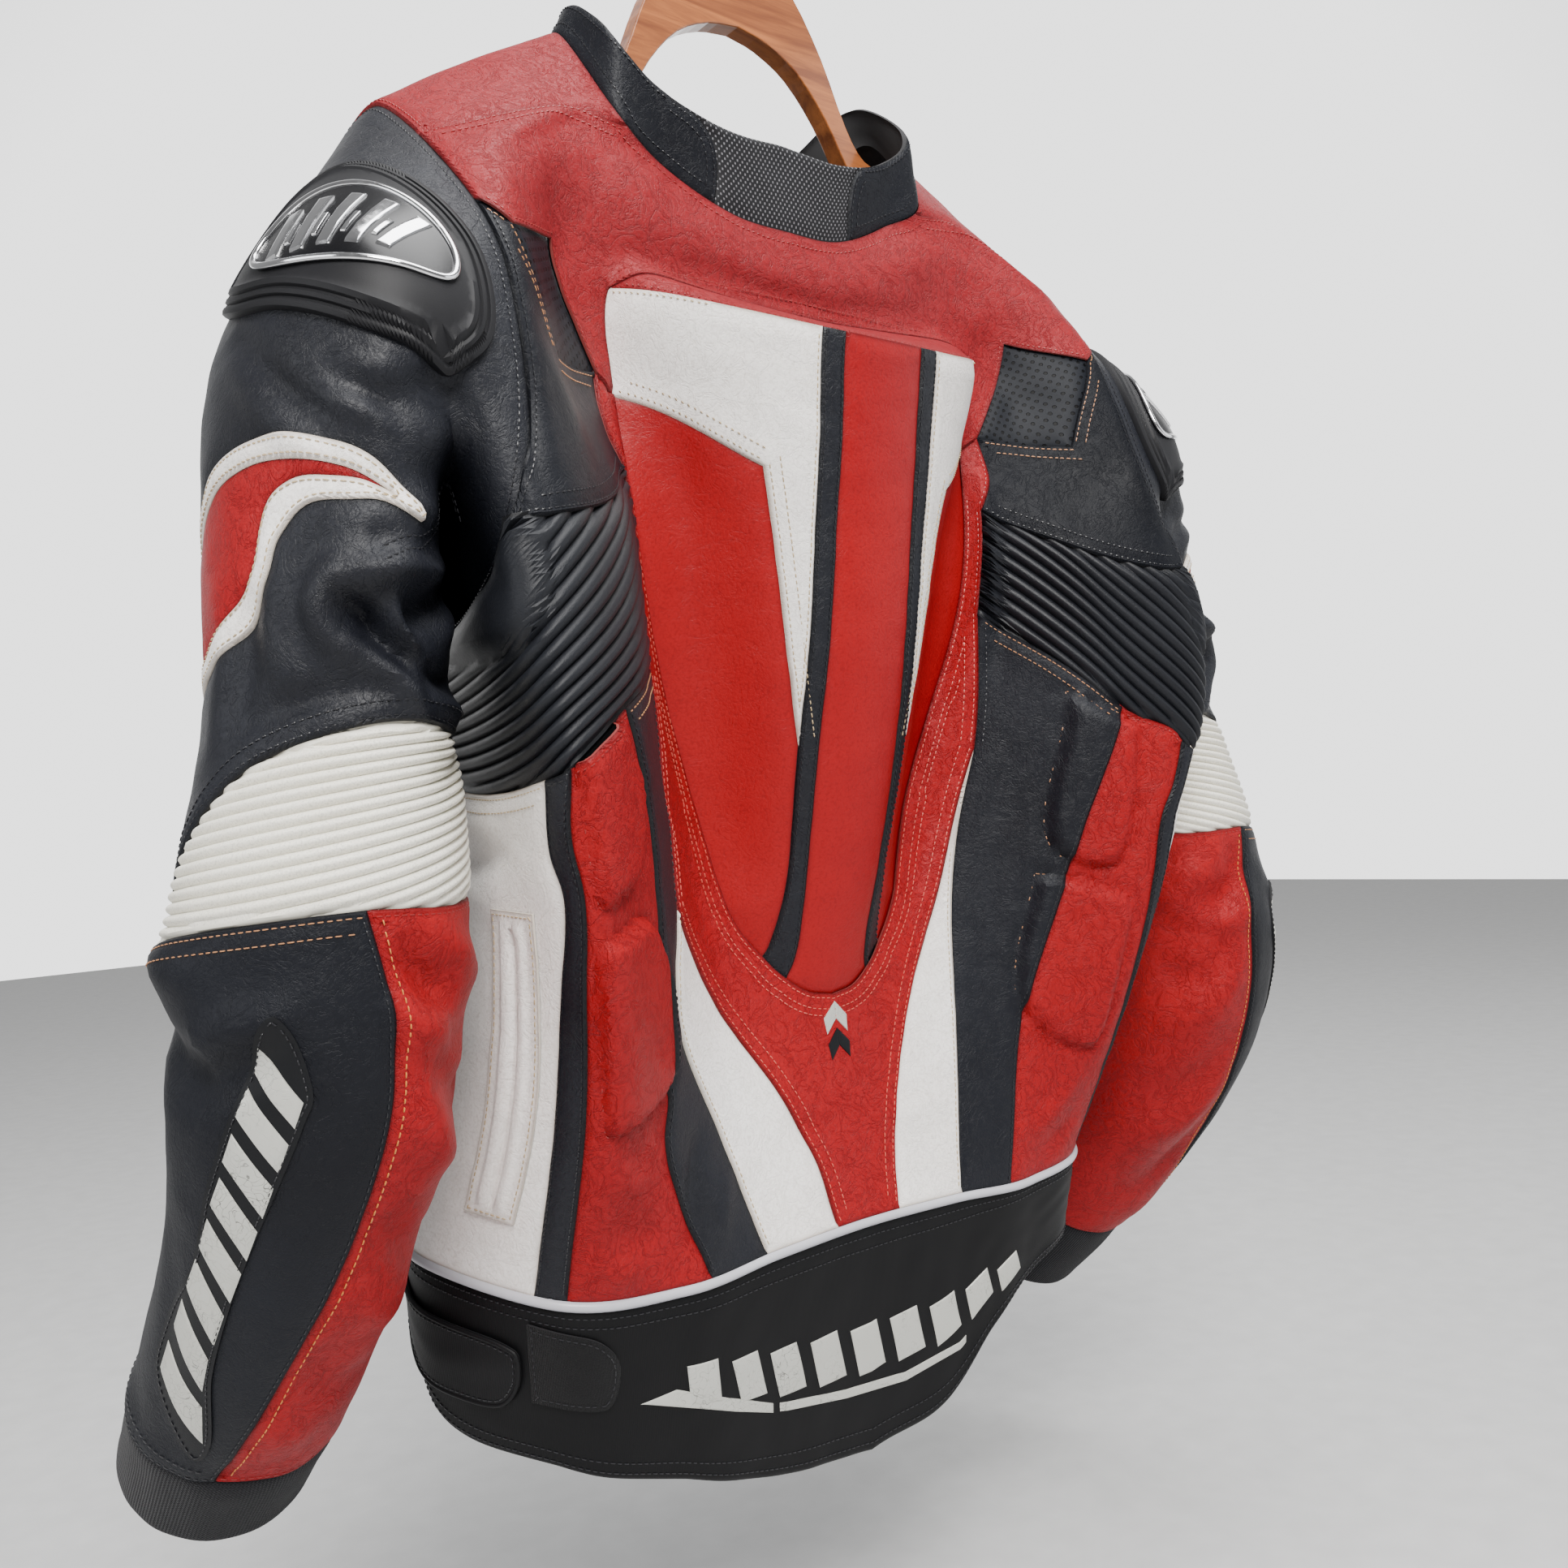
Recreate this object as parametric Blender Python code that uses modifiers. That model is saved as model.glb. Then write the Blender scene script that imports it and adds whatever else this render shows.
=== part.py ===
"""Motorcycle jacket on a coat hanger.

A race-cut leather jacket hangs empty on a wishbone hanger. Its panels are cut along named seams that are drawn in
a chart: (u, v) on the trunk, (w, t) on a sleeve. Each panel is a thin wall over the same smooth form, so its
edges run side by side with its neighbours' at one narrow seam gap.

Frame: +X is the wearer's left, +Y the wearer's back, +Z up, metres. The origin is the inner top of the hanger's
hook, where a rail would carry it.
"""
import bpy
import bmesh
import numpy as np
from math import cos, pi, radians, sin
from mathutils import Matrix, Vector
from mathutils.geometry import delaunay_2d_cdt

COLLECTION = "motorcycle_jacket"
SIDES = {"left": 1, "right": -1}

# ---- driving sizes, metres -------------------------------------------------------------------------------------
HOOK_ABOVE_HEM = 0.840      # rail contact above the hem line at the centre back
HANGER_Y = 0.030            # the hanger's plane, measured from the trunk's own middle
LEATHER = 0.0014            # wall of the leather panels
HUMP_WALL = 0.0022          # wall of the insert over the hump, measured square to the trunk
SHELF_WALL = 0.0035         # wall of the steep shelf above the hump, measured square to the trunk
TEXTILE = 0.0020            # waist belt and tail
KNIT = 0.0022               # cuffs
GUARD_WALL = 0.0030         # moulded shoulder guard
SEAM_GAP = 0.0003           # between neighbouring pieces
SHELF_GAP = 0.0008          # the same beside the steep shelf, measured along its slope
LIFT_STEP = 0.0010          # from a panel to a piece that lies on it
EDGE_STEP = 0.025           # spacing of points along a seam
ARMHOLE_STEP = 12           # the same round the armhole seam, in degrees
GRID_STEP = 0.037           # spacing of points inside a panel
ZIP_HALF_WIDTH = 0.006
ZIP_TAPE = 0.0012           # thickness of the closed zip
PIPING_RADIUS = 0.0020
HOOK_WIRE = 0.0020          # radius of the hook's wire
HOOK_BEND = 0.024           # radius of the hook's arc, at the wire's middle
HANGER_THICK = 0.013        # wooden arms, front to back
HANGER_ROUNDING = 0.0035    # their edges

# ---- the trunk: rings of stations from the centre back (u = 0) round the side (u = .5) to the front (u = 1) ----
STATIONS = [0.0, 0.13, 0.27, 0.40, 0.5, 0.74, 1.0]
TRUNK = [
    # v,   back y z      valley x y z         blade x y z          flank x y z         side x y z
    #      chest x y z         front y z
    (0.00, .088, .000,  .066, .091, -.001,  .130, .093, -.004,  .195, .074, .002,  .228, .005, .016,
           .150, -.085, .030,  -.105, .030),
    (0.17, .071, .100,  .070, .074, .098,  .142, .104, .098,  .198, .124, .102,  .222, .045, .108,
           .150, -.088, .110,  -.110, .110),
    (0.36, .060, .210,  .078, .057, .208,  .160, .130, .208,  .218, .154, .214,  .218, .060, .220,
           .160, -.088, .215,  -.118, .215),
    (0.52, .054, .308,  .092, .057, .305,  .174, .146, .300,  .238, .162, .312,  .222, .055, .330,
           .170, -.082, .320,  -.122, .315),
    (0.64, .057, .385,  .100, .061, .386,  .170, .132, .382,  .230, .148, .400,  .236, .048, .425,
           .175, -.076, .400,  -.116, .390),
    (0.75, .065, .447,  .104, .067, .452,  .163, .090, .464,  .222, .127, .484,  .254, .036, .515,
           .170, -.062, .475,  -.105, .450),
    (0.85, .074, .498,  .100, .074, .504,  .152, .077, .522,  .205, .098, .548,  .240, .028, .586,
           .150, -.045, .540,  -.090, .500),
    (0.93, .078, .537,  .070, .077, .548,  .115, .075, .574,  .155, .063, .606,  .178, .027, .634,
           .115, -.030, .590,  -.075, .540),
    (1.00, .071, .566,  .039, .069, .569,  .083, .064, .589,  .114, .066, .612,  .120, .028, .666,
           .080, -.034, .612,  -.067, .560),
]
HUMP = [
    # v, height of the hump's ridge over the trunk
    (0.212, .000),
    (0.33, .030),
    (0.52, .066),
    (0.70, .077),
    (0.84, .076),
]
COLLAR_TOP = [
    # u, x, y, z of the collar's upper edge
    (0.00, .000, .072, .616),
    (0.13, .042, .074, .614),
    (0.27, .085, .070, .628),
    (0.40, .112, .062, .656),
    (0.50, .111, .028, .686),
    (0.74, .080, -.036, .657),
    (1.00, .000, -.073, .604),
]
TAIL_DROP = [
    # u, depth of the waist belt and tail below the piping on the left side, on the right side
    (0.00, .128, .128),
    (0.13, .118, .114),
    (0.21, .106, .081),
    (0.29, .093, .058),
    (0.40, .081, .048),
    (0.51, .076, .046),
    (0.56, .050, .046),
    (1.00, .046, .046),
]

# ---- the sleeves: a loop on the trunk, then rings down the arm --------------------------------------------------
ARMHOLE = dict(u=.51, v=.690, back=.130, front=.100, rise=.180)
RIB_BACK = {1: 125, -1: 120}                # angle where the accordion's upper seam meets each armhole
ARMHOLE_KNOTS = (27, 50, 75, 100, None, 145, 172, 180, 200, 223, 246, 270, 296, 320, 344, 387)
SLEEVE = [
    # t, centre x y z, tilt up and out, pitch forward (degrees), half width out, half width fore-and-aft
    (0.12, .266, .055, .438, 68, 0, .074, .092),
    (0.24, .282, .058, .393, 52, 0, .066, .085),
    (0.36, .285, .063, .338, 28, 0, .053, .078),
    (0.48, .288, .070, .276, 8, 2, .052, .069),
    (0.60, .298, .078, .205, 0, 8, .061, .066),
    (0.70, .303, .074, .138, 0, 18, .063, .066),
    (0.82, .310, .046, .063, 0, 30, .058, .060),
    (0.92, .316, -.002, -.014, 0, 36, .051, .052),
    (1.00, .320, -.045, -.067, 0, 36, .045, .046),
]
SEAM_TURN = .10             # share of a sleeve or collar over which its wall turns away from the trunk's
RIGHT_HANG = [
    # t, how far the right sleeve's ring lies outward, back and up from the left one's mirror image
    (.00, .000, .000, .000),
    (.12, -.010, -.008, -.005),
    (.36, -.005, -.008, -.002),
    (.60, .004, .000, .000),
    (.72, .012, .008, -.006),
    (.84, .004, .004, -.020),
    (1.0, -.014, -.036, -.050),
]


def hermite(knots, values, at):
    """Cubic through values at the knots, with finite-difference slopes; knots run along the first axis."""
    knots = np.asarray(knots, float)
    values = np.asarray(values, float)
    slopes = np.gradient(values, knots, axis=0)
    at = np.clip(np.asarray(at, float), knots[0], knots[-1])
    i = np.clip(np.searchsorted(knots, at, side="right") - 1, 0, len(knots) - 2)
    width = knots[i + 1] - knots[i]
    s = (at - knots[i]) / width
    extra = (Ellipsis,) + (None,) * (values.ndim - 1)
    s, width = s[extra], width[extra]
    return ((2 * s**3 - 3 * s**2 + 1) * values[i] + (s**3 - 2 * s**2 + s) * width * slopes[i]
            + (3 * s**2 - 2 * s**3) * values[i + 1] + (s**3 - s**2) * width * slopes[i + 1])


def along_rows(rows, at):
    """Cubic through a column of samples that differs from point to point: rows is (knots, one array per knot)."""
    knots, values = rows
    slopes = np.gradient(values, knots, axis=0)
    i = np.clip(np.searchsorted(knots, at, side="right") - 1, 0, len(knots) - 2)
    n = np.arange(len(at))
    width = (knots[i + 1] - knots[i])[:, None]
    s = ((at - knots[i]) / (knots[i + 1] - knots[i]))[:, None]
    return ((2 * s**3 - 3 * s**2 + 1) * values[i, n] + (s**3 - 2 * s**2 + s) * width * slopes[i, n]
            + (3 * s**2 - 2 * s**3) * values[i + 1, n] + (s**3 - s**2) * width * slopes[i + 1, n])


def trunk_raw(u, v):
    """The trunk's smooth form before the hump."""
    u, v = np.broadcast_arrays(np.asarray(u, float), np.asarray(v, float))
    rows = np.asarray(TRUNK, float)
    net = hermite(rows[:, 0], rows[:, 1:], v.ravel())
    zero = np.zeros(len(net))
    back = np.stack([zero, net[:, 0], net[:, 1]], -1)
    front = np.stack([zero, net[:, -2], net[:, -1]], -1)
    ring = np.concatenate([back[:, None], net[:, 2:-2].reshape(len(net), -1, 3), front[:, None]], 1)
    mirrored = ring * np.array([-1, 1, 1])
    ring = np.concatenate([mirrored[:, 1:2], ring, mirrored[:, -2:-1]], 1)
    knots = np.array([-STATIONS[1]] + STATIONS + [2 - STATIONS[-2]])
    point = along_rows((knots, ring.transpose(1, 0, 2)), np.abs(u).ravel())
    point[:, 0] *= np.where(u.ravel() < 0, -1, 1)
    return point.reshape(u.shape + (3,))


INSERT_EDGE = [
    # u, v from the hump insert's lowest point up to its top corner
    (.000, .212),
    (.030, .218),
    (.055, .234),
    (.078, .258),
    (.110, .310),
    (.130, .420),
    (.145, .500),
    (.165, .600),
    (.180, .745),
    (.195, .845),
]
NECK = [(0, 1), (.165, 1), (.360, 1), (.500, 1), (.740, 1)]     # its last knot is the zip's edge
INSERT_TOP = [.195, .120, .049, .033, .000]     # u of the seams that meet the insert's upper edge
TOP_DIP = .007              # v by which that edge hangs lower at the centre
SHELF_TOP = .884            # v of the shelf's upper seam at the centre back


def insert_half_width(v):
    """Half width of the hump insert in u, at height v."""
    edge = np.array(INSERT_EDGE)
    return np.interp(v, edge[:, 1], edge[:, 0])


def insert_top(u):
    """v of the insert's upper edge."""
    corner = INSERT_EDGE[-1]
    return corner[1] - TOP_DIP * np.clip(1 - (np.asarray(u) / corner[0]) ** 2, 0, 1)


def unit(a):
    return a / np.maximum(np.linalg.norm(a, axis=-1, keepdims=True), 1e-12)


def frame_of(surface, a, b, step=1e-4):
    """Tangents along both chart directions and the outward normal of a surface."""
    along_a = (surface(a + step, b) - surface(a - step, b)) / (2 * step)
    along_b = (surface(a, b + step) - surface(a, b - step)) / (2 * step)
    return along_a, along_b, unit(np.cross(along_a, along_b))


def trunk(u, v):
    """The trunk with the hump raised on it: the insert is arched across, and the shelf runs down from its top."""
    u, v = np.broadcast_arrays(np.asarray(u, float), np.asarray(v, float))
    base = trunk_raw(u, v)
    normal = -frame_of(trunk_raw, u, v)[2]
    rows = np.array(HUMP)
    across = np.clip(1 - (u / np.maximum(insert_half_width(v), 1e-6)) ** 2, 0, 1)
    ridge = hermite(rows[:, 0], rows[:, 1:], v)[..., 0] * (v > rows[0, 0])
    top = insert_top(u)
    fall = np.clip((SHELF_TOP - v) / (SHELF_TOP - top), 0, 1)
    height = np.where(v < top, across * ridge, across * rows[-1, 1] * fall ** 1.3)
    height = np.where(np.abs(u) > INSERT_EDGE[-1][0], 0, height)
    return base + normal * height[..., None]


def trunk_out(u, v):
    """Outward direction of the trunk's walls, the same on both sides of every seam."""
    return -frame_of(trunk_raw, u, v)[2]


def turn_over(start, end, share):
    """Outward directions that turn from the trunk's, at a seam, to the piece's own."""
    share = np.clip(share, 0, 1)[..., None]
    return unit(start * (1 - share) + end * share)


def armhole(angle):
    """Chart point on the armhole, the angle in degrees from its top towards the back."""
    a = radians(angle)
    reach = ARMHOLE["back"] if sin(a) > 0 else ARMHOLE["front"]
    return ARMHOLE["u"] - reach * sin(a), ARMHOLE["v"] + ARMHOLE["rise"] * cos(a)


def armhole_runs(side):
    """The armhole seam as one run of angles for each interval of its knots; None stands for the accordion's corner."""
    knots = [RIB_BACK[side] if angle is None else angle for angle in ARMHOLE_KNOTS]
    return [np.linspace(a, b, max(2, round((b - a) / ARMHOLE_STEP) + 1)) for a, b in zip(knots[:-1], knots[1:])]


def sleeve(side):
    """Surface of one sleeve: w runs 0 outer, .25 back, .5 inner, .75 front; t runs 0 armhole to 1 cuff edge."""
    rows = np.asarray(SLEEVE, float).copy()
    if side < 0:
        hang = np.array(RIGHT_HANG)
        rows[:, 1:4] += hermite(hang[:, 0], hang[:, 1:], rows[:, 0])
    knots = np.concatenate([[0.0], rows[:, 0]])
    out = np.stack([np.cos(np.radians(rows[:, 4])), 0 * rows[:, 4], np.sin(np.radians(rows[:, 4]))], -1)
    back = np.stack([0 * rows[:, 5], np.cos(np.radians(rows[:, 5])), -np.sin(np.radians(rows[:, 5]))], -1)

    def surface(w, t):
        w, t = np.broadcast_arrays(np.asarray(w, float), np.asarray(t, float))
        angle = 2 * pi * w.ravel()
        reach = np.where(np.sin(angle) > 0, ARMHOLE["back"], ARMHOLE["front"])
        loop = trunk_raw(ARMHOLE["u"] - reach * np.sin(angle), ARMHOLE["v"] + ARMHOLE["rise"] * np.cos(angle))
        rings = (rows[:, None, 1:4] + rows[:, 6, None, None] * np.cos(angle)[None, :, None] * out[:, None]
                 + rows[:, 7, None, None] * np.sin(angle)[None, :, None] * back[:, None])
        point = along_rows((knots, np.concatenate([loop[None], rings])), t.ravel())
        point[:, 0] *= side
        return point.reshape(w.shape + (3,))

    def outward(w, t):
        w, t = np.broadcast_arrays(np.asarray(w, float), np.asarray(t, float))
        angle = 2 * pi * w
        reach = np.where(np.sin(angle) > 0, ARMHOLE["back"], ARMHOLE["front"])
        body = trunk_out(ARMHOLE["u"] - reach * np.sin(angle), ARMHOLE["v"] + ARMHOLE["rise"] * np.cos(angle))
        body = body * np.array([side, 1, 1])
        return turn_over(body, -side * frame_of(surface, w, t)[2], t / SEAM_TURN)

    return surface, outward


def collar(u, c):
    """Stand collar: c runs 0 at the neck seam to 1 at its upper edge."""
    u, c = np.broadcast_arrays(np.asarray(u, float), np.asarray(c, float))
    rows = np.array(COLLAR_TOP)
    top = hermite(rows[:, 0], rows[:, 1:], np.abs(u).ravel()).reshape(u.shape + (3,))
    top = top * np.where((u < 0)[..., None], np.array([-1, 1, 1]), 1)
    foot = trunk_raw(u, np.ones_like(u))
    return foot + (top - foot) * c[..., None]


def collar_out(u, c):
    u, c = np.broadcast_arrays(np.asarray(u, float), np.asarray(c, float))
    return turn_over(trunk_out(u, np.ones_like(u)), -frame_of(collar, u, c)[2], c / SEAM_TURN)


def belt(u, q):
    """Waist belt and tail: q runs 0 under the piping to 1 at the lower edge."""
    u, q = np.broadcast_arrays(np.asarray(u, float), np.asarray(q, float))
    rows = np.array(TAIL_DROP)
    depths = hermite(rows[:, 0], rows[:, 1:], np.abs(u).ravel())
    drop = np.where(u.ravel() >= 0, depths[:, 0], depths[:, 1]).reshape(u.shape)
    hem = trunk_raw(u, np.zeros_like(u))
    shrink = 1 - .03 * q
    below = 2 * PIPING_RADIUS + 3 * SEAM_GAP
    return np.stack([hem[..., 0] * shrink, hem[..., 1] * shrink - .006 * q, hem[..., 2] - below - q * drop], -1)


def belt_out(u, q):
    return frame_of(belt, u, q)[2]


def zip_line(x, v):
    """Strip along the centre front; x is the distance across it in metres."""
    x, v = np.broadcast_arrays(np.asarray(x, float), np.asarray(v, float))
    middle = trunk_raw(np.ones_like(v), v)
    return middle + x[..., None] * np.array([1.0, 0, 0])


def zip_out(x, v):
    return frame_of(zip_line, x, v)[2]


def zip_edge_u(v):
    """u of a front panel's edge beside the zip, at height v."""
    across_one_u = trunk_raw(.999, v)[0] / .001
    return 1 - ZIP_HALF_WIDTH / across_one_u


# ---- seam curves and outlines in a chart ------------------------------------------------------------------------
def curve(knots, surface, step=EDGE_STEP):
    """Smooth curve through knots, cut into one run of points for each interval, about one step apart."""
    knots = np.asarray(knots, float)
    index = np.arange(len(knots))
    runs = []
    for i in index[:-1]:
        fine = hermite(index, knots, np.linspace(i, i + 1, 17)) if len(knots) > 2 else np.linspace(*knots, 17)
        length = np.linalg.norm(np.diff(surface(fine[:, 0], fine[:, 1]), axis=0), axis=1).sum()
        count = max(1, int(round(length / step)))
        at = np.linspace(i, i + 1, count + 1)
        run = hermite(index, knots, at) if len(knots) > 2 else knots[0] + (knots[1] - knots[0]) * at[:, None]
        runs.append(run)
    return runs


def stretch(runs, first, last):
    """Points of a curve from knot `first` to knot `last`, in that order."""
    low, high = min(first, last), max(first, last)
    points = np.concatenate([runs[i] if i == low else runs[i][1:] for i in range(low, high)])
    return points if first < last else points[::-1]


def whole(runs):
    return stretch(runs, 0, len(runs))


def back(runs):
    return stretch(runs, len(runs), 0)


def outline(*pieces):
    """Closed chart outline from stretches that meet end to end."""
    points = np.concatenate(pieces)
    keep = np.linalg.norm(points - np.roll(points, 1, axis=0), axis=1) > 1e-7
    return points[keep]


def area_of(points):
    x, y = points[:, 0], points[:, 1]
    return .5 * np.sum(x * np.roll(y, -1) - y * np.roll(x, -1))


def inside(points, loop):
    """Which chart points lie inside a closed loop, by counting crossings."""
    x, y = points[:, 0:1], points[:, 1:2]
    ax, ay = loop[:, 0], loop[:, 1]
    bx, by = np.roll(ax, -1), np.roll(ay, -1)
    crosses = (ay > y) != (by > y)
    with np.errstate(divide="ignore", invalid="ignore"):
        at = ax + (y - ay) * (bx - ax) / (by - ay)
    return (np.sum(crosses & (x < at), axis=1) % 2) == 1


def pull_in(loop, surface, distance):
    """Move an outline inward by a distance measured on the surface."""
    step_a, step_b, _ = frame_of(surface, loop[:, 0], loop[:, 1])
    metric = np.stack([np.sum(step_a * step_a, -1), np.sum(step_a * step_b, -1), np.sum(step_b * step_b, -1)], -1)
    turn = np.sign(area_of(loop))

    def inward(delta):
        """Unit step, square on the surface to a chart direction, towards the loop's inside."""
        g11, g12, g22 = metric.T
        root = np.sqrt(np.maximum(g11 * g22 - g12 ** 2, 1e-18))
        side = turn * np.stack([-(g12 * delta[:, 0] + g22 * delta[:, 1]) / root,
                                (g11 * delta[:, 0] + g12 * delta[:, 1]) / root], -1)
        size = g11 * side[:, 0] ** 2 + 2 * g12 * side[:, 0] * side[:, 1] + g22 * side[:, 1] ** 2
        return side / np.sqrt(np.maximum(size, 1e-18))[:, None]

    before = inward(loop - np.roll(loop, 1, axis=0))
    after = inward(np.roll(loop, -1, axis=0) - loop)
    middle = before + after
    g11, g12, g22 = metric.T
    dot = (g11 * before[:, 0] * after[:, 0] + g12 * (before[:, 0] * after[:, 1] + before[:, 1] * after[:, 0])
           + g22 * before[:, 1] * after[:, 1])
    return loop + distance * middle / np.maximum(1 + dot, .35)[:, None]


def grid_inside(loop, holes, surface, step):
    """Staggered grid of chart points inside the outline, well clear of its edges."""
    low, high = loop.min(0), loop.max(0)
    middle = (low + high) / 2
    step_a, step_b, _ = frame_of(surface, middle[0], middle[1])
    du = step / np.linalg.norm(step_a)
    dv = step / np.linalg.norm(step_b) * .87
    rows = np.arange(low[1] + dv / 2, high[1], dv)
    columns = np.arange(low[0], high[0] + du, du)
    grid = np.array([(c + (r % 2) * du / 2, v) for r, v in enumerate(rows) for c in columns]).reshape(-1, 2)
    keep = inside(grid, loop)
    for hole in holes:
        keep &= ~inside(grid, hole)
    grid = grid[keep]
    edges = np.concatenate([loop] + list(holes))
    scale = np.array([1 / du, 1 / dv])
    if len(grid):
        near = np.linalg.norm((grid[:, None] - edges[None]) * scale, axis=2).min(1)
        grid = grid[near > .62]
    return grid


SPLIT_ALONG = np.array([.31, .47, .83])     # the faces along a seam are split the same way on both of its sides


# ---- building in Blender ----------------------------------------------------------------------------------------
MATERIALS = {
    # name: (colour linear r g b, roughness, metallic)
    "red_leather": ((.46, .020, .022), .48, 0.0),
    "black_leather": ((.018, .020, .026), .45, 0.0),
    "white_leather": ((.80, .77, .74), .45, 0.0),
    "cream_leather": ((.76, .74, .67), .50, 0.0),
    "mesh_net": ((.03, .03, .032), .80, 0.0),
    "reflective_piping": ((.58, .58, .62), .35, 0.0),
    "belt_textile": ((.012, .012, .014), .70, 0.0),
    "knit": ((.008, .008, .009), .90, 0.0),
    "moulded_tpu": ((.035, .035, .043), .40, 0.0),
    "zip_tape": ((.015, .015, .017), .80, 0.0),
    "zip_metal": ((.55, .55, .57), .30, 1.0),
    "hanger_wood": ((.37, .14, .035), .30, 0.0),
    "hook_steel": ((.65, .65, .67), .25, 1.0),
}


def clear_scene():
    for item in list(bpy.data.objects):
        bpy.data.objects.remove(item, do_unlink=True)
    for group in list(bpy.data.collections):
        bpy.data.collections.remove(group)


def material(name):
    found = bpy.data.materials.get(name)
    if found:
        return found
    colour, roughness, metallic = MATERIALS[name]
    made = bpy.data.materials.new(name)
    made.use_nodes = True
    shader = made.node_tree.nodes["Principled BSDF"]
    shader.inputs["Base Color"].default_value = (*colour, 1)
    shader.inputs["Roughness"].default_value = roughness
    shader.inputs["Metallic"].default_value = metallic
    return made


def place(mesh_or_curve, name, finish):
    """Object at the garment's own frame, moved so that the hook's contact is the origin."""
    item = bpy.data.objects.new(name, mesh_or_curve)
    item.data.materials.append(material(finish))
    item.location = (0, -HANGER_Y, -HOOK_ABOVE_HEM)
    bpy.data.collections[COLLECTION].objects.link(item)
    return item


def wall(name, finish, loop, form, thickness=LEATHER, base=None, step=GRID_STEP, holes=(), gap=SEAM_GAP):
    """One cloth panel: a chart outline, filled with triangles and raised to a wall over its form.

    Each chart point is placed twice, on the inner and the outer face, along the form's outward direction, so the
    edges of neighbouring panels stay parallel. `base` is the height of the inner face over the form.
    """
    surface, outward = form
    base = -thickness if base is None else base
    loop = pull_in(loop, surface, gap / 2)
    holes = [pull_in(hole, surface, -gap / 2) for hole in holes]
    rings = [loop] + list(holes)
    middle = loop.mean(0)
    step_a, step_b, _ = frame_of(surface, middle[0], middle[1])
    scale = np.array([np.linalg.norm(step_a), np.linalg.norm(step_b)])
    grid = grid_inside(loop, holes, surface, step)
    points = np.concatenate(rings + [grid])
    edges, start = [], 0
    for ring in rings:
        count = len(ring)
        edges += [(start + i, start + (i + 1) % count) for i in range(count)]
        start += count
    flat = [Vector(p * scale) for p in points]
    placed, _, faces, origin, _, _ = delaunay_2d_cdt(flat, edges, [], 0, 1e-9, True)
    if len(placed) != len(points):
        raise ValueError(f"{name}: outline crosses itself ({len(placed)} points from {len(points)})")
    order = np.array([source[0] for source in origin])
    chart = points[order]
    faces = np.array([f for f in faces if len(f) == 3])
    centres = chart[faces].mean(1)
    keep = inside(centres, loop)
    for hole in holes:
        keep &= ~inside(centres, hole)
    faces = faces[keep]
    position = surface(chart[:, 0], chart[:, 1])
    direction = outward(chart[:, 0], chart[:, 1])
    inner = position + direction * base
    outer = position + direction * (base + thickness)
    a, b, c = (position[faces[:, i]] for i in range(3))
    if np.sum(np.cross(b - a, c - a) * direction[faces[:, 0]]) < 0:
        faces = faces[:, ::-1]
    count = len(chart)
    pairs = {(int(face[i]), int(face[(i + 1) % 3])) for face in faces for i in range(3)}
    open_edges = sorted(pair for pair in pairs if (pair[1], pair[0]) not in pairs)
    triangles = [tuple(int(i) + count for i in face) for face in faces]
    triangles += [tuple(int(i) for i in face[::-1]) for face in faces]
    height = position @ SPLIT_ALONG
    for p, q in open_edges:
        if height[p] < height[q]:
            triangles += [(q + count, p + count, p), (p, q, q + count)]
        else:
            triangles += [(p, q, p + count), (q, q + count, p + count)]
    mesh = bpy.data.meshes.new(name)
    mesh.from_pydata([tuple(p) for p in np.concatenate([inner, outer])], [], triangles)
    mesh.update()
    mesh.validate()
    mesh.shade_smooth()
    mesh.set_sharp_from_angle(angle=radians(40))
    return place(mesh, name, finish)


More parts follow.
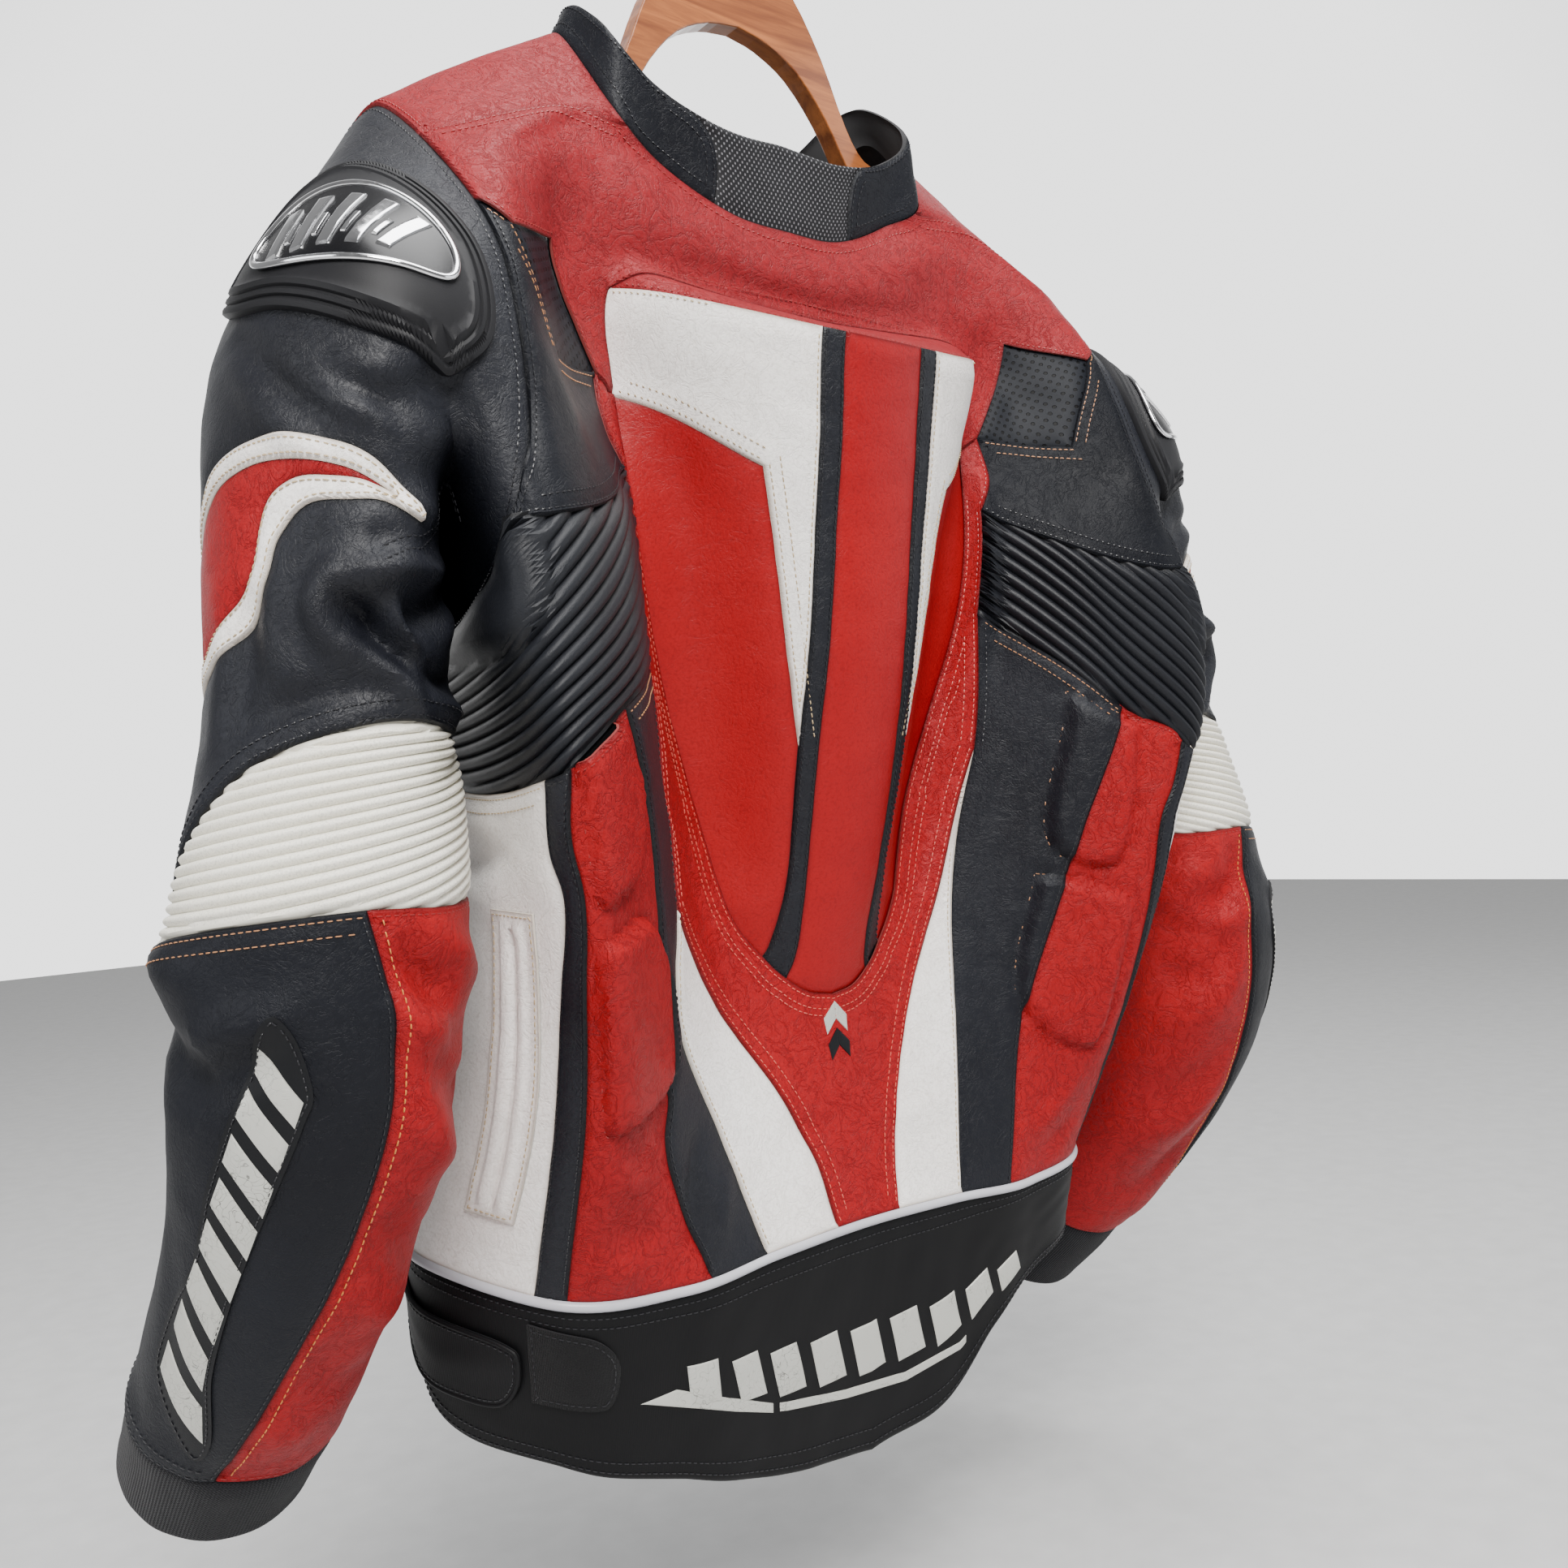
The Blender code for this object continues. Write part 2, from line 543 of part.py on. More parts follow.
# ---- the trunk's seams and panels -------------------------------------------------------------------------------
def trunk_seams(side):
    """Seam curves of one half, as chart knots with u positive; left and right hang a little differently."""
    def pick(left, right):
        return left if side > 0 else right

    shoulder_tip, strap_end = armhole(27), armhole(50)
    rib_back, underarm, front_mid = armhole(RIB_BACK[side]), armhole(200), armhole(270)
    vent_in_high, vent_out_high, vent_out_low, vent_in_low = (.300, .845), (.375, .800), (.315, .725), (.215, .755)
    rib_in_high = (.190, .680)
    rib_in_low = (.178, pick(.530, .585))
    stripe_tip = pick((.205, .320), (.178, .455))
    kidney_top = pick((.285, .490), (.280, .490))
    red_top = pick((.375, .432), (.345, .445))
    thin_top = pick((.410, .420), (.372, .432))
    side_top = (.560, .410)
    zip_low, zip_mid, zip_top = zip_edge_u(0), zip_edge_u(.66), zip_edge_u(1)
    return dict(
        neck=NECK + [(zip_top, 1)],
        shoulder=[(.36, 1), (.385, .93), shoulder_tip],
        insert_edge=INSERT_EDGE,
        shelf_top=[(.195, .845), (.16, .866), (.08, .880), (0, SHELF_TOP)],
        yoke_frame=[(.180, .745), vent_in_low],
        vent_inner=[vent_in_low, (.262, .798), vent_in_high],
        vent_top=[vent_in_high, vent_out_high],
        vent_outer=[vent_out_high, (.342, .760), vent_out_low],
        vent_low=[vent_out_low, vent_in_low],
        strap=[vent_out_high, strap_end],
        frame_high=[vent_in_low, (.228, .715), rib_in_high],
        rib_top=[rib_in_high, (.260, .645), (.335, .612), rib_back],
        rib_inner=[rib_in_high, (.182, .620), rib_in_low],
        rib_low=[rib_in_low, pick((.232, .515), (.225, .545)), kidney_top, (.330, .460), red_top, thin_top,
                 (.470, .405), side_top],
        underarm_side=[underarm, side_top],
        frame_low=[rib_in_low, pick((.180, .460), (.178, .520)), stripe_tip],
        stripe_inner=[stripe_tip] + pick([(.155, .225), (.095, .140), (.060, .070), (.045, 0)],
                                         [(.155, .300), (.098, .170), (.060, .075), (.045, 0)]),
        stripe_outer=[stripe_tip] + pick([(.232, .225), (.190, .120), (.150, 0)],
                                         [(.168, .300), (.162, .140), (.142, 0)]),
        kidney=[kidney_top] + pick([(.262, .410), (.258, .310), (.262, .170), (.275, .110), (.235, 0)],
                                   [(.265, .360), (.254, .260), (.240, .160), (.236, .060), (.230, 0)]),
        red_edge=[red_top] + pick([(.395, .380), (.390, .330), (.402, .250), (.402, .150), (.388, 0)],
                                  [(.350, .400), (.346, .350), (.370, .240), (.385, .120), (.385, 0)]),
        thin_edge=[thin_top] + pick([(.420, .370), (.412, .330), (.424, .250), (.426, .150), (.414, 0)],
                                    [(.376, .400), (.372, .350), (.396, .240), (.410, .120), (.410, 0)]),
        side_seam=[side_top, (.560, .200), (.560, 0)],
        front_split=[front_mid, (.800, .672), (zip_mid, .660)],
        zip_edge=[(zip_low, 0), (zip_edge_u(.36), .36), (zip_mid, .660), (zip_edge_u(.85), .85), (zip_top, 1)],
        hem=[(0, 0), (.045, 0), pick((.150, 0), (.142, 0)), pick((.235, 0), (.230, 0)),
             pick((.388, 0), (.385, 0)), pick((.414, 0), (.410, 0)), (.560, 0), (.780, 0), (zip_low, 0)],
    )


def insert_top_runs():
    """The insert's upper edge from its corner to the centre back, exactly on the form's ridge line."""
    runs = curve([(u, insert_top(u)) for u in INSERT_TOP], trunk)
    return [np.stack([run[:, 0], insert_top(run[:, 0])], -1) for run in runs]


def trunk_runs(side):
    runs = {name: curve(knots, trunk) for name, knots in trunk_seams(side).items()}
    runs["insert_top"] = insert_top_runs()
    runs["loop"] = [np.array([armhole(angle) for angle in run]) for run in armhole_runs(side)]
    return runs


def half_outlines(r):
    """Panels that lie wholly on one half, as outlines with u positive; the value is (outline, finish)."""
    loop, hem, low = r["loop"], r["hem"], r["rib_low"]
    return {
        "vent": (outline(whole(r["vent_inner"]), whole(r["vent_top"]), whole(r["vent_outer"]),
                         whole(r["vent_low"])), "black_leather"),
        "shoulder_back": (outline(whole(r["strap"]), stretch(loop, 1, 4), back(r["rib_top"]), back(r["frame_high"]),
                                  back(r["vent_low"]), back(r["vent_outer"])), "black_leather"),
        "accordion": (outline(whole(r["rib_top"]), stretch(loop, 4, 8), whole(r["underarm_side"]), back(low),
                              back(r["rib_inner"])), "black_leather"),
        "white_stripe": (outline(whole(r["stripe_inner"]), stretch(hem, 1, 2), back(r["stripe_outer"])),
                         "white_leather"),
        "back_black": (outline(stretch(low, 0, 2), whole(r["kidney"]), stretch(hem, 3, 2), back(r["stripe_outer"]),
                               back(r["frame_low"])), "black_leather"),
        "side_red": (outline(stretch(low, 2, 4), whole(r["red_edge"]), stretch(hem, 4, 3), back(r["kidney"])),
                     "red_leather"),
        "side_stripe": (outline(stretch(low, 4, 5), whole(r["thin_edge"]), stretch(hem, 5, 4), back(r["red_edge"])),
                        "black_leather"),
        "side_white": (outline(stretch(low, 5, 7), whole(r["side_seam"]), stretch(hem, 6, 5), back(r["thin_edge"])),
                       "white_leather"),
        "front": (outline(stretch(loop, 8, 11), whole(r["front_split"]), stretch(r["zip_edge"], 2, 0),
                          stretch(hem, 8, 6), back(r["side_seam"]), back(r["underarm_side"])), "black_leather"),
        "front_yoke": (outline(whole(r["shoulder"]), stretch(loop, 15, 11), whole(r["front_split"]),
                               stretch(r["zip_edge"], 2, 4), stretch(r["neck"], 5, 2)), "red_leather"),
    }


def across(left, right):
    """Outline through both halves: the left half's stretch, then the right half's mirrored and run back."""
    return outline(left, (right * [-1, 1])[::-1])


def centre_outlines(left, right):
    """Panels that cross the centre back."""
    def yoke(r):
        edge = len(r["insert_edge"])
        return np.concatenate([stretch(r["neck"], 0, 2), whole(r["shoulder"]), stretch(r["loop"], 0, 1),
                               back(r["strap"]), back(r["vent_top"]), back(r["vent_inner"]), back(r["yoke_frame"]),
                               stretch(r["insert_edge"], edge - 1, edge), whole(r["shelf_top"])])

    def frame(r):
        return np.concatenate([stretch(r["insert_edge"], 0, len(r["insert_edge"]) - 1), whole(r["yoke_frame"]),
                               whole(r["frame_high"]), whole(r["rib_inner"]), whole(r["frame_low"]),
                               whole(r["stripe_inner"]), stretch(r["hem"], 1, 0)])

    def shelf(r):
        return np.concatenate([back(r["insert_top"]), whole(r["shelf_top"])])

    return {
        "back_yoke": across(yoke(left), yoke(right)),
        "back_frame": across(frame(left), frame(right)),
        "hump_shelf": across(shelf(left), shelf(right)),
    }


# ---- the hump insert's fields ------------------------------------------------------------------------------------
BLACK_OUTER = [
    # share of the insert's half width, v
    (.25, .840), (.27, .610), (.36, .450), (.47, .340), (.78, .275), (1.0, .258),
]
BLACK_INNER = [
    (.17, .840), (.18, .610), (.24, .460), (.32, .350), (.56, .262), (1.0, .234),
]
WHITE_INNER = [
    (.47, .700), (.42, .570), (.36, .450),
]


def insert_outlines():
    """The seven fields of the insert: outline with signed u, and finish."""
    def chart(rows):
        return [(share * insert_half_width(v), v) for share, v in rows]

    edge = curve(INSERT_EDGE, trunk)
    outer_knots, inner_knots = chart(BLACK_OUTER), chart(BLACK_INNER)
    outer_knots[0], inner_knots[0] = ((u, insert_top(u)) for u in INSERT_TOP[2:4])
    outer_knots[-1], inner_knots[-1] = INSERT_EDGE[3], INSERT_EDGE[2]
    outer, inner = curve(outer_knots, trunk), curve(inner_knots, trunk)
    top = insert_top_runs()
    white_low = curve([INSERT_EDGE[8], chart(WHITE_INNER)[0]], trunk)
    white_in = curve(chart(WHITE_INNER[:2]) + [outer_knots[2]], trunk)
    fields = {
        "white": (outline(stretch(top, 0, 2), stretch(outer, 0, 2), back(white_in), back(white_low),
                          stretch(edge, 8, 9)), "white_leather"),
        "red": (outline(whole(white_low), whole(white_in), stretch(outer, 2, 5), stretch(edge, 3, 8)), "red_leather"),
        "black": (outline(stretch(top, 2, 3), whole(inner), stretch(edge, 2, 3), back(outer)), "black_leather"),
    }
    half_centre = np.concatenate([stretch(top, 4, 3), whole(inner), stretch(edge, 2, 0)])
    out = {}
    for name, side in SIDES.items():
        for field, (loop, finish) in fields.items():
            out[f"hump_{field}_{name}"] = (loop * [side, 1], finish)
    out["hump_red_centre"] = (across(half_centre, half_centre), "red_leather")
    return out


def make_trunk():
    form = (trunk, trunk_out)
    runs = {name: trunk_runs(side) for name, side in SIDES.items()}
    for name, side in SIDES.items():
        for piece, (loop, finish) in half_outlines(runs[name]).items():
            step = GRID_STEP * (1.3 if piece.startswith("front") else 1.0)
            wall(f"{piece}_{name}", finish, loop * [side, 1], form, step=step)
    for piece, loop in centre_outlines(runs["left"], runs["right"]).items():
        steep = piece == "hump_shelf"
        wall(piece, "red_leather", loop, form, thickness=SHELF_WALL if steep else LEATHER,
             gap=SHELF_GAP if steep else SEAM_GAP)
    for piece, (loop, finish) in insert_outlines().items():
        wall(piece, finish, loop, form, thickness=HUMP_WALL)


# ---- sleeves -----------------------------------------------------------------------------------------------------
UNDERARM = .4985            # w of the underarm seam's two edges
SWOOSH = [
    # w, t round the swoosh, from its hidden front end over the upper edge to the tip and back
    (-.200, .372), (-.110, .345), (-.020, .316), (.070, .301), (.150, .288), (.230, .272), (.284, .276),
    (.286, .293), (.240, .302), (.195, .319), (.140, .336), (.110, .360), (.098, .388), (.070, .416),
    (.000, .442), (-.090, .458), (-.190, .462), (-.235, .415),
]


def sleeve_outlines(side):
    rib_tip, rib_high, rib_low = (-.100, .640), (UNDERARM, .475), (UNDERARM, .600)
    split_top, split_end = (.230, .592), (.168, .940)
    seams = dict(
        rib_top=[rib_tip, (-.050, .580), (.050, .520), (.150, .490), (.270, .470), (.390, .470), rib_high],
        rib_low=[rib_tip, (.0, .616), (.110, .600), split_top, (.360, .597), rib_low],
        front_seam=[(-UNDERARM, .600), (-.300, .622), rib_tip],
        split=[split_top, (.258, .640), (.266, .690), (.258, .740), (.240, .800), (.205, .870), split_end],
        cuff=[(-UNDERARM, .940), (-.250, .940), (0, .940), split_end, (.300, .940), (UNDERARM, .940)],
        edge_high=[(UNDERARM, 0), (UNDERARM, .25), rib_high],
        edge_ribs=[rib_high, rib_low],
        edge_low=[rib_low, (UNDERARM, .80), (UNDERARM, .940)],
        edge_cuff=[(UNDERARM, .940), (UNDERARM, 1)],
        front_high=[(-UNDERARM, 0), (-UNDERARM, .30), (-UNDERARM, .600)],
        front_low=[(-UNDERARM, .600), (-UNDERARM, .80), (-UNDERARM, .940)],
        front_cuff=[(-UNDERARM, .940), (-UNDERARM, 1)],
        wrist=[(-UNDERARM, 1), (-.25, 1), (0, 1), (.25, 1), (UNDERARM, 1)],
    )
    surface, _ = sleeve(1)
    r = {name: curve(knots, surface) for name, knots in seams.items()}
    turn = np.unique((np.concatenate(armhole_runs(side)) + 180) % 360 - 180) / 360
    turn = np.concatenate([[-UNDERARM], turn[np.abs(turn) < UNDERARM], [UNDERARM]])
    armhole_edge = np.stack([turn, 0 * turn], -1)
    swoosh = whole(curve(SWOOSH + SWOOSH[:1], surface))[:-1]
    low = r["rib_low"]
    return dict(
        upper_sleeve=(outline(armhole_edge, whole(r["edge_high"]), back(r["rib_top"]), back(r["front_seam"]),
                              back(r["front_high"])), "black_leather", LEATHER, [swoosh]),
        swoosh=(swoosh, "red_leather", LEATHER, []),
        elbow_ribs=(outline(whole(r["rib_top"]), whole(r["edge_ribs"]), back(low)), "cream_leather", LEATHER, []),
        forearm_black=(outline(whole(r["front_seam"]), stretch(low, 0, 3), whole(r["split"]),
                               stretch(r["cuff"], 3, 0), back(r["front_low"])), "black_leather", LEATHER, []),
        forearm_red=(outline(stretch(low, 3, 5), whole(r["edge_low"]), stretch(r["cuff"], 5, 3), back(r["split"])),
                     "red_leather", LEATHER, []),
        cuff=(outline(whole(r["cuff"]), whole(r["edge_cuff"]), back(r["wrist"]), back(r["front_cuff"])),
              "knit", KNIT, []),
    )


GUARD = [
    # w, t round the moulded shoulder guard
    (-.055, .165), (-.020, .110), (.040, .068), (.110, .040), (.180, .026), (.235, .034), (.268, .070),
    (.285, .118), (.235, .158), (.170, .190), (.090, .206), (.010, .205),
]


def make_sleeves():
    for name, side in SIDES.items():
        form = sleeve(side)
        for piece, (loop, finish, thickness, holes) in sleeve_outlines(side).items():
            wall(f"{piece}_{name}", finish, loop, form, thickness=thickness, holes=holes)
        guard = whole(curve(GUARD + GUARD[:1], form[0], step=EDGE_STEP * .7))[:-1]
        wall(f"shoulder_guard_{name}", "moulded_tpu", guard, form, thickness=GUARD_WALL, base=1.5 * LIFT_STEP,
             step=GRID_STEP * .45)


# ---- collar, belt, zip -------------------------------------------------------------------------------------------
MESH_TOP = .235             # u where the collar's bands meet its mesh piece at the upper edge


def make_collar():
    form = (collar, collar_out)
    foot, top, front = NECK[1][0], MESH_TOP, zip_edge_u(1)
    seam = [run - [0, 1] for run in curve(NECK + [(front, 1)], trunk)]
    split = curve([(foot, 0), (top, 1)], collar)
    for name, side in SIDES.items():
        band = outline(stretch(seam, 1, 5),
                       whole(curve([(front, 0), (front, 1)], collar)),
                       whole(curve([(front, 1), (.74, 1), (.5, 1), (.36, 1), (top, 1)], collar)),
                       back(split))
        wall(f"collar_{name}", "black_leather", band * [side, 1], form, thickness=2 * LEATHER, base=-2 * LEATHER,
             gap=2 * SEAM_GAP)
    half = np.concatenate([stretch(seam, 0, 1), whole(split), whole(curve([(top, 1), (0, 1)], collar))])
    wall("collar_mesh", "mesh_net", across(half, half), form, thickness=2 * LEATHER, base=-2 * LEATHER, gap=2 * SEAM_GAP)


BELT_FRONT = .955           # u of the front ends of the waist belt and the piping
PIPING_POINTS = 49
STRAP = [
    # u, q round a belt strap, from its sewn end to its rounded tip
    (.600, .30), (.545, .32), (.490, .28), (.453, .27), (.435, .29), (.427, .34), (.428, .51), (.437, .65),
    (.450, .71), (.478, .74), (.505, .79), (.545, .90), (.600, .92),
]
PATCH = [
    # u, q round the hook-and-loop patch beyond the left strap's tip
    (.420, .12), (.383, .14), (.363, .17), (.349, .24), (.344, .32), (.346, .44), (.354, .55), (.368, .59),
    (.420, .61),
]


def make_belt():
    form = (belt, belt_out)
    ends = [0, .13, .27, .40, .50, .56, .62, .80, BELT_FRONT]
    high = whole(curve([(u, 0) for u in ends], belt))
    low = whole(curve([(u, 1) for u in ends], belt))
    half = np.concatenate([high, low[::-1]])
    wall("tail", "belt_textile", across(half, half), form, thickness=TEXTILE)
    over = LIFT_STEP
    for name, side in SIDES.items():
        strap = outline(whole(curve(STRAP, belt, EDGE_STEP * .6)), whole(curve([STRAP[-1], STRAP[0]], belt)))
        wall(f"strap_{name}", "belt_textile", strap * [side, 1], form, base=over, step=GRID_STEP * .55)
    patch = outline(whole(curve(PATCH, belt, EDGE_STEP * .6)), whole(curve([PATCH[-1], PATCH[0]], belt)))
    wall("tail_patch", "belt_textile", patch, form, base=over, step=GRID_STEP * .55)


WELT = dict(inner=.438, outer=.474, low=.060, high=.320)


def make_pockets():
    form = (trunk, trunk_out)
    for name, side in SIDES.items():
        corners = [(WELT["inner"], WELT["low"]), (WELT["outer"], WELT["low"]), (WELT["outer"], WELT["high"]),
                   (WELT["inner"], WELT["high"])]
        sides = [whole(curve([corners[i], corners[(i + 1) % 4]], trunk, EDGE_STEP * .6)) for i in range(4)]
        wall(f"pocket_welt_{name}", "white_leather", outline(*sides) * [side, 1], form, base=LIFT_STEP,
             step=GRID_STEP * .5)


def tube(name, finish, points, radius, cyclic=False, resolution=2):
    """Round cord or wire along points, as a curve with filled ends."""
    line = bpy.data.curves.new(name, "CURVE")
    line.dimensions = "3D"
    line.bevel_depth = radius
    line.bevel_resolution = resolution
    line.use_fill_caps = not cyclic
    spline = line.splines.new("POLY")
    spline.points.add(len(points) - 1)
    spline.use_cyclic_u = cyclic
    for knot, p in zip(spline.points, points):
        knot.co = (*p, 1)
    return place(line, name, finish)


def make_piping():
    """Round cord that hangs just under the hem seam, from one side of the zip to the other."""
    u = np.linspace(-BELT_FRONT, BELT_FRONT, PIPING_POINTS)
    hem = trunk_raw(u, 0 * u)
    out = trunk_out(u, 0 * u)
    down = PIPING_RADIUS + 1.3 * SEAM_GAP
    points = hem - out * LEATHER / 2 - np.array([0, 0, down])
    return tube("piping", "reflective_piping", [tuple(p) for p in points], PIPING_RADIUS)


# ---- zip, slider and pull tab, in a local frame: x across, y inward, z up along the zip ------------------------
SLIDER_V = .955             # height of the closed slider on the front edge
SLIDER = dict(width=.009, depth=.0024, height=.012)
SLIDER_LIFT = .0006         # tape to slider
BRIDGE = dict(half_width=.0013, half_inside=.0032, post=.0014, clear=.0026, wall=.0012)
TAB = dict(half_width=.0036, length=.025, half_thick=.0006, half_bar=.0005, arm_inside=.0019, window=.0066)
TAB_SEAT = .0003            # bridge to the tab's bar at rest


def zip_frame():
    """Matrix of the slider's local frame in the garment's own frame."""
    here, above = zip_line(0, SLIDER_V), zip_line(0, SLIDER_V + .005)
    up = Vector(above - here).normalized()
    side = Vector((1, 0, 0))
    inward = up.cross(side).normalized()
    matrix = Matrix((side, inward, up)).transposed().to_4x4()
    matrix.translation = Vector(here)
    return matrix


def plate(name, loops, half_thickness):
    """Flat piece: closed loops in a plane, filled with their holes left open, given its thickness."""
    line = bpy.data.curves.new(name, "CURVE")
    line.dimensions = "2D"
    line.fill_mode = "BOTH"
    line.extrude = half_thickness
    for loop in loops:
        spline = line.splines.new("POLY")
        spline.points.add(len(loop) - 1)
        spline.use_cyclic_u = True
        for knot, (x, y) in zip(spline.points, loop):
            knot.co = (x, y, 0, 1)
    return line


def solid_from_curve(item):
    """Turn a curve object into a mesh object of the same name, with its caps welded and its place kept."""
    name, matrix, finish = item.name, item.matrix_world.copy(), item.data.materials[0].name
    bpy.context.view_layer.update()
    evaluated = item.evaluated_get(bpy.context.evaluated_depsgraph_get())
    mesh = bpy.data.meshes.new_from_object(evaluated)
    bpy.data.objects.remove(item, do_unlink=True)
    shape = bmesh.new()
    shape.from_mesh(mesh)
    bmesh.ops.remove_doubles(shape, verts=shape.verts, dist=1e-6)
    bmesh.ops.recalc_face_normals(shape, faces=shape.faces)
    shape.to_mesh(mesh)
    shape.free()
    made = bpy.data.objects.new(name, mesh)
    if not mesh.materials:
        mesh.materials.append(material(finish))
    made.matrix_world = matrix
    bpy.data.collections[COLLECTION].objects.link(made)
    return made


def make_zip():
    half = ZIP_HALF_WIDTH - SEAM_GAP
    corners = [(-half, 0), (half, 0), (half, 1), (-half, 1)]
    sides = [whole(curve([corners[i], corners[(i + 1) % 4]], zip_line)) for i in range(4)]
    wall("front_zip", "zip_tape", outline(*sides), (zip_line, zip_out), thickness=ZIP_TAPE, gap=0)

    local = zip_frame()
    to_row = Matrix.Translation((0, -HANGER_Y, -HOOK_ABOVE_HEM))
    wing = SLIDER_LIFT + SLIDER["depth"]
    body_mesh = bpy.data.meshes.new("zip_slider")
    shape = bmesh.new()
    bmesh.ops.create_cube(shape, size=1, matrix=Matrix.Translation((0, -SLIDER_LIFT - SLIDER["depth"] / 2, 0))
                          @ Matrix.Diagonal((SLIDER["width"], SLIDER["depth"], SLIDER["height"], 1)))
    shape.to_mesh(body_mesh)
    shape.free()
    body = place(body_mesh, "zip_slider", "zip_metal")
    body.matrix_world = to_row @ local

    inside_z, post = BRIDGE["half_inside"], BRIDGE["post"]
    low, under, over = wing - .0006, wing + BRIDGE["clear"], wing + BRIDGE["clear"] + BRIDGE["wall"]
    arch = [(-inside_z - post, -low), (-inside_z - post, -over), (inside_z + post, -over), (inside_z + post, -low),
            (inside_z, -low), (inside_z, -under), (-inside_z, -under), (-inside_z, -low)]
    bridge = place(plate("zip_bridge", [arch], BRIDGE["half_width"]), "zip_bridge", "zip_metal")
    bridge.matrix_world = to_row @ local @ Matrix(((0, 0, -1, 0), (0, 1, 0, 0), (1, 0, 0, 0), (0, 0, 0, 1)))
    bridge = solid_from_curve(bridge)
    bpy.data.collections[COLLECTION].objects.unlink(bridge)
    bpy.data.collections["cutters"].objects.link(bridge)
    bridge.hide_render = True
    bridge.display_type = "WIRE"
    union = body.modifiers.new("bridge", "BOOLEAN")
    union.operation = "UNION"
    union.solver = "EXACT"
    union.object = bridge

    bar, wide = TAB["half_bar"], TAB["half_width"]
    arm, window, length = TAB["arm_inside"], TAB["window"], TAB["length"]
    tip = [(wide * cos(a), -length + wide + wide * sin(a)) for a in np.linspace(0, -pi, 9)]
    outer = [(wide, bar)] + tip + [(-wide, bar)]
    hole = [(arm, -bar), (-arm, -bar), (-arm, -window), (arm, -window)]
    tab = place(plate("zip_pull", [outer[::-1], hole], TAB["half_thick"]), "zip_pull", "zip_metal")
    axis_y = -(under - TAB_SEAT - TAB["half_thick"])
    tab.matrix_world = (to_row @ local @ Matrix.Translation((0, axis_y, 0))
                        @ Matrix(((1, 0, 0, 0), (0, 0, -1, 0), (0, 1, 0, 0), (0, 0, 0, 1))))
    solid_from_curve(tab)


# ---- the hanger --------------------------------------------------------------------------------------------------
HANGER_ARM = [
    # x, top z, underside z of one wooden arm
    (.000, .757, .703),
    (.022, .752, .699),
    (.045, .735, .687),
    (.066, .702, .664),
    (.083, .664, .636),
    (.098, .6450, .617),
    (.122, .6401, .610),
    (.150, .6311, .601),
    (.178, .6201, .591),
    (.202, .6070, .583),
    (.211, .5968, .586),
]


def make_hanger():
    rows = np.array(HANGER_ARM)
    at = np.linspace(0, len(rows) - 1, 31)
    arm = hermite(np.arange(len(rows)), rows, at)
    top = np.concatenate([arm[::-1, [0, 1]] * [-1, 1], arm[1:, [0, 1]]])
    under = np.concatenate([arm[::-1, [0, 2]], arm[1:, [0, 2]] * [-1, 1]])
    line = plate("hanger_wood", [[tuple(p) for p in np.concatenate([under, top])]], HANGER_THICK / 2)
    wood = place(line, "hanger_wood", "hanger_wood")
    wood.matrix_world = (Matrix.Translation((0, 0, -HOOK_ABOVE_HEM))
                         @ Matrix(((1, 0, 0, 0), (0, 0, -1, 0), (0, 1, 0, 0), (0, 0, 0, 1))))
    wood = solid_from_curve(wood)
    soft = wood.modifiers.new("rounded edges", "BEVEL")
    soft.width = HANGER_ROUNDING
    soft.segments = 2
    soft.limit_method = "ANGLE"
    soft.angle_limit = radians(60)

    middle = HOOK_ABOVE_HEM - (HOOK_BEND - HOOK_WIRE)
    stem_foot = HANGER_ARM[0][1] + SEAM_GAP
    turns = np.radians(np.linspace(-52, 205, 30))
    arc = [(HOOK_BEND * cos(a), HANGER_Y, middle + HOOK_BEND * sin(a)) for a in turns]
    stem = [(0, HANGER_Y, stem_foot), (0, HANGER_Y, stem_foot + .016), (.0012, HANGER_Y, stem_foot + .024),
            (.0052, HANGER_Y, stem_foot + .032)]
    tube("hanger_hook", "hook_steel", stem + arc, HOOK_WIRE)


def main():
    clear_scene()
    for name in (COLLECTION, "cutters"):
        group = bpy.data.collections.new(name)
        bpy.context.scene.collection.children.link(group)
    make_trunk()
    make_sleeves()
    make_collar()
    make_belt()
    make_pockets()
    make_piping()
    make_zip()
    make_hanger()


main()
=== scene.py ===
# %% [markdown]
# # A race-cut leather motorcycle jacket on a coat hanger
# The jacket is about twenty leather panels a side, sewn edge to edge and stiff enough to keep its shape on a
# hanger. Every panel here is a thin shell over one smooth form. A form is a function of two numbers, so any
# seam, stitch row or fold can be written as a curve in that chart and laid on the cloth wherever it goes.

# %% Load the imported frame
import math
import bpy
import numpy as np
from mathutils import Matrix, Vector
from mathutils.geometry import delaunay_2d_cdt


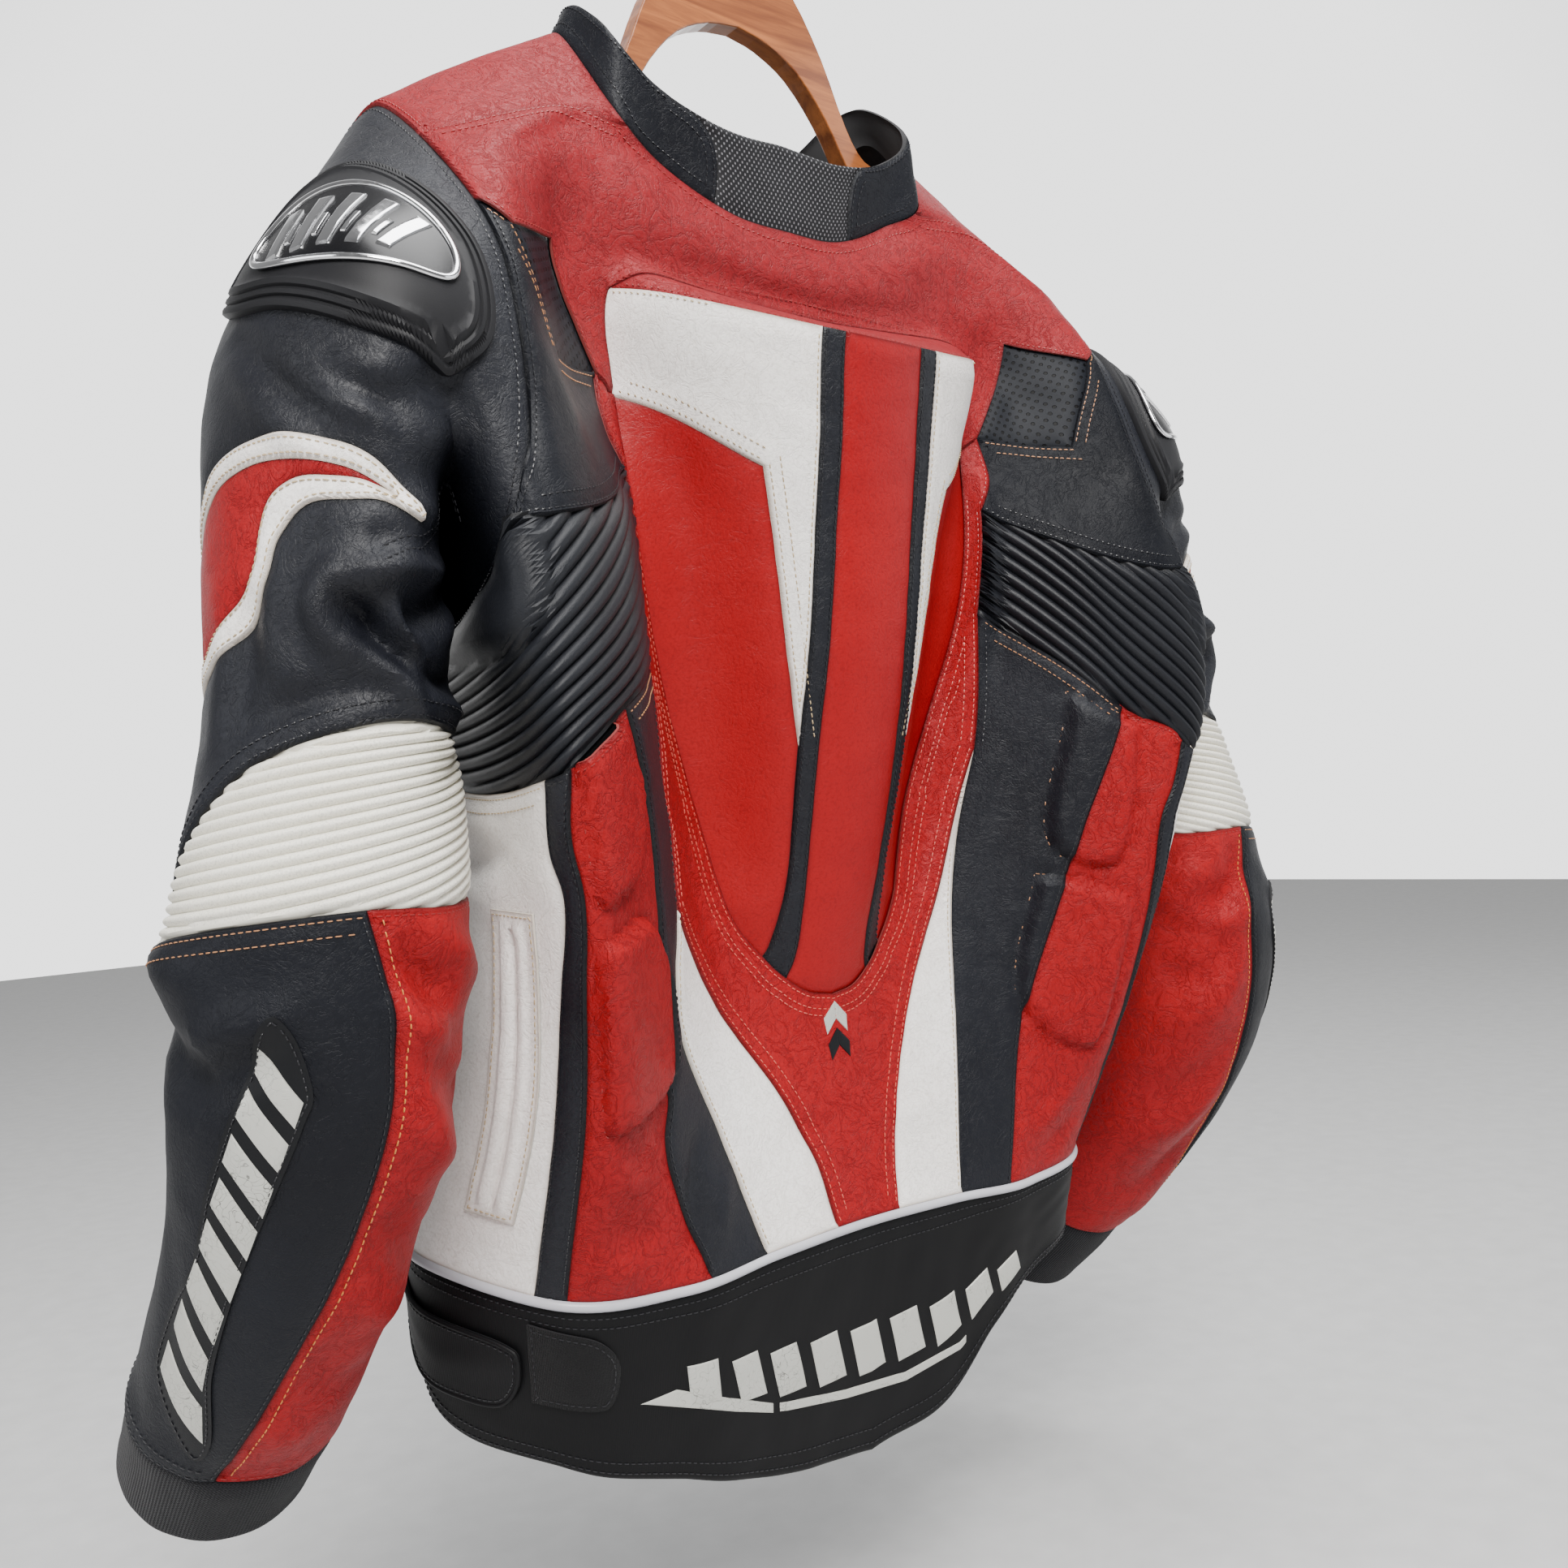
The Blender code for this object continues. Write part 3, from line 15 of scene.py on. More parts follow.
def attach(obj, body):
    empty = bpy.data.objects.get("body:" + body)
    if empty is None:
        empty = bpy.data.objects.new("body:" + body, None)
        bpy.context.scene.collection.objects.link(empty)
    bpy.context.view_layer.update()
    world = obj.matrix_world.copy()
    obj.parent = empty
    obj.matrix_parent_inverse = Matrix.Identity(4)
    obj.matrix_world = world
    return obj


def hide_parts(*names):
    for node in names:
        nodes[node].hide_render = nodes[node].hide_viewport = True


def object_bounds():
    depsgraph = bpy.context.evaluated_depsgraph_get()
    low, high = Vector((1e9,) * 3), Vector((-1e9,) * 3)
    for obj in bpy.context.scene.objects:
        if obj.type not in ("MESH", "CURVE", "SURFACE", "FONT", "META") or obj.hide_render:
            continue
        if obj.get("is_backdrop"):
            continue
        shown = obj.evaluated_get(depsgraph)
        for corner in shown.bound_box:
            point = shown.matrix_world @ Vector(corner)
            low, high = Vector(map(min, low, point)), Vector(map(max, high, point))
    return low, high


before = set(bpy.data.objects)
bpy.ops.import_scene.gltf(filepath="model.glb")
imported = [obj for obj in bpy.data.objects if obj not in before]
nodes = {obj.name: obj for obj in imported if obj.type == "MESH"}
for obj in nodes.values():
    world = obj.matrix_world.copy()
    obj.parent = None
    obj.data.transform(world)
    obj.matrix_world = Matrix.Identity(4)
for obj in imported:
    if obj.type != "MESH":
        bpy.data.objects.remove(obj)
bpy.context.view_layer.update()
ORIGIN = np.array([0.0, -0.030, -0.840])     # garment's own frame (z up from the hem) to the hook's contact
SIDES = {"left": 1, "right": -1}
MM = 0.001

# %% [markdown]
# ## The forms that the cloth lies on
# A tailor's dummy would do this job in a workshop. Here the trunk is nine rings of seven stations, joined by
# cubics in both directions, and each sleeve is ten rings. Cubics were chosen over sculpting because the same
# few numbers then place every seam, and the left and right halves stay related.

# %% Cubics through rows of numbers
def pair(a, b):
    """Two numbers or arrays as float arrays of one shape."""
    return np.broadcast_arrays(np.asarray(a, float), np.asarray(b, float))


def cubic(s, width, start, leave, end, arrive):
    """Cubic from start to end as s goes 0 to 1, with slopes leave and arrive over the interval's width."""
    return ((2 * s**3 - 3 * s**2 + 1) * start + (s**3 - 2 * s**2 + s) * width * leave
            + (3 * s**2 - 2 * s**3) * end + (s**3 - s**2) * width * arrive)


def hermite(knots, values, at):
    """Cubic through values at the knots, its slopes taken from the neighbours' differences."""
    knots, values = np.asarray(knots, float), np.asarray(values, float)
    slopes = np.gradient(values, knots, axis=0)
    at = np.clip(np.asarray(at, float), knots[0], knots[-1])
    i = np.clip(np.searchsorted(knots, at, side="right") - 1, 0, len(knots) - 2)
    width = knots[i + 1] - knots[i]
    extra = (Ellipsis,) + (None,) * (values.ndim - 1)
    s, width = ((at - knots[i]) / width)[extra], width[extra]
    return cubic(s, width, values[i], slopes[i], values[i + 1], slopes[i + 1])


def along_rows(knots, values, at):
    """The same cubic where each point has its own column of values."""
    slopes = np.gradient(values, knots, axis=0)
    i = np.clip(np.searchsorted(knots, at, side="right") - 1, 0, len(knots) - 2)
    n = np.arange(len(at))
    width = (knots[i + 1] - knots[i])[:, None]
    s = (at - knots[i])[:, None] / width
    return cubic(s, width, values[i, n], slopes[i, n], values[i + 1, n], slopes[i + 1, n])


def unit(a):
    return a / np.maximum(np.linalg.norm(a, axis=-1, keepdims=True), 1e-12)


def frame_of(surface, a, b, step=1e-4):
    """Both tangents of a surface and their cross product, by central differences."""
    da = (surface(a + step, b) - surface(a - step, b)) / (2 * step)
    db = (surface(a, b + step) - surface(a, b - step)) / (2 * step)
    return da, db, unit(np.cross(da, db))


# %% The trunk: u runs 0 centre back, .5 side, 1 centre front; v runs 0 hem to 1 neck
STATIONS = [0.0, 0.13, 0.27, 0.40, 0.5, 0.74, 1.0]
TRUNK = [
    # v, then metres: back y z, valley xyz, blade xyz,
    # flank xyz, side xyz, chest xyz, front y z
    (0.00, .088, .000, .066, .091, -.001, .130, .093, -.004,
     .195, .074, .002, .228, .005, .016, .150, -.085, .030, -.105, .030),
    (0.17, .071, .100, .070, .074, .098, .142, .104, .098,
     .198, .124, .102, .222, .045, .108, .150, -.088, .110, -.110, .110),
    (0.36, .060, .210, .078, .057, .208, .160, .130, .208,
     .218, .154, .214, .218, .060, .220, .160, -.088, .215, -.118, .215),
    (0.52, .054, .308, .092, .057, .305, .174, .146, .300,
     .238, .162, .312, .222, .055, .330, .170, -.082, .320, -.122, .315),
    (0.64, .057, .385, .100, .061, .386, .170, .132, .382,
     .230, .148, .400, .236, .048, .425, .175, -.076, .400, -.116, .390),
    (0.75, .065, .447, .104, .067, .452, .163, .090, .464,
     .222, .127, .484, .254, .036, .515, .170, -.062, .475, -.105, .450),
    (0.85, .074, .498, .100, .074, .504, .152, .077, .522,
     .205, .098, .548, .240, .028, .586, .150, -.045, .540, -.090, .500),
    (0.93, .078, .537, .070, .077, .548, .115, .075, .574,
     .155, .063, .606, .178, .027, .634, .115, -.030, .590, -.075, .540),
    (1.00, .071, .566, .039, .069, .569, .083, .064, .589,
     .114, .066, .612, .120, .028, .666, .080, -.034, .612, -.067, .560),
]
HUMP = [(0.212, .000), (0.33, .030), (0.52, .066), (0.70, .077), (0.84, .076)]      # v, height of its ridge
# u, v of the hump's outline
INSERT_EDGE = [(.000, .212), (.030, .218), (.055, .234), (.078, .258), (.110, .310), (.130, .420),
               (.145, .500), (.165, .600), (.180, .745), (.195, .845)]
TOP_DIP, SHELF_TOP = .007, .884     # how far its upper edge hangs at the centre; v of the shelf's upper seam


def trunk_raw(u, v):
    """The trunk before the hump: cubic in v through each station, then cubic in u round the ring."""
    u, v = pair(u, v)
    rows = np.asarray(TRUNK, float)
    net = hermite(rows[:, 0], rows[:, 1:], v.ravel())
    zero = np.zeros(len(net))
    back, front = np.stack([zero, net[:, 0], net[:, 1]], -1), np.stack([zero, net[:, -2], net[:, -1]], -1)
    ring = np.concatenate([back[:, None], net[:, 2:-2].reshape(len(net), -1, 3), front[:, None]], 1)
    mirrored = ring * np.array([-1, 1, 1])
    ring = np.concatenate([mirrored[:, 1:2], ring, mirrored[:, -2:-1]], 1)
    knots = np.array([-STATIONS[1]] + STATIONS + [2 - STATIONS[-2]])
    point = along_rows(knots, ring.transpose(1, 0, 2), np.abs(u).ravel())
    point[:, 0] *= np.where(u.ravel() < 0, -1, 1)
    return point.reshape(u.shape + (3,))


def insert_half_width(v):
    edge = np.array(INSERT_EDGE)
    return np.interp(v, edge[:, 1], edge[:, 0])


def insert_top(u):
    corner = INSERT_EDGE[-1]
    return corner[1] - TOP_DIP * np.clip(1 - (np.asarray(u) / corner[0]) ** 2, 0, 1)


def trunk(u, v):
    """The trunk with its hump: a parabola across the insert times the ridge, and a shelf below its top."""
    u, v = pair(u, v)
    rows = np.array(HUMP)
    across = np.clip(1 - (u / np.maximum(insert_half_width(v), 1e-6)) ** 2, 0, 1)
    ridge = hermite(rows[:, 0], rows[:, 1:], v)[..., 0] * (v > rows[0, 0])
    top = insert_top(u)
    fall = np.clip((SHELF_TOP - v) / (SHELF_TOP - top), 0, 1)
    height = np.where(v < top, across * ridge, across * rows[-1, 1] * fall ** 1.3)
    height = np.where(np.abs(u) > INSERT_EDGE[-1][0], 0, height)
    return trunk_raw(u, v) - frame_of(trunk_raw, u, v)[2] * height[..., None]


def trunk_out(u, v):
    """Outward direction of the trunk's walls, taken before the hump so that neighbours agree."""
    return -frame_of(trunk_raw, u, v)[2]


print("hem to nape %.0f mm" % (1000 * (trunk_raw(0, 1) - trunk_raw(0, 0))[2]))

# %% The sleeves: w runs 0 outer, .25 back, .5 inner, .75 front; t runs 0 armhole to 1 cuff
ARMHOLE = dict(u=.51, v=.690, back=.130, front=.100, rise=.180)
SLEEVE = [
    # t, centre xyz, tilt up and out, pitch forward (degrees), half width out, half width fore and aft
    (0.12, .266, .055, .438, 68, 0, .074, .092), (0.24, .282, .058, .393, 52, 0, .066, .085),
    (0.36, .285, .063, .338, 28, 0, .053, .078), (0.48, .288, .070, .276, 8, 2, .052, .069),
    (0.60, .298, .078, .205, 0, 8, .061, .066), (0.70, .303, .074, .138, 0, 18, .063, .066),
    (0.82, .310, .046, .063, 0, 30, .058, .060), (0.92, .316, -.002, -.014, 0, 36, .051, .052),
    (1.00, .320, -.045, -.067, 0, 36, .045, .046),
]
RIGHT_HANG = [
    # t, how far the right sleeve lies outward, back and up from the left one's mirror image
    (.00, .000, .000, .000), (.12, -.010, -.008, -.005), (.36, -.005, -.008, -.002), (.60, .004, .000, .000),
    (.72, .012, .008, -.006), (.84, .004, .004, -.020), (1.0, -.014, -.036, -.050),
]
SEAM_TURN = .10         # share of a sleeve or collar over which its wall turns away from the trunk's


def armhole(angle):
    """Chart point on the armhole, the angle in degrees from its top towards the back."""
    sine, cosine = np.sin(np.radians(angle)), np.cos(np.radians(angle))
    reach = np.where(sine > 0, ARMHOLE["back"], ARMHOLE["front"])
    return np.stack([ARMHOLE["u"] - reach * sine, ARMHOLE["v"] + ARMHOLE["rise"] * cosine], -1)


def turn_over(start, end, share):
    share = np.clip(share, 0, 1)[..., None]
    return unit(start * (1 - share) + end * share)


def sleeve(side):
    """(surface, outward) of one sleeve: ellipses about the arm's line, blended into the armhole's loop."""
    rows = np.asarray(SLEEVE, float).copy()
    if side < 0:
        hang = np.array(RIGHT_HANG)
        rows[:, 1:4] += hermite(hang[:, 0], hang[:, 1:], rows[:, 0])
    knots = np.concatenate([[0.0], rows[:, 0]])
    tilt, pitch = np.radians(rows[:, 4]), np.radians(rows[:, 5])
    out = np.stack([np.cos(tilt), 0 * tilt, np.sin(tilt)], -1)
    back = np.stack([0 * pitch, np.cos(pitch), -np.sin(pitch)], -1)

    def surface(w, t):
        w, t = pair(w, t)
        angle = 2 * np.pi * w.ravel()
        loop = armhole(np.degrees(angle))
        rings = (rows[:, None, 1:4] + rows[:, 6, None, None] * np.cos(angle)[None, :, None] * out[:, None]
                 + rows[:, 7, None, None] * np.sin(angle)[None, :, None] * back[:, None])
        point = along_rows(knots, np.concatenate([trunk_raw(loop[:, 0], loop[:, 1])[None], rings]), t.ravel())
        point[:, 0] *= side
        return point.reshape(w.shape + (3,))

    def outward(w, t):
        w, t = pair(w, t)
        loop = armhole(360 * w)
        body = trunk_out(loop[..., 0], loop[..., 1]) * np.array([side, 1, 1])
        return turn_over(body, -side * frame_of(surface, w, t)[2], t / SEAM_TURN)

    return surface, outward


print("left cuff at", np.round(sleeve(1)[0](.0, 1.), 3))

# %% Collar, waist belt and zip strip
# u, x, y, z
COLLAR_TOP = [(0.00, .000, .072, .616), (0.13, .042, .074, .614), (0.27, .085, .070, .628),
              (0.40, .112, .062, .656), (0.50, .111, .028, .686), (0.74, .080, -.036, .657),
              (1.00, .000, -.073, .604)]
# u, left, right
TAIL_DROP = [(0.00, .128, .128), (0.13, .118, .114), (0.21, .106, .081), (0.29, .093, .058),
             (0.40, .081, .048), (0.51, .076, .046), (0.56, .050, .046), (1.00, .046, .046)]
PIPING_RADIUS = .0020


def collar(u, c):
    """Stand collar: straight from the neck seam, c = 0, to its upper edge, c = 1."""
    u, c = pair(u, c)
    rows = np.array(COLLAR_TOP)
    top = hermite(rows[:, 0], rows[:, 1:], np.abs(u).ravel()).reshape(u.shape + (3,))
    top = top * np.where((u < 0)[..., None], np.array([-1, 1, 1]), 1)
    foot = trunk_raw(u, np.ones_like(u))
    return foot + (top - foot) * c[..., None]


def collar_out(u, c):
    u, c = pair(u, c)
    return turn_over(trunk_out(u, np.ones_like(u)), -frame_of(collar, u, c)[2], c / SEAM_TURN)


def belt(u, q):
    """Waist belt and tail: the hem's ring dropped by a depth that varies round the waist."""
    u, q = pair(u, q)
    rows = np.array(TAIL_DROP)
    depths = hermite(rows[:, 0], rows[:, 1:], np.abs(u).ravel())
    drop = np.where(u.ravel() >= 0, depths[:, 0], depths[:, 1]).reshape(u.shape)
    hem, shrink = trunk_raw(u, np.zeros_like(u)), 1 - .03 * q
    below = 2 * PIPING_RADIUS + .0009
    return np.stack([hem[..., 0] * shrink, hem[..., 1] * shrink - .006 * q, hem[..., 2] - below - q * drop],
                    -1)


def belt_out(u, q):
    return frame_of(belt, u, q)[2]


def zip_line(x, v):
    """Strip along the centre front, x metres across it."""
    x, v = pair(x, v)
    return trunk_raw(np.ones_like(v), v) + x[..., None] * np.array([1.0, 0, 0])


def zip_out(x, v):
    return frame_of(zip_line, x, v)[2]


def zip_edge_u(v, half=.006):
    return 1 - half / (trunk_raw(.999, v)[0] / .001)


FORMS = {
    # name: (surface, outward, metres of cloth for one unit of each chart direction)
    "trunk": (trunk, trunk_out, (.52, .60)),
    "sleeve_left": (*sleeve(1), (.42, .66)),
    "sleeve_right": (*sleeve(-1), (.42, .66)),
    "collar": (collar, collar_out, (.42, .05)),
    "belt": (belt, belt_out, (.52, .11)),
    "zip": (zip_line, zip_out, (1.0, .60)),
}
print("collar stands %.0f mm at the back" % (1000 * (COLLAR_TOP[0][3] - TRUNK[-1][2])))

# %% [markdown]
# ## Seams as curves, and folds as a field over the cloth
# A seam is drawn with a few knots in the chart and a cubic through them. Folds could come from a cloth
# simulation, but leather this thick keeps creases where it has been worn for years, so each large fold is
# placed one by one: a short curve with its own depth, width and taper. The height field is shared by all the
# panels of a form, so that a fold runs on across a seam.

# %% Seam curves
def curve(knots, surface, step):
    """Cubic through knots, one run of points for each interval, about one step apart on the surface."""
    knots = np.asarray(knots, float)
    index = np.arange(len(knots))
    runs = []
    for i in index[:-1]:
        fine = hermite(index, knots, np.linspace(i, i + 1, 17)) if len(knots) > 2 else np.linspace(*knots, 17)
        length = np.linalg.norm(np.diff(surface(fine[:, 0], fine[:, 1]), axis=0), axis=1).sum()
        at = np.linspace(i, i + 1, max(1, int(round(length / step))) + 1)
        straight = knots[0] + (knots[1] - knots[0]) * at[:, None]
        runs.append(hermite(index, knots, at) if len(knots) > 2 else straight)
    return runs


def stretch(runs, first=0, last=None):
    """Points of a curve from knot `first` to knot `last`, run backwards where last is smaller."""
    last = len(runs) if last is None else last
    low, high = min(first, last), max(first, last)
    points = np.concatenate([runs[i] if i == low else runs[i][1:] for i in range(low, high)])
    return points if first < last else points[::-1]


def back(runs):
    """A whole curve run backwards."""
    return stretch(runs, len(runs), 0)


def inside(points, loop):
    """Which chart points lie inside a closed loop, by counting crossings."""
    keep = np.zeros(len(points), bool)
    ax, ay = loop.T
    bx, by = np.roll(ax, -1), np.roll(ay, -1)
    for start in range(0, len(points), 20000):
        x, y = points[start:start + 20000, 0:1], points[start:start + 20000, 1:2]
        crosses = (ay > y) != (by > y)
        with np.errstate(divide="ignore", invalid="ignore"):
            at = ax + (y - ay) * (bx - ax) / (by - ay)
        keep[start:start + 20000] = (np.sum(crosses & (x < at), axis=1) % 2) == 1
    return keep


def pull_in(loop, surface, distance):
    """Move an outline inward by a distance measured on the surface, each corner along its mitre."""
    da, db, _ = frame_of(surface, loop[:, 0], loop[:, 1])
    g11, g12, g22 = np.sum(da * da, -1), np.sum(da * db, -1), np.sum(db * db, -1)
    x, y = loop.T
    turn = np.sign(np.sum(x * np.roll(y, -1) - y * np.roll(x, -1)))

    def inward(delta):
        root = np.sqrt(np.maximum(g11 * g22 - g12 ** 2, 1e-18))
        side = turn * np.stack([-(g12 * delta[:, 0] + g22 * delta[:, 1]) / root,
                                (g11 * delta[:, 0] + g12 * delta[:, 1]) / root], -1)
        size = g11 * side[:, 0] ** 2 + 2 * g12 * side[:, 0] * side[:, 1] + g22 * side[:, 1] ** 2
        return side / np.sqrt(np.maximum(size, 1e-18))[:, None]

    before, after = inward(loop - np.roll(loop, 1, axis=0)), inward(np.roll(loop, -1, axis=0) - loop)
    dot = (g11 * before[:, 0] * after[:, 0] + g12 * (before[:, 0] * after[:, 1] + before[:, 1] * after[:, 0])
           + g22 * before[:, 1] * after[:, 1])
    return loop + np.asarray(distance).reshape(-1, 1) * (before + after) / np.maximum(1 + dot, .35)[:, None]


def nearest(points, line):
    """(distance, index) of the nearest of a line's points, in blocks."""
    gap, which = np.zeros(len(points)), np.zeros(len(points), int)
    for start in range(0, len(points), 4000):
        block = points[start:start + 4000]
        d = np.linalg.norm(block[:, None] - line[None], axis=2)
        which[start:start + 4000] = d.argmin(1)
        gap[start:start + 4000] = d.min(1)
    return gap, which


def spaced(line, pitch):
    """Indices (fractional) that cut a 3-D line into equal steps of about one pitch."""
    along = np.concatenate([[0], np.cumsum(np.linalg.norm(np.diff(line, axis=0), axis=1))])
    at = np.linspace(0, along[-1], max(2, int(round(along[-1] / pitch)) + 1))
    return np.interp(at, along, np.arange(len(line)))


# %% The fold field
def fold_height(chart, form):
    """Sum of folds: depth times a sine taper along a quadratic curve, times a leaning Gaussian across it."""
    scale = np.array(FORMS[form][2])
    at = chart * scale
    total = np.zeros(len(chart))
    s = np.linspace(0, 1, 21)[:, None]
    for x0, y0, x1, y1, x2, y2, depth, width, lean in FOLDS.get(form, ()):
        a, b, c = np.array([x0, y0]) * scale, np.array([x1, y1]) * scale, np.array([x2, y2]) * scale
        line = (1 - s) * (1 - 2 * s) * a + 4 * s * (1 - s) * b + s * (2 * s - 1) * c
        reach = 3 * width * MM
        near = np.flatnonzero(((at > line.min(0) - reach) & (at < line.max(0) + reach)).all(1))
        if not len(near):
            continue
        start, step = line[:-1], np.diff(line, axis=0)
        offset = at[near][:, None] - start[None]
        along = np.clip((offset * step).sum(2) / (step * step).sum(1), 0, 1)
        gap = offset - along[..., None] * step
        size = np.linalg.norm(gap, axis=2)
        k = size.argmin(1)
        n = np.arange(len(near))
        share = (k + along[n, k]) / len(step)
        cross = step[k, 0] * gap[n, k, 1] - step[k, 1] * gap[n, k, 0]
        d = np.sign(cross) * size[n, k] / (width * MM)
        taper = np.clip(np.sin(np.pi * np.clip(share, .02, .98)), 0, 1) ** .8
        total[near] += depth * MM * taper * np.exp(-d * d) * (1 + lean * 1.6 * d)
    return total


def ripple(chart, form, size=.3):
    """Low uneven swelling of worn leather: three crossed sine waves of 23 to 61 mm, well under 1 mm high."""
    x, y = (chart * np.array(FORMS[form][2])).T * 1000
    return size * MM * (np.sin(x / 9.7 + 1.3 * np.sin(y / 17.) + .4) * np.sin(y / 8.1 + .8 * np.sin(x / 13.)) * .45
                        + .35 * np.sin(x / 5.1 - y / 7.3 + 1.5 * np.sin(y / 21. + x / 31.))
                        + .3 * np.sin(y / 3.7 + 1.7 * np.sin(x / 11.)))


FOLDS = {}
print("fold field ready")

# %% The worn folds of this jacket
def folds(*rows):
    """Rows of start, halfway and end in thousandths of the chart; depth (+ ridge), width in mm; lean."""
    return [(*(v / 1000 for v in row[:6]), *row[6:8], row[8] if len(row) > 8 else 0.) for row in rows]


FOLDS["sleeve_left"] = folds(
    (390, 92, 283, 297, 194, 374, 6, 9), (240, 340, 168, 400, 215, 432, 9, 9, .4),
    (182, 416, 242, 433, 300, 475, 8.5, 8, -.2), (205, 385, 222, 412, 285, 434, -13, 9),
    (182, 394, 242, 359, 341, 315, 8, 8, .2), (290, 345, 340, 310, 390, 250, 4, 9),
    (245, 388, 310, 366, 390, 290, -9, 9), (272, 372, 256, 398, 296, 412, 8, 5),
    (165, 374, 240, 336, 320, 270, -2.4, 6), (150, 356, 235, 312, 310, 245, 3, 8),
    (330, 400, 380, 350, 430, 290, 4, 9), (262, 225, 320, 160, 340, 80, 5, 11),
    (275, 262, 340, 200, 370, 140, -4, 10), (200, 240, 280, 150, 300, 60, -4.5, 10),
    (130, 250, 220, 200, 300, 90, 3, 8), (300, 420, 350, 425, 420, 400, -6, 8),
    (300, 445, 350, 450, 430, 440, 5, 8), (10, 212, 100, 262, 190, 262, -4.5, 9, .2),
    (20, 232, 100, 285, 170, 292, 3.5, 9), (140, 240, 200, 225, 262, 190, -3.8, 7),
    (150, 262, 200, 246, 250, 222, 3.2, 6), (115, 350, 110, 420, 150, 462, 4.5, 12),
    (80, 390, 62, 440, 55, 490, -4.5, 11), (30, 400, 20, 450, 10, 520, 2, 11),
    (50, 487, 160, 462, 270, 446, -4, 6), (-100, 640, -20, 636, 70, 628, 7.5, 12),
    (-110, 680, 0, 690, 70, 678, -9.5, 12), (175, 642, 110, 658, 30, 678, 5, 8, .25),
    (165, 664, 90, 682, 10, 704, -5, 9), (-120, 720, -70, 810, -60, 930, -8, 42),
    (262, 608, 305, 634, 360, 647, -7.5, 7), (250, 632, 300, 657, 355, 664, 6, 8, .2),
    (290, 602, 345, 618, 410, 628, 3, 7), (330, 655, 370, 672, 420, 668, -3.2, 8),
    (280, 690, 330, 720, 350, 770, 3, 14), (245, 838, 275, 858, 310, 864, -4, 9),
    (200, 880, 240, 902, 290, 902, 3, 8), (140, 925, 200, 934, 280, 922, -3, 8),
    (40, 770, 50, 840, 70, 905, -1.8, 12), (180, 740, 190, 820, 160, 900, 1.6, 14),
    (-330, 230, -300, 300, -330, 380, -6, 14, .2), (-400, 300, -350, 360, -360, 450, 5, 14),
    (-300, 400, -230, 440, -140, 430, -4, 12), (-320, 450, -230, 490, -130, 480, 4, 12),
    (-340, 500, -250, 545, -150, 540, -6, 11, .1), (-350, 560, -260, 600, -170, 595, 5, 11),
    (-420, 520, -330, 590, -220, 650, -4, 10), (-360, 680, -280, 740, -230, 820, 3, 16),
    (-440, 700, -380, 780, -360, 880, -3, 16), (-200, 160, -160, 230, -170, 320, -3, 16),
    (440, 450, 380, 500, 300, 505, -3, 9), (460, 640, 430, 700, 420, 760, -3.5, 12),
    (290, 655, 360, 700, 450, 715, -4.5, 8), (285, 690, 350, 735, 430, 760, 4.5, 9, .1),
    (270, 760, 340, 800, 430, 815, -4.5, 9), (250, 800, 320, 835, 420, 850, 4, 8),
    (225, 850, 300, 880, 400, 885, -4, 8), (330, 610, 400, 640, 470, 640, 4, 8),
    (-250, 905, -160, 922, -40, 915, -2.5, 9), (-60, 935, 20, 940, 110, 936, 1.8, 7),
)
FOLDS["sleeve_right"] = [(a + .012, b - .008, c - .010, d + .010, e + .015, f + .006, .8 * g, 1.15 * h, -k)
                         for a, b, c, d, e, f, g, h, k in FOLDS["sleeve_left"]]
TRUNK_FRONT = folds(
    (620, 560, 660, 440, 720, 350, -5, 16), (700, 620, 780, 500, 900, 440, 4, 18),
    (600, 320, 680, 230, 800, 180, -4.5, 15, .1), (620, 130, 700, 85, 860, 70, 3.5, 12),
    (640, 240, 760, 170, 920, 150, 3, 13), (590, 60, 680, 30, 800, 30, -2.5, 9),
    (640, 860, 720, 800, 800, 700, -3.5, 16), (560, 930, 680, 880, 820, 860, 3, 16),
    (780, 520, 860, 480, 940, 500, -3, 13), (570, 500, 600, 430, 620, 330, 3.5, 12),
)
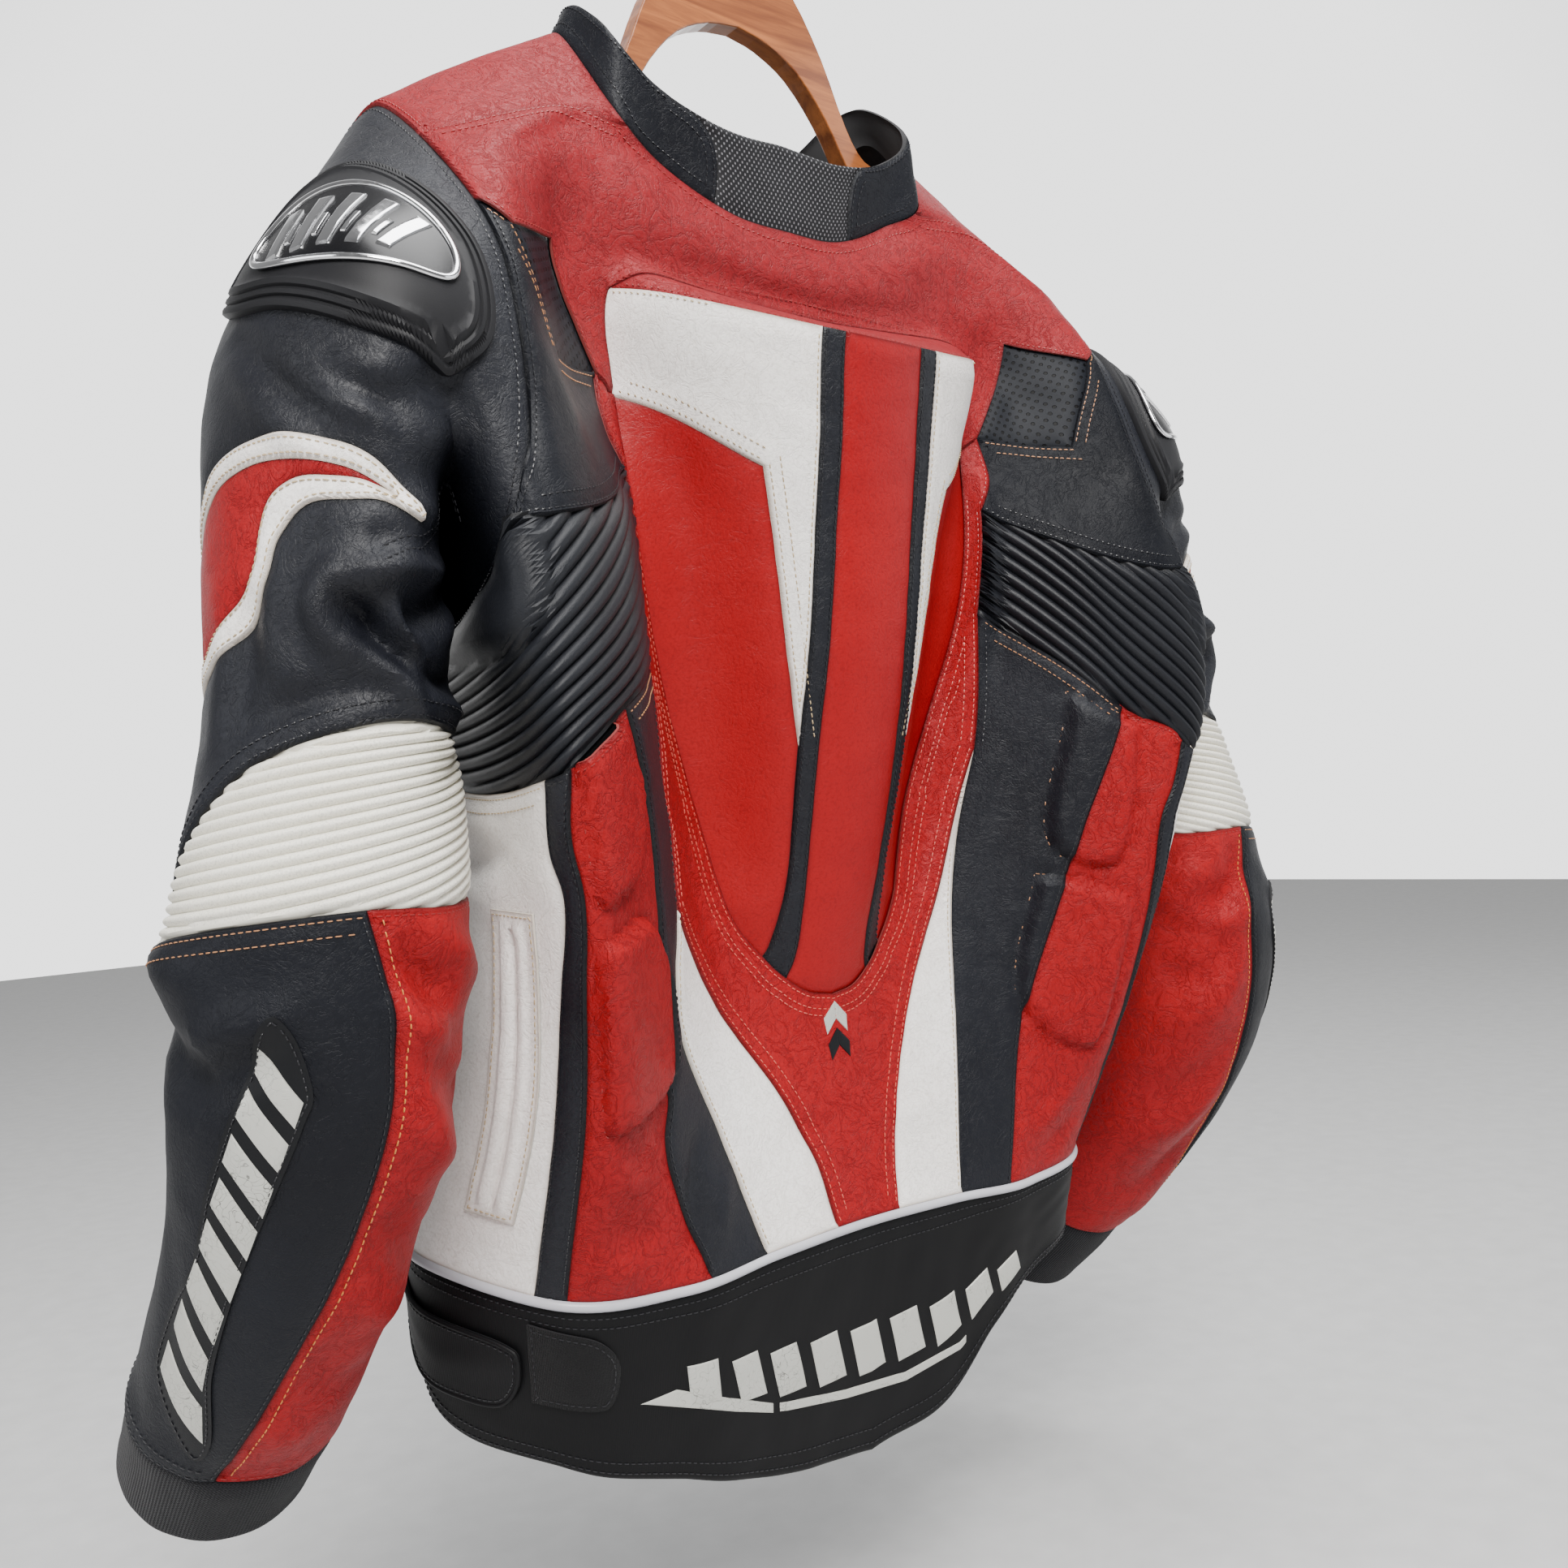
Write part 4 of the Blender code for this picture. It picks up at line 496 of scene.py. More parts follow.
FOLDS["trunk"] = TRUNK_FRONT + [(.01 - a, b - .02, -c, d + .015, .015 - e, f - .01, .85 * g, 1.1 * h, k)
                                for a, b, c, d, e, f, g, h, k in TRUNK_FRONT] + folds(
    (430, 840, 382, 900, 360, 975, 2.6, 5), (-430, 840, -382, 900, -360, 975, 2.6, 5),
    (300, 930, 200, 900, 90, 925, 3, 17), (335, 900, 300, 865, 262, 830, -3, 12),
    (-300, 930, -220, 900, -110, 925, -2.5, 15), (-330, 880, -280, 870, -235, 880, 2.5, 10),
    (225, 858, 0, 862, -225, 857, 8.5, 7), (200, 892, 0, 902, -200, 890, -2.5, 8),
    (100, 874, 20, 881, -90, 876, 2.2, 4), (-204, 735, -187, 610, -155, 400, 8, 6, .2),
    (-186, 640, -170, 470, -128, 290, -2.2, 5), (-203, 700, -196, 610, -184, 500, -2.6, 4),
    (205, 790, 192, 690, 185, 600, 2.6, 5), (190, 480, 170, 380, 130, 270, -2, 6),
    (440, 770, 398, 645, 372, 575, 5, 5), (-430, 740, -390, 620, -366, 560, 3.4, 5),
    (480, 590, 440, 560, 400, 545, -2.5, 7), (465, 392, 500, 376, 548, 372, 4, 7, .2),
    (455, 368, 500, 350, 555, 350, -4, 7), (480, 330, 510, 325, 550, 330, 2.4, 6),
    (372, 125, 340, 104, 300, 112, 3, 8, .1), (362, 76, 330, 52, 290, 60, -3, 8),
    (380, 45, 345, 24, 310, 26, 2.4, 7), (215, 135, 242, 80, 255, 20, -3, 7),
    (180, 90, 205, 50, 215, 15, 2, 7), (-212, 500, -202, 340, -190, 140, -2, 12),
    (-335, 105, -302, 62, -268, 50, 2.6, 8, .1), (-345, 62, -315, 30, -280, 26, -2.2, 7),
    (-150, 110, -100, 90, -50, 95, 1.4, 9), (100, 110, 50, 90, -20, 100, -1.6, 10),
    (430, 700, 404, 620, 392, 545, 3.4, 6, .2), (405, 700, 385, 630, 376, 560, -2.2, 6),
    (350, 720, 330, 690, 290, 670, 2, 9), (-430, 700, -404, 620, -392, 545, 3, 6, -.2),
    (-360, 720, -320, 690, -270, 680, -2, 9),
)
PADS = [
    # corners of the foam blocks sewn under the flanks, in the trunk's chart
    [(.367, .473), (.320, .489), (.278, .435), (.294, .360), (.344, .333), (.373, .341)],
    [(.345, .310), (.285, .320), (.246, .261), (.255, .177), (.355, .145), (.383, .161), (.384, .286)],
    [(-.234, .511), (-.281, .482), (-.298, .462), (-.315, .367), (-.303, .317), (-.237, .355)],
    [(-.232, .318), (-.282, .307), (-.329, .284), (-.346, .244), (-.341, .125), (-.236, .179)],
]
PAD_HEIGHT, PAD_RISE = .0052, .0062


def pad_height(chart):
    """Foam blocks under the leather: a smooth rise from a stitched groove to a flat top."""
    scale = np.array(FORMS["trunk"][2])
    total = np.zeros(len(chart))
    for corners in PADS:
        line = stretch(curve(corners + corners[:1], trunk, .003))[:-1]
        near = np.flatnonzero(((chart > line.min(0) - .02) & (chart < line.max(0) + .02)).all(1))
        if len(near):
            gap, _ = nearest(chart[near] * scale, line * scale)
            gap = np.where(inside(chart[near], line), gap, -gap)
            s = np.clip(gap / PAD_RISE, 0, 1)
            total[near] += PAD_HEIGHT * s * s * (3 - 2 * s) - .0015 * np.exp(-(gap / .0026) ** 2)
    return total


def soft_height(chart, form):
    """All relief of a form: folds, low swelling and, on the trunk, the pads."""
    return fold_height(chart, form) + ripple(chart, form) + (pad_height(chart) if form == "trunk" else 0)


print(sum(map(len, FOLDS.values())), "folds and", len(PADS), "pads")

# %% [markdown]
# ## One panel
# A real panel is a flat cut of hide whose edge is skived, turned under and stitched. The shell here does the
# same: a fine triangle net fills the outline, rows of points run beside the edge, and the net is raised so
# that a turned edge rolls down into the seam, a stitch row pulls a groove, and the leather swells just behind
# it. Edges on top of a seam are rolled or left raw. Edges below it sink and run a little further, so no gap
# opens.

# %% Edges, and what is kept of each piece
STEP, EDGE_STEP = .0042, .0034      # between points inside a panel and along its edges
ROWS = (.0010, .0024, .0046)        # rows of points beside an edge; the second is the stitch row
LEATHER = .0013
PROFILES = {
    # height in mm at these distances (mm) from the seam
    "under": ((-1, -2.0), (0, -1.5), (1, -1.1), (2.4, -.8), (4.6, -.4), (9, 0)),
    "fold": ((-1, -1.7), (0, -.8), (1, .25), (2.4, .0), (4.6, .55), (9, .35), (16, 0)),
    "plain": ((-1, -1.7), (0, -.9), (1, .0), (2.4, .25), (4.6, .3), (9, .1), (16, 0)),
    "raw": ((-1, .9), (0, .9), (1, .95), (2.4, .55), (4.6, .85), (9, .4), (16, 0)),
    "rib": ((-1, -3.4), (0, -2.7), (1, -2.2), (2.4, -1.5), (4.6, -.6), (9, 0)),
    "cut": ((-1, .0), (0, .0), (16, 0)),
}
OVERLAP = {"under": -.0014, "fold": -.0002, "plain": -.0003, "raw": -.0001, "rib": -.0016, "cut": .0}
# colour of the cut edges, black for the others; how much painted shade darkens a panel and takes its sheen
RAW = {"red": "red", "red_smooth": "red", "white": "white", "cream_ribbed": "white"}
SHADE_AND_DULL = {"shoulder_back_right": .6, "shoulder_back_left": .4, "back_black_right": .2,
        "forearm_black_left": .35, "forearm_black_right": .35, "collar_left": .4, "collar_right": .4}
PANELS, PIECES, CUTS, MAT = {}, {}, [], {}      # panels' geometry, objects, flat cuts and materials


def profile_height(profile, distance):
    """Height in metres of a profile in millimetres, at distances in metres."""
    x, y = np.array(profile).T
    return np.interp(distance * 1000, x, y) * MM


def edge_height(distance, kinds):
    """Height of a panel beside its edge: the profile of the edge's kind at that distance."""
    out = np.zeros(len(distance))
    for kind in set(kinds):
        pick = kinds == kind
        out[pick] = profile_height(PROFILES[kind], distance[pick])
    return out


def on_panel(name, chart):
    """Points on top of a finished panel, and the outward direction at each."""
    p = PANELS[name]
    place, out = p["surface"](*chart.T), p["outward"](*chart.T)
    gap, which = nearest(place, p["edge"])
    height = p["relief"](chart) + edge_height(gap, p["kinds"][which]) + p["lift"]
    return place + out * height[:, None], out


# %% Meshes from arrays
def mesh_object(name, points, faces, finishes, slots=None, attributes=(), uv=None, sharp=40):
    """A mesh of triangles that rides the jacket, with point attributes and a UV map in metres of cloth."""
    mesh = bpy.data.meshes.new(name)
    points, faces = np.asarray(points, np.float32), np.asarray(faces, np.int32)
    mesh.vertices.add(len(points))
    mesh.vertices.foreach_set("co", (points + ORIGIN.astype(np.float32)).ravel())
    mesh.loops.add(faces.size)
    mesh.loops.foreach_set("vertex_index", faces.ravel())
    mesh.polygons.add(len(faces))
    mesh.polygons.foreach_set("loop_start", np.arange(0, faces.size, 3, dtype=np.int32))
    if slots is not None:
        mesh.polygons.foreach_set("material_index", np.asarray(slots, np.int32))
    for key, values in dict(attributes).items():
        mesh.attributes.new(key, "FLOAT", "POINT").data.foreach_set("value", np.asarray(values, np.float32))
    if uv is not None:
        corners = np.asarray(uv, np.float32)[faces.ravel()]
        mesh.uv_layers.new(name="cloth").data.foreach_set("uv", corners.ravel())
    for finish in finishes:
        mesh.materials.append(MAT[finish])
    mesh.update(calc_edges=True)
    mesh.validate()
    mesh.shade_smooth()
    mesh.set_sharp_from_angle(angle=math.radians(sharp))
    item = bpy.data.objects.new(name, mesh)
    bpy.context.scene.collection.objects.link(item)
    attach(item, "jacket")
    return item


def facing(points, faces, away):
    """The same triangles, all turned round if they mostly face against these directions."""
    a, b, c = (points[faces[:, n]] for n in range(3))
    return faces[:, ::-1] if np.sum(np.cross(b - a, c - a) * away) < 0 else faces


def shell(faces, count):
    """Triangles of a closed skin: a net of count points, its copy turned round, a wall on the open edges."""
    pairs = np.concatenate([faces[:, [0, 1]], faces[:, [1, 2]], faces[:, [2, 0]]])
    code = pairs[:, 0] * count + pairs[:, 1]
    p, q = pairs[~np.isin(code, pairs[:, 1] * count + pairs[:, 0])].T
    wall = np.concatenate([np.stack([p, q, q + count], -1), np.stack([p, q + count, p + count], -1)])[:, ::-1]
    return np.concatenate([faces, faces[:, ::-1] + count, wall])


# %% The net of a panel
def grid_inside(loop, holes, step, shift):
    """Staggered grid of plane points inside an outline."""
    low, high = loop.min(0), loop.max(0)
    rows = np.arange(math.ceil(low[1] / step[1]) + shift, high[1] / step[1]) * step[1]
    columns = np.arange(low[0], high[0] + step[0], step[0])
    x, y = np.meshgrid(columns, rows)
    x = x + (np.arange(len(rows)) % 2)[:, None] * step[0] / 2
    return within(np.stack([x.ravel(), y.ravel()], -1), loop, holes)


def within(points, loop, holes, index=False):
    """The points inside an outline and outside its holes, or which they are."""
    keep = inside(points, loop)
    for hole in holes:
        keep &= ~inside(points, hole)
    return keep if index else points[keep]


def net(plane, rings, beside, grid):
    """Constrained triangulation: (plane points, triangles) that fill the first ring outside the others."""
    edges, start = [], 0
    for ring in rings:
        count = len(ring)
        edges += [(start + i, start + (i + 1) % count) for i in range(count)]
        start += count
    points = np.concatenate(rings + [plane(row) for row in beside] + [grid])
    placed, _, faces, _, _, _ = delaunay_2d_cdt([Vector(p) for p in points], edges, [], 0, 1e-9, False)
    flat = np.array([tuple(p) for p in placed])
    faces = np.array([f for f in faces if len(f) == 3])
    kept = within(flat[faces].mean(1), rings[0], rings[1:], True)
    used, faces = np.unique(faces[kept], return_inverse=True)
    return flat[used], faces.reshape(-1, 3)


def assemble(parts):
    """(outline, kinds, seam names) of a closed panel from its stretches, each corner taken once."""
    points = np.concatenate([p for p, _, _ in parts])
    kinds, names = (np.repeat([part[n] for part in parts], [len(p) for p, _, _ in parts]) for n in (1, 2))
    keep = np.linalg.norm(points - np.roll(points, 1, axis=0), axis=1) > 1e-7
    return points[keep], kinds[keep], names[keep]


def panel(name, hide, form, parts, sign=1, relief=None, holes=(), thickness=LEATHER, step=STEP, lift=0.0,
          rows=ROWS, warp=None, ribs=None, rim=None, dull=None):
    """One cloth panel as a closed thin shell.

    parts are the stretches of its outline in the form's chart: (points, kind of edge, seam). The net is made in
    the chart stretched to metres (or through warp, which maps chart points to a plane where the net is even),
    placed on the form, and raised by relief plus the edge's profile.
    """
    surface, outward, scale = FORMS[form]
    relief = relief or (lambda c: soft_height(c, form))
    outline, kinds, names = assemble(parts)
    outline = outline * [sign, 1]
    loop = pull_in(outline, surface, np.array([OVERLAP[k] for k in kinds]))
    rings = [loop] + [pull_in(hole, surface, -OVERLAP[kind]) for hole, kind in holes]
    edge = np.concatenate([surface(*ring.T) for ring in [outline] + [hole for hole, _ in holes]])
    all_kinds = np.concatenate([kinds] + [np.full(len(hole), kind) for hole, kind in holes])
    da, db, _ = frame_of(surface, *loop.mean(0))
    metres = np.array([np.linalg.norm(da), np.linalg.norm(db)])
    plane, chart_of = warp or (lambda c: c * metres, lambda p: p / metres)
    flat_rings = [plane(ring) for ring in rings]
    spacing = ribs or (step, step * .87)
    grid = grid_inside(flat_rings[0], flat_rings[1:], spacing, 0 if ribs else .5)
    reach = (rows[-1] + .6 * min(spacing)) if rows else .8 * min(spacing)
    grid = grid[nearest(surface(*chart_of(grid).T), edge)[0] > reach]
    clear_of = rows[:1] + rows[:-1] if holes else rows      # a band between two edges keeps more of its rows
    beside = [(limit, pull_in(outline, surface, row)) for row, limit in zip(rows, clear_of)]
    beside += [(rows[-1], pull_in(hole, surface, -rows[-1])) for hole, _ in holes]
    kept = []
    for limit, ring in beside:
        ring = ring[inside(ring, loop)]
        kept.append(ring[nearest(surface(*ring.T), edge)[0] > .9 * limit])
    flat, faces = net(plane, flat_rings, kept, grid)
    chart = chart_of(flat)
    place, direction = surface(*chart.T), outward(*chart.T)
    gap, which = nearest(place, edge)
    gap = np.where(inside(chart, outline), gap, -gap)
    for hole, _ in holes:
        gap = np.where(inside(chart, hole), -np.abs(gap), gap)
    outer = place + direction * (relief(chart) + edge_height(gap, all_kinds[which]) + lift)[:, None]
    faces = facing(place, faces, direction[faces[:, 0]])
    triangles = shell(faces, len(chart))
    slots = np.repeat([0, 1, 2], [len(faces), len(faces), len(triangles) - 2 * len(faces)])
    # painted shade with less sheen at each point: the panel's own function, else its entry in the table
    shade_and_dull_values = dull(chart) if dull else np.full(len(chart), SHADE_AND_DULL.get(name, 0.))
    item = mesh_object(name + "_cloth", np.concatenate([outer, outer - direction * thickness]), triangles,
                       [hide, "flesh", rim or "raw_" + RAW.get(hide, "black")], slots,
                       {"edge": np.tile(np.clip(gap, -1, .03) * 1000, 2), "dull": np.tile(shade_and_dull_values, 2)},
                       np.tile(chart * np.array(scale), (2, 1)))
    PANELS[name] = dict(surface=surface, outward=outward, edge=edge, kinds=all_kinds, relief=relief,
                        lift=lift, outline=outline, names=names)
    PIECES[name] = item
    CUTS.append((name, *flat_cut(place, faces)))


def flat_cut(points, faces):
    """(width, length, area) of the cloth that a net would need, from its spread along its own main axes."""
    a, b, c = (points[faces[:, n]] for n in range(3))
    area = float(np.linalg.norm(np.cross(b - a, c - a), axis=1).sum() / 2)
    spread = np.linalg.svd(points - points.mean(0), full_matrices=False)
    extent = np.ptp((points - points.mean(0)) @ spread[2].T, axis=0)
    long, wide = extent[0] * 1.04, max(extent[1], .012)
    return min(max(wide, area / long * 1.02), area / (.34 * long)), long, area


def mirrored(parts):
    """The same stretches across the centre line, run backwards."""
    return [(points[::-1] * [-1, 1], kind, seam) for points, kind, seam in parts][::-1]


print("edge kinds:", ", ".join(PROFILES))

# %% [markdown]
# ## Leathers
# Milled cowhide has a pebble of about 1.3 mm pressed into it, finer pores between the pebbles, and long soft
# creases where it has bent. The finish is a thin pigmented film, so it is a satin dielectric. An image could
# carry all this, but procedural cells and noise in real millimetres stay sharp at any distance.

# %% Colours, and one helper that adds a node
def srgb(code):
    """An sRGB hex value as linear RGBA."""
    parts = [int(code[i:i + 2], 16) / 255 for i in (1, 3, 5)]
    return (*[c / 12.92 if c <= .04045 else ((c + .055) / 1.055) ** 2.4 for c in parts], 1.0)


def fill(tree, sockets, values):
    """Give each named or numbered socket its value, or a link from an output."""
    for key, value in dict(values).items():
        socket = sockets[key.replace("_", " ") if isinstance(key, str) else key]
        if isinstance(value, bpy.types.NodeSocket):
            tree.links.new(value, socket)
        else:
            socket.default_value = value


def add(tree, kind, *inputs, out=0, stops=(), **settings):
    """A node of that kind; gives its output of that number or name.

    The kind may carry an operation, as in "Math ADD". Inputs are values or outputs of other nodes, in the node's
    own order or in a dict by name. Stops are a ramp's (position, colour), where a number stands for a grey.
    """
    kind, _, operation = kind.partition(" ")
    made = tree.nodes.new("ShaderNode" + kind)
    if operation:
        made.operation = operation
    for key, value in settings.items():
        setattr(made, key, value)
    for number, value in enumerate(inputs):
        fill(tree, made.inputs, value if isinstance(value, dict) else {number: value})
    for number, (position, colour) in enumerate(stops):
        cells = made.color_ramp.elements
        cell = cells[number] if number < len(cells) else cells.new(position)
        cell.position = position
        cell.color = colour if isinstance(colour, tuple) else (colour, colour, colour, 1)
    return made.outputs[out]


def new_material(name, **sockets):
    """A Principled material with constant values on its own sockets."""
    made = bpy.data.materials.new(name)
    made.use_nodes = True
    shader = made.node_tree.nodes["Principled BSDF"]
    fill(made.node_tree, shader.inputs, sockets)
    return made, made.node_tree, shader.inputs


def leather(name, colour, shade_colour, worn, rough=.42, pebble=1.3, grain=.13, soft=1.0, gloss=.28, upper=None):
    """Milled cowhide: pebbles, pores, long creases, worn patches; painted shade in the seams, valleys and creases.

    pebble is the pebbles' size and grain their depth in mm; soft scales the creases and their painted shade; upper
    is a colour that the piece takes higher up, towards the shoulders; painted shade deepens the colour and the
    sheen dies away where the point attribute for shade and dullness rises.
    """
    made, tree, shader = new_material(name)
    where = add(tree, "TexCoord", out="Object")
    pebbles = add(tree, "TexVoronoi", {"Vector": where, "Scale": 1000 / pebble, "Randomness": .9},
                  feature="SMOOTH_F1")
    pores = add(tree, "TexNoise", {"Vector": where, "Scale": 1000 / (.45 * pebble), "Detail": 2.})
    height = add(tree, "Math MULTIPLY_ADD", pores, .35, add(tree, "Math MULTIPLY_ADD", pebbles, -1.0, 1.0))

    def lines(scale, detail, uneven, bend, *stops):
        """Narrow valleys along the middle level of a noise."""
        noise = add(tree, "TexNoise", {"Vector": where, "Scale": scale, "Detail": detail, "Roughness": uneven,
                                       "Distortion": bend})
        gap = add(tree, "Math ABSOLUTE", add(tree, "Math SUBTRACT", noise, .5))
        return add(tree, "ValToRGB", gap, stops=stops)

    crease = lines(75., 4., .62, 1.4, (0, 0.), (.035, .75), (.12, 1.))
    wrinkle = lines(210., 3., .6, 2.2, (0, 0.), (.05, .8), (.15, 1.))
    normal = add(tree, "Bump", {"Height": height, "Distance": grain * MM})
    normal = add(tree, "Bump", {"Height": wrinkle, "Distance": .13 * soft * MM, "Normal": normal})
    normal = add(tree, "Bump", {"Height": crease, "Distance": .32 * soft * MM, "Normal": normal})
    patches = add(tree, "TexNoise", {"Vector": where, "Scale": 9., "Detail": 3., "Roughness": .6})
    wear = add(tree, "ValToRGB", patches, stops=((.35, 0.), (.75, 1.)))
    shade = add(tree, "MixRGB", wear, srgb(colour), srgb(worn))
    # higher up the piece, from z -.50 to -.28, its colour blends towards the upper colour
    if upper:
        z = add(tree, "SeparateXYZ", where, out="Z")
        high = add(tree, "MapRange", z, -.50, -.28, interpolation_type="SMOOTHSTEP")
        shade = add(tree, "MixRGB", add(tree, "Math MULTIPLY", high, .8), shade, srgb(upper))
    edge, dull = (add(tree, "Attribute", out="Fac", attribute_name=key) for key in ("edge", "dull"))
    # painted shade at the seams: the colour deepens towards the shade colour within about 3.5 mm of a seam
    seam = add(tree, "ValToRGB", add(tree, "Math MULTIPLY", edge, .2), stops=((0, 1.), (.28, .35), (.7, 0.)))
    # painted shade in the pebbles' valleys, where the cells meet
    valley_shade = add(tree, "ValToRGB", pebbles, stops=((.35, 0.), (.75, 1.)))
    dark = add(tree, "Math MULTIPLY", seam, .75)
    # painted shade: the strongest of seams, pebble valleys, the shade-and-dull attribute and crease lines wins
    for other in (add(tree, "Math MULTIPLY", valley_shade, .28), add(tree, "Math MULTIPLY", dull, .9),
                  add(tree, "Math MULTIPLY_ADD", crease, -.30 * soft, .30 * soft)):
        dark = add(tree, "Math MAXIMUM", dark, other)
    # painted shade mixes the leather's colour towards its shade colour
    fill(tree, shader, dict(Base_Color=add(tree, "MixRGB", dark, shade, srgb(shade_colour)),
                            Roughness=add(tree, "MapRange", patches, .3, .7, rough - .05, rough + .08),
                            # less sheen where the painted shade lies
                            Specular_IOR_Level=add(tree, "Math MULTIPLY_ADD", dull, -gloss, gloss),
                            Normal=normal))
    return made


def plain(name, colour, rough, size=.3, depth=.02, **sockets):
    """An even material with a fine grain of `size` mm, such as raw hide, thread or moulded polyurethane."""
    made, tree, shader = new_material(name, **sockets)
    where = add(tree, "TexCoord", out="Object")
    grain = add(tree, "TexNoise", {"Vector": where, "Scale": 1000 / size, "Detail": 3.})
    mottle = add(tree, "TexNoise", {"Vector": where, "Scale": 40., "Detail": 3.})
    base, amount = srgb(colour), add(tree, "Math MULTIPLY", mottle, .5)
    shade = add(tree, "MixRGB", amount, base, tuple(.62 * c for c in base[:3]) + (1,))
    fill(tree, shader, dict(Base_Color=shade,
                            Roughness=add(tree, "MapRange", grain, 0., 1., rough - .06, rough + .06),
                            Normal=add(tree, "Bump", {"Height": grain, "Distance": depth * MM})))
    return made


MAT.update(
    red=leather("red milled cowhide", "#8F0B13", "#440508", "#9B0F15", .45, gloss=.17, upper="#7D1B21"),
    red_smooth=leather("red smooth cowhide", "#920A12", "#440508", "#9C0E14", .42, soft=.25, gloss=.19,
                       upper="#861118"),
    black=leather("blue black milled cowhide", "#121319", "#040507", "#1A1C23", .45, grain=.14, soft=.5,
                  gloss=.24),
    white=leather("off white milled cowhide", "#EFEAE6", "#9C8D7C", "#F9F6F3", .46, grain=.10, soft=.5,
                  gloss=.2),
    flesh=plain("dark flesh side of the hide", "#202022", .85),
    raw_red=plain("raw red cut edge", "#7C2A26", .8, depth=.1),
    raw_black=plain("raw black cut edge", "#17171A", .8, depth=.1),
    raw_white=plain("raw white cut edge", "#CFC6BA", .8, depth=.1),
)
print(len(MAT), "leathers and edges")

# %% [markdown]
# ## The other finishes
# Perforated hide is punched on a staggered grid, mesh is a knitted spacer with lozenge cells, the belt is
# coated polyamide and the cuffs are ribbed knit. A Voronoi texture with no randomness is exactly such a grid,
# so holes and lozenges need no image. Metals keep the default index of refraction, and rubber stays a rough
# dielectric.

# %% Cloths
def patterned(name, base, mark, pitch, steps, rough, depth, metric="EUCLIDEAN", gloss=.25):
    """Cloth with a mark on each cell of a grid turned by 45 degrees, sunk or raised by depth mm.

    The mark's edge lies between two distances from the cell's middle (steps, in shares of the pitch).
    """
    made, tree, shader = new_material(name, Specular_IOR_Level=gloss)
    cloth = add(tree, "UVMap", uv_map="cloth")
    turned = add(tree, "Mapping", {"Vector": cloth, "Rotation": (0, 0, math.pi / 4)})
    cells = add(tree, "TexVoronoi", {"Vector": turned, "Scale": 1 / (pitch * MM), "Randomness": 0.},
                distance=metric, voronoi_dimensions="2D")
    marks = add(tree, "ValToRGB", cells, stops=((steps[0], 1.), (steps[1], 0.)))
    where = add(tree, "TexCoord", out="Object")
    grain = add(tree, "TexNoise", {"Vector": where, "Scale": 1200., "Detail": 3.})
    fine = add(tree, "Bump", {"Height": grain, "Distance": .05 * MM})
    sunk = add(tree, "Bump", {"Height": marks, "Distance": depth * MM, "Normal": fine})
    fill(tree, shader, dict(Base_Color=add(tree, "MixRGB", marks, srgb(base), srgb(mark)),
                            Roughness=add(tree, "MapRange", grain, 0., 1., rough - .06, rough + .06),
                            Normal=sunk))
    return made


def woven(name, colour, light, across, along, rough, depth, fuzz=.0, **sockets):
    """Knit or weave: a sine across the cloth times one along it (periods in mm), with stray fibres. The colour
    goes lighter with height: painted highlight on the raised threads, random tone in the fibres.
    """
    made, tree, shader = new_material(name, Roughness=rough, **sockets)
    cloth, where = add(tree, "UVMap", uv_map="cloth"), add(tree, "TexCoord", out="Object")
    waves = []
    for axis, period in (("X", across), ("Y", along)):
        turn = add(tree, "Math MULTIPLY", add(tree, "SeparateXYZ", cloth, out=axis),
                   2 * math.pi / (period * MM))
        waves.append(add(tree, "Math SINE", turn))
    x, y = waves
    height = add(tree, "Math MULTIPLY", x, add(tree, "Math MULTIPLY_ADD", y, .35, .65))
    height = add(tree, "Math MULTIPLY_ADD", height, .5, .5)
    fibres = add(tree, "TexNoise", {"Vector": where, "Scale": 1500., "Detail": 4.})
    height = add(tree, "Math MULTIPLY_ADD", fibres, .3 + fuzz, height)
    # painted highlight: raised threads and stray fibres turn towards the lighter colour
    amount = add(tree, "Math MULTIPLY", height, .6)
    fill(tree, shader, dict(Base_Color=add(tree, "MixRGB", amount, srgb(colour), srgb(light)),
                            Normal=add(tree, "Bump", {"Height": height, "Distance": depth * MM})))
    return made


# %% Metal, film and wood
def metal(name, colour, rough, scratch=.01):
    """Metal with fine scratches of that depth in mm and an uneven polish."""
    made, tree, shader = new_material(name, Metallic=1.0, Base_Color=srgb(colour))
    where = add(tree, "TexCoord", out="Object")
    wear = add(tree, "TexNoise", {"Vector": where, "Scale": 260., "Detail": 4.})
    fill(tree, shader, dict(Roughness=add(tree, "MapRange", wear, .3, .7, rough - .05, rough + .08),
                            Normal=add(tree, "Bump", {"Height": wear, "Distance": scratch * MM})))
    return made


def film(name, colour, crack):
    """Heat-pressed reflective film: glass beads in a satin grey, cracked into cells where it has flexed."""
    made, tree, shader = new_material(name, Metallic=.25, Roughness=.42)
    where = add(tree, "TexCoord", out="Object")
    drift = add(tree, "TexNoise", {"Vector": where, "Scale": 60., "Detail": 2.}, out="Color")
    bent = add(tree, "MixRGB", .04, where, drift)
    cells = add(tree, "TexVoronoi", {"Vector": bent, "Scale": 210.}, feature="DISTANCE_TO_EDGE")
    lines = add(tree, "ValToRGB", cells, stops=((.0, 1.), (.035, .0)))
    patches = add(tree, "TexNoise", {"Vector": where, "Scale": 26., "Detail": 5., "Roughness": .7})
    worn = add(tree, "ValToRGB", patches, stops=((.42, .0), (.62, 1.)))
    amount = add(tree, "Math MULTIPLY", lines, worn)
    fill(tree, shader, dict(Base_Color=add(tree, "MixRGB", amount, srgb(colour), srgb(crack)),
                            Normal=add(tree, "Bump", {"Height": lines, "Distance": -.05 * MM})))
    return made


